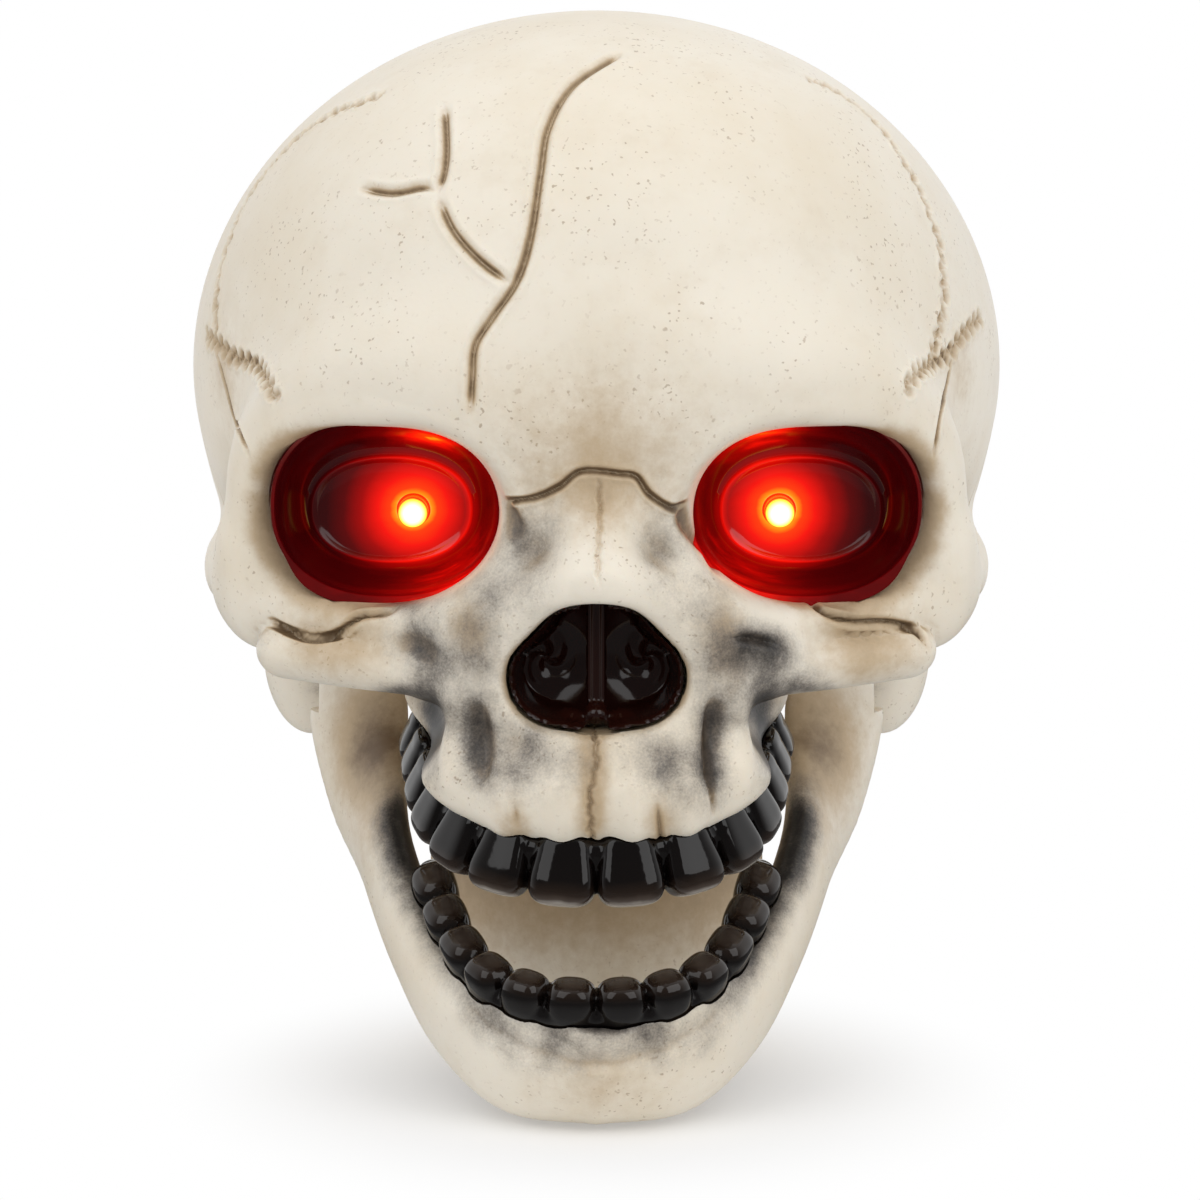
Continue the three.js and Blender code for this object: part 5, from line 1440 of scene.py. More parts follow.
@dataclass(frozen=True)
class SmokeFinish(Finish):
    """Glossy black tinted plastic, coloured along its tip number; for the teeth a painted highlight turns it
    brown and pale towards the tips.
    """

    name: str = "smoke_black_plastic_painted_tips"
    roughness: float = 0.07
    # Painted highlight: dark at the gum, brown then pale at the tips.
    stops: tuple = (
        (0.0, (0.0035, 0.0022, 0.002)),
        (0.55, (0.004, 0.0024, 0.002)),
        (0.8, (0.02, 0.012, 0.008)),
        (0.9, (0.06, 0.045, 0.036)),
        (0.97, (0.3, 0.27, 0.235)),
    )
    ior: float = 1.46
    grain: Grain = Grain(420.0, 0.06, 0.05, 0.0003)

    def wire(self, tree: Tree, shader: Node) -> None:
        """Colours the plastic by how near the tip each place is, paler there as a painted highlight."""
        cloud = tree.swing(tree.noise(260.0), 0.1)
        painted_tip_light = tree.plus(tree.layer("tip"), cloud, True)
        tree.set(shader, Base_Color=tree.ramp(painted_tip_light, self.stops), IOR=self.ior)
        self.grain.lay(tree, shader, self.roughness)


@dataclass(frozen=True)
class LensFinish(Finish):
    """Red translucent plastic; the light of the lamp at its floor is painted on as a glow."""

    name: str = "red_eye_plastic_painted_glow"
    body: Colour = (0.035, 0.0006, 0.0006)
    # Painted glow of the lit wall seen through the clear rim.
    clear: Colour = (0.16, 0.075, 0.06)
    roughness: float = 0.1
    lamp: Triple = (30.0, -43.0, 99.2)
    reach: float = 18.0
    # Painted glow: dark red far from the lamp to yellow-white near it.
    stops: tuple = (
        (0.0, (0.004, 0.0, 0.0002)),
        (0.2, (0.02, 0.0002, 0.0006)),
        (0.36, (0.085, 0.0003, 0.0006)),
        (0.52, (0.34, 0.001, 0.0006)),
        (0.68, (0.94, 0.006, 0.002)),
        (0.79, (1.0, 0.05, 0.002)),
        (0.84, (1.0, 0.32, 0.006)),
        (0.9, (1.0, 0.85, 0.3)),
    )
    ior: float = 1.49
    streak_scale: Triple = (0.35, 1.6, 1.0)
    grain: Grain = Grain(160.0, 0.03, 0.08, 0.0006)

    def wire(self, tree: Tree, shader: Node) -> None:
        """Paints the lamp's light on as a glow: on the floor by its distance from the lamp, on the wall by what
        the mesh stores.
        """
        where = tree.add("ShaderNodeTexCoord").outputs["Object"]
        right = tree.vector("ABSOLUTE", where).outputs[0]
        apart = tree.vector("DISTANCE", right, tuple(abs(x) * MM for x in self.lamp)).outputs["Value"]
        near = tree.maths("SUBTRACT", 1.0, tree.maths("DIVIDE", apart, self.reach * MM), True)
        stretch = tree.add("ShaderNodeMapping", Vector=where, Scale=self.streak_scale)
        glow_streak = tree.noise(210.0, 4.0, stretch.outputs[0], 0.6)
        swing = tree.swing(glow_streak, tree.layer("glow_streak"))
        floor = tree.times(near, tree.maths("SUBTRACT", 1.0, tree.layer("wall")))
        paint_glow = tree.plus(floor, tree.plus(tree.layer("painted_glow"), swing), True)
        glow = tree.mix(tree.layer("clear"), tree.ramp(paint_glow, self.stops), self.clear)
        tree.set(shader, Emission_Color=glow, Emission_Strength=1.0, Base_Color=self.body, IOR=self.ior)
        self.grain.lay(tree, shader, self.roughness)


@dataclass(frozen=True)
class LampFinish(Finish):
    """A lit lamp: white hot in the middle, then yellow, and deep red down its sides."""

    name: str = "lit_lamp"
    body: Colour = (0.5, 0.05, 0.02)
    roughness: float = 0.15
    strength: float = 3.0
    stops: tuple = (
        (0.0, (1.0, 0.93, 0.72)),
        (0.4, (1.0, 0.8, 0.3)),
        (0.75, (1.0, 0.5, 0.04)),
        (0.97, (0.3, 0.004, 0.0)),
    )

    def wire(self, tree: Tree, shader: Node) -> None:
        """Colours the light by the distance from the lamp's middle."""
        share = tree.plus(tree.layer("foot"), tree.times(tree.noise(900.0, 1.0), 0.05), True)
        tree.set(shader, Emission_Color=tree.ramp(share, self.stops), Emission_Strength=self.strength,
                 Base_Color=self.body, Roughness=self.roughness)


@dataclass(frozen=True)
class PlasticFinish(Finish):
    """Plain moulded plastic."""

    name: str
    colour: Colour
    speck: Colour
    roughness: float = 0.45
    speck_share: float = 0.35
    grain: Grain = Grain(1600.0, 0.12, 0.15, 0.0002)

    def wire(self, tree: Tree, shader: Node) -> None:
        """Lays faint specks on one colour."""
        spots = tree.group(Effects.specks, Colour=self.colour, Spot=self.speck, Amount=self.speck_share)
        tree.set(shader, Base_Color=spots.outputs[0])
        self.grain.lay(tree, shader, self.roughness)


@dataclass(frozen=True)
class MetalFinish(Finish):
    """Bare or plated metal with fine turning marks."""

    name: str
    colour: Colour
    dull: Colour
    roughness: float = 0.28

    def wire(self, tree: Tree, shader: Node) -> None:
        """Lays the marks on one colour."""
        marks = tree.group(Effects.marks, Roughness=self.roughness)
        shade = tree.mix(marks.outputs["Shade"], self.colour, self.dull)
        tree.set(shader, Base_Color=shade, Roughness=marks.outputs["Roughness"], Metallic=1.0)
        dent(tree, shader, marks.outputs["Height"], 0.1, 0.0001)


class Paint(Enum):
    """Every finish on the object."""

    BONE = BoneFinish()
    SMOKE = SmokeFinish()
    MAROON = SmokeFinish("maroon_black_plastic", 0.1, (
        (0.0, (0.011, 0.0022, 0.0014)),
        (0.6, (0.02, 0.005, 0.003)),
    ))
    LENS = LensFinish()
    LAMP = LampFinish()
    BLACK = PlasticFinish("black_moulding", (0.018, 0.018, 0.02), (0.05, 0.05, 0.05), 0.5)
    NYLON = PlasticFinish("gear_nylon", (0.78, 0.76, 0.69), (0.5, 0.45, 0.35), 0.4)
    WRAP = PlasticFinish("cell_wrap", (0.05, 0.11, 0.24), (0.02, 0.03, 0.06), 0.28)
    BOARD = PlasticFinish("board_lacquer", (0.02, 0.12, 0.05), (0.35, 0.3, 0.12), 0.4)
    STEEL = MetalFinish("zinc_steel", (0.62, 0.63, 0.65), (0.4, 0.4, 0.42))
    BRASS = MetalFinish("turned_brass", (0.68, 0.48, 0.18), (0.45, 0.3, 0.12))
    CAN = MetalFinish("motor_can", (0.7, 0.71, 0.73), (0.5, 0.5, 0.52), 0.36)

    def material(self) -> Material:
        """The finish's material, made when it is first asked for."""
        return bpy.data.materials.get(self.value.name) or self.value.material()


def dress(obj: Obj, paint: Paint) -> Obj:
    """Gives an object one finish."""
    obj.data.materials.clear()
    obj.data.materials.append(paint.material())
    return obj


class Body(Enum):
    """The bodies that pieces ride on."""

    SKULL = "skull"
    JAW = "jaw"
    KNOB = "switch_knob"


def hand_over(obj: Obj, body: Body, nodes: Sequence[str], paint: Paint) -> Obj:
    """Finishes a piece: its paint, its body and what it stands for.

    Args:
        obj: the piece.
        body: what it rides on.
        nodes: the CAD nodes that it replaces.
        paint: its finish.

    Returns:
        The piece.
    """
    dress(obj, paint)
    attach(obj, body.value)
    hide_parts(*nodes)
    LOG.info("%s: %d faces", obj.name, len(obj.data.polygons))
    return obj


# Sub-assemblies

HINGE = (-2.0, 78.0)
AXLE_BORE = 2.85
NECK_Y = 10.0
SCREW_WELL = 3.05
SCREW_BORE = 1.65
BASE_SCREW_X = 21.2


@dataclass
class BoneDetail:
    """Grooves, bumps and paint on one bone form, each under its name; the paint holds stains, dirt and painted
    shade.
    """

    grooves: dict[str, Groove]
    bumps: dict[str, Bump | Ridge]
    strokes: dict[str, Stroke]
    hollow_dirt_and_shade: float = 0.75
    painted_shade: float = 0.22
    painted_shade_reaches: Pair = (14.0, 30.0)
    split_room: float = 0.5
    split_step: float = 0.4
    def emboss(self, surface: Surface, splits: int = 2) -> Obj:
        """Presses the grooves and bumps into a surface's skin.

        Args:
            surface: what is worked on.
            splits: how often the faces along grooves are halved.

        Returns:
            The skin.
        """
        obj = surface.skin
        self.pressed = [(groove, Route(groove.line, surface)) for groove in self.grooves.values()]
        for turn in range(splits):
            room = self.split_room - turn * self.split_step
            refine(obj, [(route, groove.half_width * SOFT_REACH + room) for groove, route in self.pressed])
        p = places(obj)
        rise = np.zeros(len(p), np.float32)
        for bump in self.bumps.values():
            rise += bump.rise(p, surface)
        for groove, route in self.pressed:
            rise -= groove.press(p, route)[0]
        move_to(obj, p + normals(obj) * rise[:, None])
        return obj

    def stain_and_shade(self, obj: Obj, surface: Surface) -> None:
        """Stores the paint, dirt and painted shade of a mesh.

        Args:
            obj: the finished mesh.
            surface: what it was made from.
        """
        p = places(obj)
        n = normals(obj)
        # Painted shade: brown in hollows, where it also stands for dirt, and a broad brown under overhangs,
        # from how closed in each point is.
        closed = shelter(surface.form, p, n)
        under = shelter(surface.form, p, n, self.painted_shade_reaches)
        earth = self.hollow_dirt_and_shade * ease(closed, 0.2, 0.75) + self.painted_shade * ease(under, 0.2, 0.8)
        smoke = np.zeros(len(p), np.float32)
        for groove, route in self.pressed:
            earth = np.maximum(earth, groove.press(p, route)[1])
        for stroke in self.strokes.values():
            cover = stroke.cover(p, surface)
            if stroke.tone is Tone.SMOKE:
                smoke = 1 - (1 - smoke) * (1 - cover)
            else:
                earth = 1 - (1 - earth) * (1 - cover)
        mask(obj, "earth", earth)
        mask(obj, "smoke", smoke)


def crack(*pixels: Pair, width: float = 0.9, depth: float = 1.25) -> Groove:
    """A smooth decorative crack through pixels of the photograph."""
    return Groove(Line(pixels), width, depth, lip=0.2, fade=4.0)


def suture(*pixels: Pair, course: Course = Course.BEADED) -> Groove:
    """A jagged bone seam through pixels of the photograph."""
    return Groove(Line(pixels, course=course), depth=0.85, lip=0.25, dirt=1.1)


def seam(width: float, depth: float, lip: float, dirt: float, swing: float, *pixels: Pair) -> Groove:
    """A fine wavering seam through pixels of the photograph."""
    return Groove(Line(pixels, course=Course.JAGGED, swing=swing), width, depth, lip, dirt)


def ridge(width: float, height: float, *pixels: Pair) -> Ridge:
    """A soft ridge through pixels of the photograph, or a valley."""
    return Ridge(Line(pixels), width, height)


def smoke(width: float, strength: float, *pixels: Pair) -> Stroke:
    """A stroke of grey-black paint through pixels of the photograph; some are stains, some painted shade."""
    return Stroke(Line(pixels), width, strength)


def earth(width: float, strength: float, *pixels: Pair) -> Stroke:
    """A stroke of brown paint through pixels of the photograph; some are dirt, some painted shade."""
    return Stroke(Line(pixels), width, strength, Tone.EARTH)


def rim_shade(width: float, side: int, centre: Triple, half: Pair, angles: Values) -> Stroke:
    """A stroke of brown painted shade round the inside of an opening.

    Args:
        width: the stroke's width.
        side: 1 for the right half, -1 for the left.
        centre: the opening's middle on the right.
        half: half its width and half its height.
        angles: where the stroke runs.

    Returns:
        The stroke.
    """
    x, y, z = centre
    points = tuple((side * (x + half[0] * math.cos(a)), y, z + half[1] * math.sin(a)) for a in angles)
    return Stroke(Line(points, Drawn.MODEL), width, RIM_SHADE, Tone.EARTH)


# Strength of the painted shade round the eye sockets and the nose opening.
RIM_SHADE = 0.5
ORBIT_RIM = (33.2, -59.5, 101.6)
ORBIT_HALF = (19.6, 15.8)
ORBIT_ANGLES = np.linspace(0, 2 * math.pi, 25)
NOSE_RIM = (0.0, -70.0, 78.5)
NOSE_HALF = (14.8, 11.0)
NOSE_ANGLES = np.linspace(-math.pi / 2, math.pi / 2, 17)

SKULL_DETAIL = BoneDetail(
    grooves=dict(
        forehead_crack=crack((623, 51), (571, 86), (548, 126), (540, 172), (532, 225), (522, 265), (512, 288),
                             (492, 317), (475, 345), (472, 375), (470, 418)),
        forehead_branch=crack((512, 285), (478, 259), (452, 229), (437, 196)),
        branch_up=crack((437, 196), (445, 159), (444, 103)),
        branch_left=crack((437, 192), (425, 187), (392, 192), (357, 187)),
        right_suture=suture((804, 78), (830, 88), (868, 115), (889, 139), (913, 177), (928, 209), (939, 241),
                            (944, 281), (944, 308), (938, 335), (930, 359)),
        left_suture=suture((386, 93), (323, 119), (280, 156), (246, 202), (230, 239), (218, 282), (216, 338)),
        right_temple_seam=suture((983, 316), (967, 330), (951, 351), (932, 364), (916, 375), (903, 395),
                                 course=Course.JAGGED),
        left_temple_seam=suture((205, 335), (216, 342), (236, 358), (256, 365), (278, 405),
                                course=Course.JAGGED),
        right_temple_crack=crack((952, 354), (940, 418), (934, 460), width=0.45, depth=0.875),
        left_temple_crack=crack((216, 348), (226, 385), (237, 425), (251, 460), width=0.45, depth=0.875),
        brow_crack=crack((503, 502), (535, 498), (559, 487), (580, 472), (620, 474), (636, 477), (650, 495),
                         (675, 509), (689, 503), width=0.6, depth=1.0),
        nose_seam=seam(0.4, 0.5, 0.15, 0.6, 0.14, (599, 475), (600, 520), (598, 560), (599, 590)),
        gum_seam=seam(0.45, 0.6, 0.2, 0.85, 0.18, (594, 723), (596, 764), (590, 795), (592, 843)),
        left_cheek_crack=crack((266, 618), (307, 638), (334, 636), (361, 616), (388, 612), (401, 605),
                               width=0.75),
        right_cheek_crack=crack((810, 602), (821, 610), (849, 621), (889, 623), (917, 632), (929, 649),
                                width=0.75),
        right_cheek_notch=crack((728, 639), (752, 639), (780, 645), width=0.8),
        right_gum_crack=crack((711, 705), (709, 740), (712, 780), (714, 818), width=0.6, depth=1.0),
        right_gum_nick=crack((657, 800), (661, 842), width=0.5, depth=0.625),
        left_gum_nick=crack((514, 795), (519, 828), width=0.5, depth=0.5),
    ),
    bumps=dict(
        forehead_dip=Bump((640, 262), 15.0, -0.9, stretch=(1.2, 1.0, 0.5)),
        forehead_swell=Bump((640, 335), 15.0, 0.8, stretch=(1.3, 1.0, 0.5)),
        left_gum_dip=Bump((515, 752), 5.0, -0.9),
        right_gum_dip=Bump((666, 760), 4.5, -0.9),
        left_first_root=ridge(3.0, 1.5, (564, 775), (562, 842)),
        left_second_root=ridge(2.8, 1.4, (506, 778), (502, 832)),
        right_first_root=ridge(3.0, 1.5, (630, 775), (632, 842)),
        right_second_root=ridge(2.8, 1.4, (686, 778), (690, 832)),
        left_third_root=ridge(2.6, 1.4, (458, 690), (453, 740), (450, 795)),
        right_third_root=ridge(2.6, 1.4, (736, 690), (741, 740), (743, 795)),
        left_root_valley=ridge(1.5, -1.5, (476, 700), (482, 740), (480, 785)),
        right_root_valley=ridge(1.5, -1.5, (717, 696), (710, 740), (711, 790)),
        left_cheek_pit=ridge(1.8, -1.3, (394, 646), (413, 642), (427, 654), (428, 670)),
        right_cheek_fold=ridge(1.6, 0.7, (740, 652), (780, 658)),
        left_brow_corner=ridge(1.8, -1.5, (504, 504), (520, 542)),
        right_brow_corner=ridge(1.8, -1.5, (679, 508), (713, 566)),
    ),
    strokes=dict(
        left_gum=smoke(7.5, 0.85, (492, 750), (556, 760)),
        # Painted shade, with the grey-black stain, in the valley beside the root ridges.
        left_valley_shade=smoke(3.4, 0.7, (476, 708), (484, 780)),
        left_valley_core_shade=smoke(1.4, 0.6, (476, 705), (482, 740), (480, 785)),
        right_gum=smoke(6.5, 0.8, (648, 748), (682, 782)),
        right_gum_core=smoke(3.0, 0.5, (660, 752), (674, 772)),
        # Painted shade, with the grey-black stain, in the valley beside the root ridges.
        right_valley_shade=smoke(3.6, 0.75, (716, 700), (710, 745), (714, 795)),
        right_valley_core_shade=smoke(1.3, 0.6, (715, 705), (710, 745), (712, 790)),
        left_nose_side=smoke(6.5, 0.55, (512, 560), (480, 625), (464, 700)),
        right_nose_side=smoke(6.0, 0.5, (690, 570), (715, 630), (722, 695)),
        left_bridge=smoke(5.5, 0.5, (548, 508), (536, 585)),
        right_bridge=smoke(5.0, 0.45, (648, 512), (658, 580)),
        left_under_eye=smoke(3.4, 0.6, (376, 600), (432, 606)),
        left_cheek_pit=smoke(3.8, 0.8, (394, 646), (413, 642), (427, 654), (428, 670)),
        right_cheek_notch=smoke(2.8, 0.8, (728, 640), (752, 641), (790, 650)),
        right_cheek=smoke(5.0, 0.45, (745, 662), (805, 668)),
        # Painted shade in the notches at the sockets' inner corners, beside the dents there.
        left_brow_corner=smoke(2.0, 0.85, (504, 506), (520, 542)),
        right_brow_corner=smoke(2.0, 0.85, (681, 512), (713, 566)),
        # Grey-black stain with painted shade on the receding walls beside the upper jaw.
        left_hollow_shade=smoke(5.0, 1.0, (434, 684), (436, 725), (431, 768)),
        right_hollow_shade=smoke(5.0, 1.0, (760, 674), (762, 725), (766, 772)),
        # Grey-black stain with a painted shadow under the cheek bars.
        left_bar_shadow=smoke(2.8, 0.75, (318, 686), (370, 692), (419, 692)),
        right_bar_shadow=smoke(2.8, 0.6, (780, 688), (830, 690), (878, 684)),
        left_bar_end=smoke(4.0, 0.35, (262, 625), (258, 655)),
        # Painted shade in brown under the brow and at the nose's root.
        brow_shade=earth(13.0, 0.5, (556, 445), (644, 445)),
        bridge_shade=earth(6.0, 0.35, (556, 492), (642, 494)),
        gum_seam_wash=earth(2.6, 0.55, (592, 725), (592, 835)),
        left_gum_wash=earth(3.0, 0.4, (510, 800), (518, 838)),
        right_gum_wash=earth(3.0, 0.4, (657, 800), (661, 842)),
        left_cheek_wash=earth(5.0, 0.4, (290, 628), (330, 650), (390, 640)),
        right_cheek_wash=earth(5.0, 0.35, (820, 615), (870, 635), (915, 640)),
        right_bar_wash=earth(6.0, 0.42, (835, 658), (890, 664)),
        left_nose_wash=earth(4.0, 0.45, (462, 600), (476, 660)),
        right_nose_wash=earth(4.0, 0.45, (720, 600), (732, 680)),
        left_temple_wash=earth(8.0, 0.3, (215, 330), (232, 420)),
        right_temple_wash=earth(8.0, 0.25, (968, 330), (955, 420)),
        # Painted shade round the inside of the eye sockets and the nose opening.
        right_orbit=rim_shade(2.4, 1, ORBIT_RIM, ORBIT_HALF, ORBIT_ANGLES),
        left_orbit=rim_shade(2.4, -1, ORBIT_RIM, ORBIT_HALF, ORBIT_ANGLES),
        right_nostril=rim_shade(1.8, 1, NOSE_RIM, NOSE_HALF, NOSE_ANGLES),
        left_nostril=rim_shade(1.8, -1, NOSE_RIM, NOSE_HALF, NOSE_ANGLES),
    ),
)


@dataclass
class Shells:
    """The skull's front and rear halves, hollow, with the seats of what they hold."""

    step: float = 0.9
    plain_step: float = 2.5
    room: tuple[Triple, Triple] = ((-74, -88, 44), (74, 86, 182))
    split_y: float = -2.0
    gap: float = 0.3
    far: float = 120.0
    over: float = 2.0
    neck_radius: float = 26.35
    collar_wall: float = 3.4
    collar_low: float = 56.5
    deck_low: float = 65.65
    deck_radius: float = 30.7
    deck_room: float = 4.5
    bore_room: float = 20.0
    bearing_radius: float = 6.5
    bearing: Pair = (28.0, 36.0)
    eye_room: Triple = (7.5, 38.5, 51.5)
    screw_sites: tuple = ((44, 156), (-44, 156), (51, 92), (-51, 92))
    boss_radius: float = 4.4
    boss_length: float = 14.0
    boss_floor: float = 5.0
    pilot_radius: float = 1.5
    post_length: float = 70.0
    speaker_z: float = 118.0
    speaker_seat: float = 67.8
    speaker_radius: float = 15.35
    speaker_depth: float = 5.35
    ring_wall: float = 2.0
    ring_length: float = 12.0
    cone_edge: float = 2.35
    cone_room: float = 3.0
    slot_rows: tuple = (-8, -4, 0, 4, 8)
    slot_half_height: float = 1.0
    slot_length: float = 30.0
    slot_round: float = 0.9

    def build(self) -> list[Obj]:
        """Builds both halves."""
        surface = Surface("skull_outer", FORM.outside, *self.room, self.step)
        outer = SKULL_DETAIL.emboss(surface)
        plain = object_from("skull_plain", *skin_of(FORM.outside, *self.room, self.plain_step))
        inside = object_from("skull_room", *skin_of(FORM.hollow, *self.room, self.plain_step))
        shape(outer, Work.CUT, [inside])
        shape(outer, Work.JOIN, [joined([self._collar()] + self._bearings())])
        shape(outer, Work.CUT, [joined([self._neck_hole(), self._hinge_hole()])])
        front = copy_of(outer, "front_casing")
        rear = copy_of(outer, "rear_casing")
        bpy.data.objects.remove(outer)
        far, half = self.far, self.gap / 2
        shape(front, Work.TRIM, [block("front_room", (-far, -far, 0), (far, self.split_y - half, far * 2))])
        shape(rear, Work.TRIM, [block("rear_room", (-far, self.split_y + half, 0), (far, far, far * 2))])
        self._front(front, plain)
        self._rear(rear, plain)
        bpy.data.objects.remove(plain)
        for obj in (front, rear):
            smooth(obj)
            SKULL_DETAIL.stain_and_shade(obj, surface)
        hand_over(front, Body.SKULL, ["front_shell"], Paint.BONE)
        hand_over(rear, Body.SKULL, ["rear_shell"], Paint.BONE)
        return [front, rear]

    def _collar(self) -> Obj:
        """The sleeve under the skull that the neck fits."""
        radius = self.neck_radius + self.collar_wall
        return rod("collar", radius, self.collar_low, self.deck_low, Axis.Z, (0, NECK_Y, 0), 96)

    def _neck_hole(self) -> Obj:
        """The neck's bore and the room for its deck."""
        low, high = self.collar_low - self.bore_room, self.deck_low + self.deck_room
        neck, deck = self.neck_radius, self.deck_radius
        profile = [(0, low), (neck, low), (neck, self.deck_low), (deck, self.deck_low), (deck, high), (0, high)]
        return turned("neck_bore", profile, Axis.Z, (0, NECK_Y, 0), 96)

    def _bearings(self) -> list[Obj]:
        """The bosses that carry the jaw's axle."""
        near, far = self.bearing
        sides = ((near, far), (-far, -near))
        return [rod("bearing", self.bearing_radius, *side, Axis.X, (0, *HINGE)) for side in sides]

    def _hinge_hole(self) -> Obj:
        """The axle's bore and the room round the jaw's eyes."""
        radius, near, far = self.eye_room
        half = [(AXLE_BORE, near), (radius, near), (radius, far), (0, far)]
        profile = [(r, -x) for r, x in half[::-1]] + half
        return turned("hinge_bore", profile, Axis.X, (0, *HINGE), 48)

    def _front(self, front: Obj, plain: Obj) -> None:
        """Adds the screw bosses and cuts the seats of cups, insert and teeth."""
        low, high = self.split_y - self.boss_length, self.split_y - self.gap / 2
        sites = [(x, 0, z) for x, z in self.screw_sites]
        bosses = joined([rod("boss", self.boss_radius, low, high, Axis.Y, at) for at in sites])
        shape(front, Work.JOIN, [shape(bosses, Work.TRIM, [plain], True)])
        pilot = (self.pilot_radius, low + self.over, high + self.over)
        pilots = [rod("pilot", *pilot, Axis.Y, at, 20) for at in sites]
        shape(front, Work.CUT, [joined(pilots + EYES.seats() + [NOSE.seat(), UPPER_TEETH.seat()])])
        shape(front, Work.CUT, [joined(EYES.bores())])

    def _rear(self, rear: Obj, plain: Obj) -> None:
        """Adds the screw posts with their wells, and the speaker's ring and grille."""
        start = self.split_y + self.gap / 2
        floor = self.split_y + self.boss_floor
        mouth = self.speaker_seat
        back = mouth + self.speaker_depth
        ears = (0, 0, self.speaker_z)
        sites = [(x, 0, z) for x, z in self.screw_sites]
        posts = [rod("post", self.boss_radius, start, start + self.post_length, Axis.Y, at) for at in sites]
        ring = self.speaker_radius + self.ring_wall
        posts.append(rod("ring", ring, mouth, back + self.ring_length, Axis.Y, ears, 72))
        shape(rear, Work.JOIN, [shape(joined(posts), Work.TRIM, [plain], True)])
        low, high = start - self.over, floor + self.far
        well = [(0, low), (SCREW_BORE, low), (SCREW_BORE, floor)]
        well += [(SCREW_WELL, floor), (SCREW_WELL, high), (0, high)]
        cone = self.speaker_radius - self.cone_edge
        seat = [(0, mouth - 1), (self.speaker_radius, mouth - 1), (self.speaker_radius, back)]
        seat += [(cone, back), (cone, back + self.cone_room), (0, back + self.cone_room)]
        cuts = [turned("well", well, Axis.Y, at, 40) for at in sites] + [turned("seat", seat, Axis.Y, ears, 72)]
        shape(rear, Work.CUT, [joined(cuts)])
        slots = []
        for up in self.slot_rows:
            half = math.sqrt((cone - self.over) ** 2 - up * up)
            low = (-half, back, self.speaker_z + up - self.slot_half_height)
            high = (half, back + self.slot_length, self.speaker_z + up + self.slot_half_height)
            slots.append(block("slot", low, high, self.slot_round))
        shape(rear, Work.CUT, [joined(slots)])


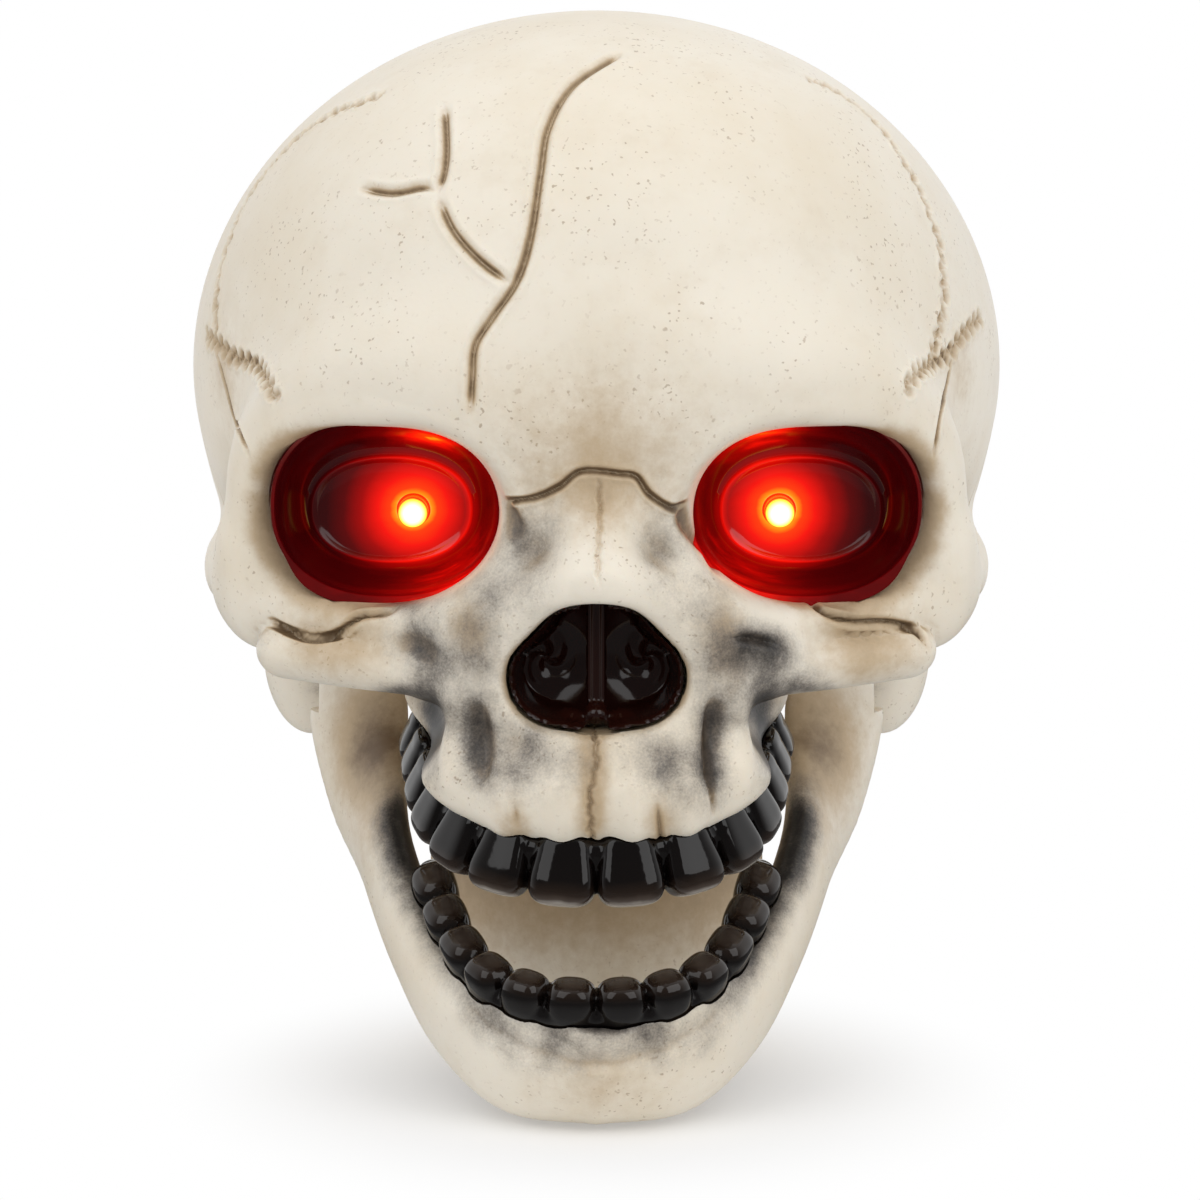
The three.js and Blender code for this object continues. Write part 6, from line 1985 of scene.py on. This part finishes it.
@dataclass
class Eyes:
    """The two red cups with their lamps."""

    centre: Pair = (33.6, 101.6)
    rim_y: float = -57.0
    depth: float = 14.0
    rim_half: Pair = (18.5, 14.8)
    floor_half: Pair = (13.0, 8.6)
    floor_z: float = 99.4
    wall: float = 1.6
    rim_wall: float = 0.5
    lip_width: float = 1.4
    lip_depth: float = 1.2
    lamp: Pair = (30.0, 99.2)
    lamp_radius: float = 2.5
    lamp_tip_y: float = -48.65
    lamp_back_y: float = -40.05
    flange_radius: float = 2.9
    flange: float = 1.0
    segments: int = 128
    square: float = 2.25
    seat_gap: float = 0.15
    seat_front: float = 0.5
    holder_radius: float = 4.8
    holder_room: float = 60.0
    hole_gap: float = 0.3
    hole: Pair = (-48.0, -38.0)
    # Painted glow on the cup's wall: bright patches at the top and low down, a patch seen through the clear
    # rim, the rim itself and a painted highlight line round the floor's edge.
    top_painted_glow: Pair = (118.0, 32.0)
    low_painted_glow: Pair = (222.0, 38.0)
    clear_rim_glow: Pair = (78.0, 30.0)
    wall_start: float = 0.93
    wall_fade: float = 1.6
    rim_depth: float = 1.4
    rim_fade: float = 1.2
    painted_glows: Triple = (0.13, 0.6, 0.36)
    highlight_line_width: float = 0.035

    def ring(self, share: float, y: float, grow: float | Values = 0.0) -> Points:
        """One ring of the cup.

        Args:
            share: 1 at the rim, 0 at the floor's edge, less than 0 inside the floor.
            y: its depth.
            grow: how far it is pushed outwards, the same all round or for each point.

        Returns:
            Its points.
        """
        angle = np.arange(self.segments) * 2 * math.pi / self.segments
        floor = np.asarray(self.floor_half)
        up = self.floor_z + (self.centre[1] - self.floor_z) * max(share, 0.0)
        if share >= 0:
            half = floor + (np.asarray(self.rim_half) - floor) * share
        else:
            half = floor * (1 + share)
        half = half[:, None] + np.ones(self.segments) * grow
        cos, sin = np.cos(angle), np.sin(angle)
        power = 2 / self.square
        x = np.sign(cos) * np.abs(cos) ** power * half[0] + self.centre[0]
        z = np.sign(sin) * np.abs(sin) ** power * half[1] + up
        return np.stack([x, np.full(len(x), y), z], 1)

    def inside(self) -> list[Pair]:
        """Share and depth of each ring, from the rim to the middle of the floor."""
        stages = [(1.0, 0.0), (0.995, 0.06), (0.97, 0.16), (0.92, 0.3), (0.84, 0.45), (0.72, 0.6), (0.56, 0.74),
                  (0.38, 0.86), (0.22, 0.935), (0.1, 0.965), (0.04, 0.955), (0.0, 0.935), (-0.03, 0.94),
                  (-0.07, 0.965), (-0.14, 0.985), (-0.3, 0.995), (-0.55, 1.0), (-0.8, 1.0)]
        return [(share, self.rim_y + part * self.depth) for share, part in stages]

    def solid(self, name: str, grow: float, front: float) -> Obj:
        """A filled cup.

        Args:
            name: the object's name.
            grow: how far it stands out from the cup's outer face.
            front: how far it reaches in front of the rim.

        Returns:
            The solid.
        """
        rim = self.thickness(self.rim_y) + grow + self.lip(self.rim_y)
        return self.lofted(name, [self.ring(1.0, self.rim_y - front, rim)] + self.outside(grow))

    def outside(self, grow: float) -> list[Points]:
        """The rings of the outer face, pushed outwards by grow."""
        rings = []
        for share, y in self.inside():
            out = self.thickness(y) + grow
            rings.append(self.ring(share, y + out if y > self.rim_y else y, out + self.lip(y)))
        return rings

    def lip(self, y: float) -> Values:
        """How far the lower rim stands out at a depth, for each point of a ring."""
        angle = np.arange(self.segments) * 2 * math.pi / self.segments
        return self.lip_width * ease(-np.sin(angle), 0.45, 0.85) * float(y < self.rim_y + self.lip_depth)

    def thickness(self, y: float) -> float:
        """The wall at a depth, thin at the rim."""
        share = float(ease(y, self.rim_y, self.rim_y + self.depth * 0.4))
        return self.rim_wall + (self.wall - self.rim_wall) * share

    def lofted(self, name: str, rings: Sequence[Points]) -> Obj:
        """A solid through a stack of rings, closed at both ends."""
        count = self.segments
        points = np.concatenate(rings)
        faces = []
        for r in range(len(rings) - 1):
            for i in range(count):
                j = (i + 1) % count
                faces.append((r * count + i, r * count + j, (r + 1) * count + j, (r + 1) * count + i))
        faces.append(tuple(range(count))[::-1])
        faces.append(tuple(range((len(rings) - 1) * count, len(rings) * count)))
        return object_from(name, points, faces)

    def seats(self) -> list[Obj]:
        """What the front shell leaves free for the cups."""
        right = self.solid("cup_seat", self.seat_gap, self.seat_front)
        return [right, mirrored(right, "cup_seat_left")]

    def bores(self) -> list[Obj]:
        """What the front shell leaves free for the lamps' holders."""
        run = (self.rim_y + self.depth, self.rim_y + self.holder_room)
        right = rod("holder_bore", self.holder_radius, *run, Axis.Y, (self.lamp[0], 0, self.lamp[1]))
        return [right, mirrored(right, "holder_bore_left")]

    def cup(self) -> Obj:
        """The right cup."""
        inside = [self.ring(share, y) for share, y in self.inside()]
        made = self.lofted("right_cup", inside[::-1] + self.outside(0.0))
        at = (self.lamp[0], 0, self.lamp[1])
        shape(made, Work.CUT, [rod("lamp_hole", self.lamp_radius + self.hole_gap, *self.hole, Axis.Y, at, 48)])
        return smooth(made, CUP_ANGLE)

    def paint_glow(self, obj: Obj) -> None:
        """Stores the painted glow on each place of a cup's wall, its painted streaks, a painted highlight line
        round the floor's edge and the painted glow seen through the clear rim.
        """
        p = folded(places(obj))
        across = p[:, 0] - self.centre[0]
        up = p[:, 2] - self.floor_z
        turn = np.degrees(np.arctan2(up, across)) % 360
        wall = ease(self.rim_y + self.depth * self.wall_start - p[:, 1], 0.0, self.wall_fade)
        spots = (self.top_painted_glow, self.low_painted_glow, self.clear_rim_glow)
        top, low, open_wall = (bell(turn - at, spread) for at, spread in spots)
        rim = ease(self.rim_y + self.rim_depth - p[:, 1], 0.0, self.rim_fade)
        all_round, at_top, at_low = self.painted_glows
        painted_glow = all_round + at_top * top + at_low * low
        out = np.abs(np.stack([across / self.floor_half[0], up / self.floor_half[1]], 1))
        edge = (out ** self.square).sum(1) ** (1 / self.square)
        line = bell(edge - 1.0, self.highlight_line_width) * (1 - wall)
        mask(obj, "wall", wall)
        mask(obj, "painted_glow", wall * (painted_glow + 0.2 * rim) + 0.16 * line)
        mask(obj, "glow_streak", 0.08 + wall * (0.25 + 0.5 * top + 0.35 * low))
        mask(obj, "clear", rim * open_wall * 0.9)

    def lamp_bulb(self) -> Obj:
        """The right lamp, a domed lens on a flange."""
        radius, tip, back = self.lamp_radius, self.lamp_tip_y, self.lamp_back_y
        dome = [(0.0, tip)]
        for a in np.linspace(0, math.pi / 2, 13)[1:]:
            dome.append((radius * math.sin(a), tip + radius * (1 - math.cos(a))))
        front = back - self.flange
        dome += [(radius, front), (self.flange_radius, front), (self.flange_radius, back), (0.0, back)]
        made = turned("right_lamp", dome, Axis.Y, (self.lamp[0], 0, self.lamp[1]), 48)
        p = places(made)
        out = np.hypot(p[:, 0] - self.lamp[0], p[:, 2] - self.lamp[1])
        mask(made, "foot", (out / self.lamp_radius) ** 2)
        return smooth(made)

    def build(self) -> list[Obj]:
        """Builds both cups and lamps."""
        cup = self.cup()
        self.paint_glow(cup)
        bulb = self.lamp_bulb()
        made = [cup, mirrored(cup, "left_cup"), bulb, mirrored(bulb, "left_lamp")]
        for obj, side in zip(made[:2], ("right", "left")):
            hand_over(obj, Body.SKULL, [f"{side}_eye_cup"], Paint.LENS)
        for obj, side in zip(made[2:], ("right", "left")):
            hand_over(obj, Body.SKULL, [f"{side}_eye_led"], Paint.LAMP)
        return made


EYES = Eyes()


@dataclass
class Nose:
    """The dark plug in the nose opening, with a septum and folded nostril walls."""

    clearance: float = 0.35
    inset: float = 1.2
    septum_half: float = 1.2
    septum_y: float = -67.5
    septum_edge: float = 0.8
    floor_y: float = -60.5
    rim: float = 1.3
    swirl: Pair = (8.2, 77.5)
    spine: tuple = (((0, -68.0, 69.4), (2.0, 2.4, 1.8)), ((4.2, -67.2, 68.8), (2.4, 2.4, 1.5)))
    step: float = 0.5
    fold_height: float = 0.45
    fold_reach: float = 6.0
    fold_turns: int = 2
    fold_twist: float = 0.8
    fold_start: float = 0.9
    floor_bowl: float = 0.06
    room: tuple[Triple, Triple] = ((-20, -78, 62), (20, -46, 96))
    seat_gap: float = 0.63
    seat_step: float = 1.2
    seat_room: tuple[Triple, Triple] = ((-22, -80, 60), (22, -44, 98))

    def plug(self, p: Points) -> Values:
        """Distances to the plain plug."""
        q = folded(p)
        return np.maximum(FORM.nose_hole(q) + self.clearance, FORM.face(q) + self.inset)

    def field(self, p: Points) -> Values:
        """Distances to the plug with its nostril hollows, folds, septum and spine."""
        q = folded(p)
        x, y, z = q.T
        hole = FORM.nose_hole(q)
        dx, dz = x - self.swirl[0], z - self.swirl[1]
        out = np.hypot(dx, dz)
        turn = np.sin(np.arctan2(dz, dx) * self.fold_turns + out * self.fold_twist + self.fold_start)
        fold = self.fold_height * turn * ease(self.fold_reach - out, 0.0, self.fold_reach / 2)
        floor = self.floor_y - fold - self.floor_bowl * np.maximum(out - self.fold_reach / 2, 0) ** 2
        hollow = np.maximum(np.maximum(hole + self.rim, self.septum_half - x), y - floor)
        d = carve(self.plug(q), hollow, 1.2)
        front = self.septum_y - 30 * ease(x, self.septum_half, self.septum_half + 2.0)
        d = np.maximum(d, front - self.septum_edge * bell(x - self.septum_half, 0.45) - y)
        for centre, radii in self.spine:
            d = blend(d, Ellipsoid(centre, radii)(q), 0.8)
        return np.maximum(d, hole + self.clearance)

    def seat(self) -> Obj:
        """What the front shell leaves free."""
        grown = skin_of(lambda p: self.plug(p) - self.seat_gap, *self.seat_room, self.seat_step)
        return object_from("nose_seat", *grown)

    def build(self) -> Obj:
        """Builds the plug."""
        made = object_from("nose_plug", *skin_of(self.field, *self.room, self.step))
        smooth(made, ROUND_ANGLE)
        mask(made, "tip", np.full(len(made.data.vertices), 0.3))
        return hand_over(made, Body.SKULL, ["nose_insert"], Paint.MAROON)


NOSE = Nose()


@dataclass
class Teeth:
    """A strip of smoke-black teeth."""

    name: str
    node: str
    row: ToothRow
    body: Body
    low: Triple
    high: Triple
    # Strength of the painted highlight at the tooth tips.
    clear: float = 1.0
    step: float = 0.45
    clearance: float = 0.3
    seat_step: float = 1.1

    def seat(self) -> Obj:
        """What the bone leaves free for the strip."""
        grown = skin_of(lambda p: self.row(p) - self.clearance, self.low, self.high, self.seat_step)
        return object_from(f"{self.name}_seat", *grown)

    def build(self) -> Obj:
        """Builds the strip."""
        made = object_from(self.name, *skin_of(self.row, self.low, self.high, self.step))
        smooth(made, ROUND_ANGLE)
        # Painted highlight: the tips turn brown and pale.
        mask(made, "tip", self.row.reach(places(made)) * self.clear)
        return hand_over(made, self.body, [self.node], Paint.SMOKE)


UPPER_TEETH = Teeth("upper_tooth_strip", "upper_teeth", UPPER_ROW, Body.SKULL, (-44, -88, 32), (44, -16, 76))
LOWER_TEETH = Teeth("lower_tooth_strip", "lower_teeth", LOWER_ROW, Body.JAW, (-42, -84, 10), (42, -24, 56),
                    clear=0.86)


GUM_STEP = 2.1
GUM_PERIOD = 7.4
GUM_CURVE = 0.0165
CHIN_Y = -74.0
CHIN_CURVE = 0.010


def gum_wave(z: float, rise: float) -> tuple:
    """The wavy bone edge under the lower gum, as points across the chin.

    Args:
        z: how low it runs at the middle.
        rise: how high each wave is.

    Returns:
        Points near the chin's front.
    """
    points = []
    for i in range(-12, 13):
        x = i * GUM_STEP
        wave = rise * math.cos(x * 2 * math.pi / GUM_PERIOD)
        points.append((x, CHIN_Y + CHIN_CURVE * x * x, z + GUM_CURVE * x * x + wave))
    return tuple(points)


JAW_DETAIL = BoneDetail(
    grooves=dict(
        gum_edge=Groove(Line(gum_wave(13.4, 0.3), Drawn.MODEL), 1.2, 0.45, 0.2, 0.2, 5.0),
    ),
    bumps=dict(
        gum_rim=ridge(1.6, 1.6, (445, 930), (465, 969), (491, 998), (514, 1017), (533, 1023), (550, 1021),
                      (568, 1028), (583, 1038), (602, 1040), (621, 1038), (637, 1028), (660, 1023), (683, 1017),
                      (702, 1000), (721, 984), (745, 940)),
        chin_swell=Bump((600, 1075), 9.0, 0.6),
        left_swell=Bump((470, 1015), 5.0, 0.5),
        right_swell=Bump((730, 1012), 5.0, 0.5),
    ),
    strokes=dict(
        left_branch=smoke(4.8, 1.1, (396, 792), (408, 850), (426, 895)),
        left_side=smoke(4.2, 0.9, (424, 890), (446, 940), (474, 980)),
        right_branch=smoke(4.6, 1.1, (803, 792), (790, 850), (772, 895)),
        right_side=smoke(4.0, 0.8, (774, 890), (752, 940), (726, 980)),
        gum_line=smoke(3.2, 1.1, (450, 930), (490, 985), (540, 1012), (600, 1024), (660, 1012), (712, 982),
                       (748, 930)),
        left_chin_side=smoke(5.0, 0.65, (476, 985), (512, 1044)),
        left_chin=smoke(5.0, 0.65, (528, 1040), (572, 1056)),
        chin=smoke(3.5, 0.3, (590, 1046), (612, 1046)),
        right_chin=smoke(5.0, 0.55, (630, 1038), (692, 1040)),
        right_chin_side=smoke(4.5, 0.5, (738, 980), (708, 1028)),
        chin_wash=earth(7.0, 0.3, (560, 1085), (640, 1085)),
        left_side_wash=earth(5.0, 0.3, (440, 900), (480, 980)),
        right_side_wash=earth(5.0, 0.25, (765, 900), (720, 980)),
        # Painted shade: the inner faces of the jaw's branches darkened in brown.
        left_branch_shade=earth(11.0, 1.0, (392, 684), (380, 740), (388, 795)),
        right_branch_shade=earth(11.0, 0.8, (806, 684), (818, 740), (810, 795)),
    ),
    hollow_dirt_and_shade=0.55,
    painted_shade=0.1,
)


@dataclass
class Jaw:
    """The jaw bone with its hinge eyes."""

    step: float = 0.8
    room: tuple[Triple, Triple] = ((-58, -86, -6), (58, 16, 96))
    eye_radius: float = 6.0
    eye: Pair = (39.5, 47.5)
    far: float = 80.0
    trim_y: float = 30.0
    trim_z: Pair = (60.0, 100.0)

    def build(self) -> Obj:
        """Builds the jaw."""
        surface = Surface("jaw_bone", JAW_FORM, *self.room, self.step)
        made = JAW_DETAIL.emboss(surface, 1)
        at = (0, *HINGE)
        inner, outer = self.eye
        low, high = self.trim_z
        for near, far in (((inner, outer), (outer, self.far)), ((-outer, -inner), (-self.far, -outer))):
            trim = block("trim", (far[0], -self.trim_y, low), (far[1], self.trim_y, high))
            shape(made, Work.CUT, [trim])
            shape(made, Work.JOIN, [rod("eye", self.eye_radius, *near, Axis.X, at, 64)])
        bore = rod("bore", AXLE_BORE, -self.far, self.far, Axis.X, at)
        shape(made, Work.CUT, [LOWER_TEETH.seat(), bore])
        smooth(made)
        JAW_DETAIL.stain_and_shade(made, surface)
        return hand_over(made, Body.JAW, ["jaw"], Paint.BONE)


@dataclass
class Stand:
    """The neck column with its deck, the base plate and the switch knob."""

    foot: float = 26.5
    belly: float = 29.0
    top: float = 26.0
    wall: float = 2.4
    foot_z: float = 3.95
    deck: Pair = (66.0, 69.0)
    lip: float = 4.0
    base: float = 3.6
    switch_z: float = 27.0
    slot: Pair = (4.35, 1.95)
    slot_y: Pair = (30.0, 50.0)
    edge: float = 0.5
    rounding: float = 0.3
    well_top: float = 2.0
    hole_top: float = 9.0
    knob_half: Pair = (2.0, 1.6)
    knob_x: float = -2.0
    knob_y: Pair = (35.5, 40.6)
    rib_gap: float = 1.1
    rib_half: float = 0.22
    rib_depth: float = 0.5

    def neck(self) -> Obj:
        """The column."""
        w = self.wall
        foot, belly, top, lip = self.foot, self.belly, self.top, self.top + self.lip
        under, deck = self.deck
        outer = [(foot, self.foot_z), (foot + 1.5, 6.4), (belly - 0.6, 10), (belly - 0.1, 14), (belly, 20)]
        outer += [(belly, 32), (belly - 0.4, 37), (top + 1.4, 44.5), (top + 0.4, 49), (top, 53), (top, under)]
        inner = [(0, under), (top - w, under), (top - w, 52), (belly - w, 36), (belly - w, 14)]
        inner += [(foot - w, self.foot_z)]
        rim = [(lip, under), (lip, deck), (0, deck)]
        made = turned("neck_column", inner + outer + rim, Axis.Z, (0, NECK_Y, 0), 128)
        half_x, half_z = self.slot
        low = (-half_x, self.slot_y[0], self.switch_z - half_z)
        high = (half_x, self.slot_y[1], self.switch_z + half_z)
        shape(made, Work.CUT, [block("knob_slot", low, high, self.rounding)])
        smooth(made)
        z = places(made)[:, 2]
        # Painted shade: brown over the upper column, which shows through the mouth, and more under the deck;
        # also brown towards the foot.
        mask(made, "earth", 0.5 * (1 - ease(z, 4, 9)) + 0.6 * ease(z, 12, 30) + 0.2 * ease(z, 46, 60))
        mask(made, "smoke", np.zeros(len(z)))
        return hand_over(made, Body.SKULL, ["neck_stand"], Paint.BONE)

    def plate(self) -> Obj:
        """The round base plate."""
        edge = self.edge
        profile = [(0, 0), (self.foot - edge, 0), (self.foot, edge), (self.foot, self.base - edge),
                   (self.foot - edge, self.base), (0, self.base)]
        made = turned("base_cover", profile, Axis.Z, (0, NECK_Y, 0), 128)
        cuts = []
        for side in (-1, 1):
            at = (side * BASE_SCREW_X, NECK_Y, 0)
            cuts.append(rod("screw_well", SCREW_WELL, -1, self.well_top, Axis.Z, at))
            cuts.append(rod("screw_hole", SCREW_BORE, -1, self.hole_top, Axis.Z, at, 24))
        shape(made, Work.CUT, cuts)
        smooth(made)
        p = places(made)
        mask(made, "earth", np.full(len(p), 0.06))
        mask(made, "smoke", np.zeros(len(p)))
        return hand_over(made, Body.SKULL, ["base_plate"], Paint.BONE)

    def knob(self) -> Obj:
        """The ribbed switch knob."""
        half_x, half_z = self.knob_half
        low = (self.knob_x - half_x, self.knob_y[0], self.switch_z - half_z)
        high = (self.knob_x + half_x, self.knob_y[1], self.switch_z + half_z)
        made = block("switch_slider", low, high, self.rounding)
        cuts = []
        for i in range(-1, 2):
            x = self.knob_x + i * self.rib_gap
            start = (x - self.rib_half, high[1] - self.rib_depth, low[2] - 1)
            cuts.append(block("rib", start, (x + self.rib_half, high[1] + 1, high[2] + 1)))
        shape(made, Work.CUT, cuts)
        smooth(made)
        return hand_over(made, Body.KNOB, ["switch_knob"], Paint.BLACK)

    def build(self) -> list[Obj]:
        """Builds the stand."""
        return [self.neck(), self.plate(), self.knob()]


@dataclass(frozen=True)
class Screw:
    """A pan-head screw with a cross recess."""

    node: str
    body: Body
    axis: Axis
    sign: int
    at: Triple
    head_radius: float = 2.7
    head_length: float = 1.8
    shank_radius: float = 1.3
    shank_length: float = 14.0
    point_length: float = 1.6
    rim: float = 0.45
    recess_half: float = 0.62
    recess_thin: float = 0.13
    recess_floor: float = 0.35

    def build(self) -> Obj:
        """Builds the screw, its head face towards the sign of its axis."""
        r, h = self.head_radius, self.head_length
        turns = np.linspace(0, math.pi / 2, 7)[:-1]
        crown = [(r * math.cos(a), h * (self.rim + (1 - self.rim) * math.sin(a))) for a in turns]
        profile = [(0, -self.shank_length), (self.shank_radius * 0.4, -self.shank_length)]
        profile += [(self.shank_radius, self.point_length - self.shank_length), (self.shank_radius, 0), (r, 0)]
        profile += crown + [(0, h)]
        made = turned(f"{self.node}_head", [(a, b * self.sign) for a, b in profile], self.axis, (0, 0, 0), 40)
        made.data.transform(Matrix.Translation(Vector(self.at) * MM))
        axis = self.axis.value
        for turn in range(2):
            high = np.full(3, r * self.recess_half)
            high[(axis + 1 + turn) % 3] = r * self.recess_thin
            low = -high
            low[axis], high[axis] = sorted((self.sign * h * self.recess_floor, self.sign * h * 2))
            shape(made, Work.CUT, [block("recess", tuple(low + self.at), tuple(high + self.at))])
        smooth(made)
        return hand_over(made, self.body, [self.node], Paint.STEEL)


SHELL_SCREW_Y = 3.2
BASE_SCREW_Z = 1.8
AXLE_SCREW_X = 47.85


def screws() -> list[Screw]:
    """Every screw that shows from outside."""
    made = []
    for i, (x, z) in enumerate(Shells.screw_sites):
        made.append(Screw(f"shell_screw_{i + 1}", Body.SKULL, Axis.Y, 1, (x, SHELL_SCREW_Y, z)))
    for i, side in enumerate((-1, 1)):
        at = (side * BASE_SCREW_X, NECK_Y, BASE_SCREW_Z)
        made.append(Screw(f"base_screw_{i + 1}", Body.SKULL, Axis.Z, -1, at,
                          head_length=1.4, shank_length=12.2))
    for side, name in ((1, "right"), (-1, "left")):
        made.append(Screw(f"{name}_axle_screw", Body.JAW, Axis.X, side, (side * AXLE_SCREW_X, *HINGE),
                          head_radius=3.6, shank_radius=1.1, shank_length=8.7))
    return made


INNER_NODES: dict[Paint, tuple[str, ...]] = {
    Paint.BLACK: ("right_led_holder", "left_led_holder", "gear_frame", "battery_tray", "switch_body",
                  "speaker"),
    Paint.STEEL: ("jaw_axle", "lay_pin", "motor_shaft", "lower_contact_plate", "frame_screw_1", "frame_screw_2",
                  "upper_contact_1", "upper_contact_2", "upper_contact_3"),
    Paint.NYLON: ("sector_gear", "lay_gear"),
    Paint.BRASS: ("motor_pinion",),
    Paint.CAN: ("motor",),
    Paint.BOARD: ("circuit_board",),
    Paint.WRAP: ("battery_cell_1", "battery_cell_2", "battery_cell_3"),
}


@dataclass(frozen=True)
class SoftBox:
    """An upright soft light that points at the skull, in metres and watts."""

    name: str
    at: Triple
    size: float
    power: float
    tall: float = 1.3
    target: Triple = (0, 0, 0.1)

    def build(self) -> None:
        """Hangs the light."""
        data = bpy.data.lights.new(self.name, "AREA")
        data.shape = "RECTANGLE"
        data.size = self.size
        data.size_y = self.size * self.tall
        data.energy = self.power
        made = linked(self.name, data)
        made.location = self.at
        made.rotation_euler = (Vector(self.target) - Vector(self.at)).to_track_quat("-Z", "Y").to_euler()


@dataclass
class Studio:
    """A white floor and soft light from all sides."""

    ambient: float = 0.74
    floor_radius: float = 400.0
    floor_glow: float = 0.2
    floor_shine: float = 0.18
    floor_bounce: float = 0.85
    floor_colour: Colour = (0.75, 0.75, 0.75)
    shadow_centre: Triple = (0.0, -28.0, 0.0)
    shadow_half: Triple = (66.0, 80.0, 10.0)
    floor_sides: int = 96
    floor_z: float = -0.2
    white: Colour = (1.0, 1.0, 1.0)
    black: Colour = (0.0, 0.0, 0.0)
    shadow_fade: Pair = (0.3, 1.15)
    gloss_edges: Pair = (-0.75, 0.35)
    gloss_front: float = 0.12
    boxes: tuple = (
        SoftBox("key_box", (-0.55, -0.75, 0.85), 0.7, 2.7),
        SoftBox("fill_box", (0.6, -0.75, 0.75), 0.7, 3.0),
        SoftBox("top_box", (0.05, -0.1, 1.1), 0.9, 0.3),
    )

    def world(self) -> None:
        """An even white surround, dimmer for what it lights than for what is seen."""
        world = bpy.data.worlds.new("studio")
        bpy.context.scene.world = world
        world.use_nodes = True
        tree = Tree(world.node_tree)
        path = tree.add("ShaderNodeLightPath")
        seen = tree.maths("MAXIMUM", path.outputs["Is Camera Ray"], path.outputs["Is Transmission Ray"])
        coords = tree.add("ShaderNodeTexCoord").outputs["Generated"]
        parts = tree.add("ShaderNodeSeparateXYZ", Vector=coords)
        behind = tree.step(parts.outputs[1], *self.gloss_edges, 1 - self.gloss_front)
        gloss = tree.times(path.outputs["Is Glossy Ray"], tree.plus(behind, self.gloss_front))
        level = tree.plus(tree.times(path.outputs["Is Diffuse Ray"], self.ambient), gloss)
        back = tree.add("ShaderNodeBackground", Color=self.white, Strength=tree.maths("MAXIMUM", seen, level))
        tree.add("ShaderNodeOutputWorld", Surface=back.outputs[0])

    def floor(self) -> None:
        """A round white floor that keeps the shadow and fades into the background."""
        count = self.floor_sides
        angle = np.arange(count) * 2 * math.pi / count
        ring = Axis.Z.place(np.full(count, self.floor_radius), angle, np.full(count, self.floor_z))
        made = object_from("floor", ring, [tuple(range(count))])
        material = bpy.data.materials.new("white_floor")
        material.use_nodes = True
        tree = Tree(material.node_tree)
        path = tree.add("ShaderNodeLightPath")
        where = tree.add("ShaderNodeTexCoord").outputs["Object"]
        centred = tree.vector("SUBTRACT", where, tuple(x * MM for x in self.shadow_centre))
        scaled = tree.vector("DIVIDE", centred.outputs[0], tuple(x * MM for x in self.shadow_half))
        fade = tree.step(tree.vector("LENGTH", scaled.outputs[0]).outputs["Value"], *self.shadow_fade)
        dim = tree.times(path.outputs["Is Glossy Ray"], self.floor_shine)
        seen = tree.maths("MAXIMUM", path.outputs["Is Camera Ray"], dim)
        lit = tree.times(path.outputs["Is Diffuse Ray"], self.floor_bounce)
        level = tree.plus(tree.times(fade, 1 - self.floor_glow), self.floor_glow)
        strength = tree.times(tree.maths("MAXIMUM", seen, lit), level)
        shine = tree.add("ShaderNodeEmission", Color=self.white, Strength=strength)
        matt = tree.add("ShaderNodeBsdfDiffuse", Color=tree.mix(fade, self.floor_colour, self.black))
        both = tree.add("ShaderNodeAddShader")
        tree.give(both.inputs[0], matt.outputs[0])
        tree.give(both.inputs[1], shine.outputs[0])
        tree.add("ShaderNodeOutputMaterial", Surface=both.outputs[0])
        made.data.materials.append(material)

    def build(self) -> None:
        """Sets the stage."""
        bpy.context.scene.view_settings.view_transform = "Standard"
        self.world()
        self.floor()
        for box in self.boxes:
            box.build()


def main() -> None:
    """Builds the sub-assemblies in order."""
    logging.basicConfig(level=logging.INFO, format="%(name)s %(message)s")
    Effects.make()
    CAMERA.place()
    Studio().build()
    Shells().build()
    EYES.build()
    NOSE.build()
    UPPER_TEETH.build()
    LOWER_TEETH.build()
    Jaw().build()
    Stand().build()
    for screw in screws():
        screw.build()
    for paint, names in INNER_NODES.items():
        for name in names:
            dress(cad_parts[name], paint)
            LOG.info("%s: %s", name, paint.name)


if __name__ == "__main__":
    main()
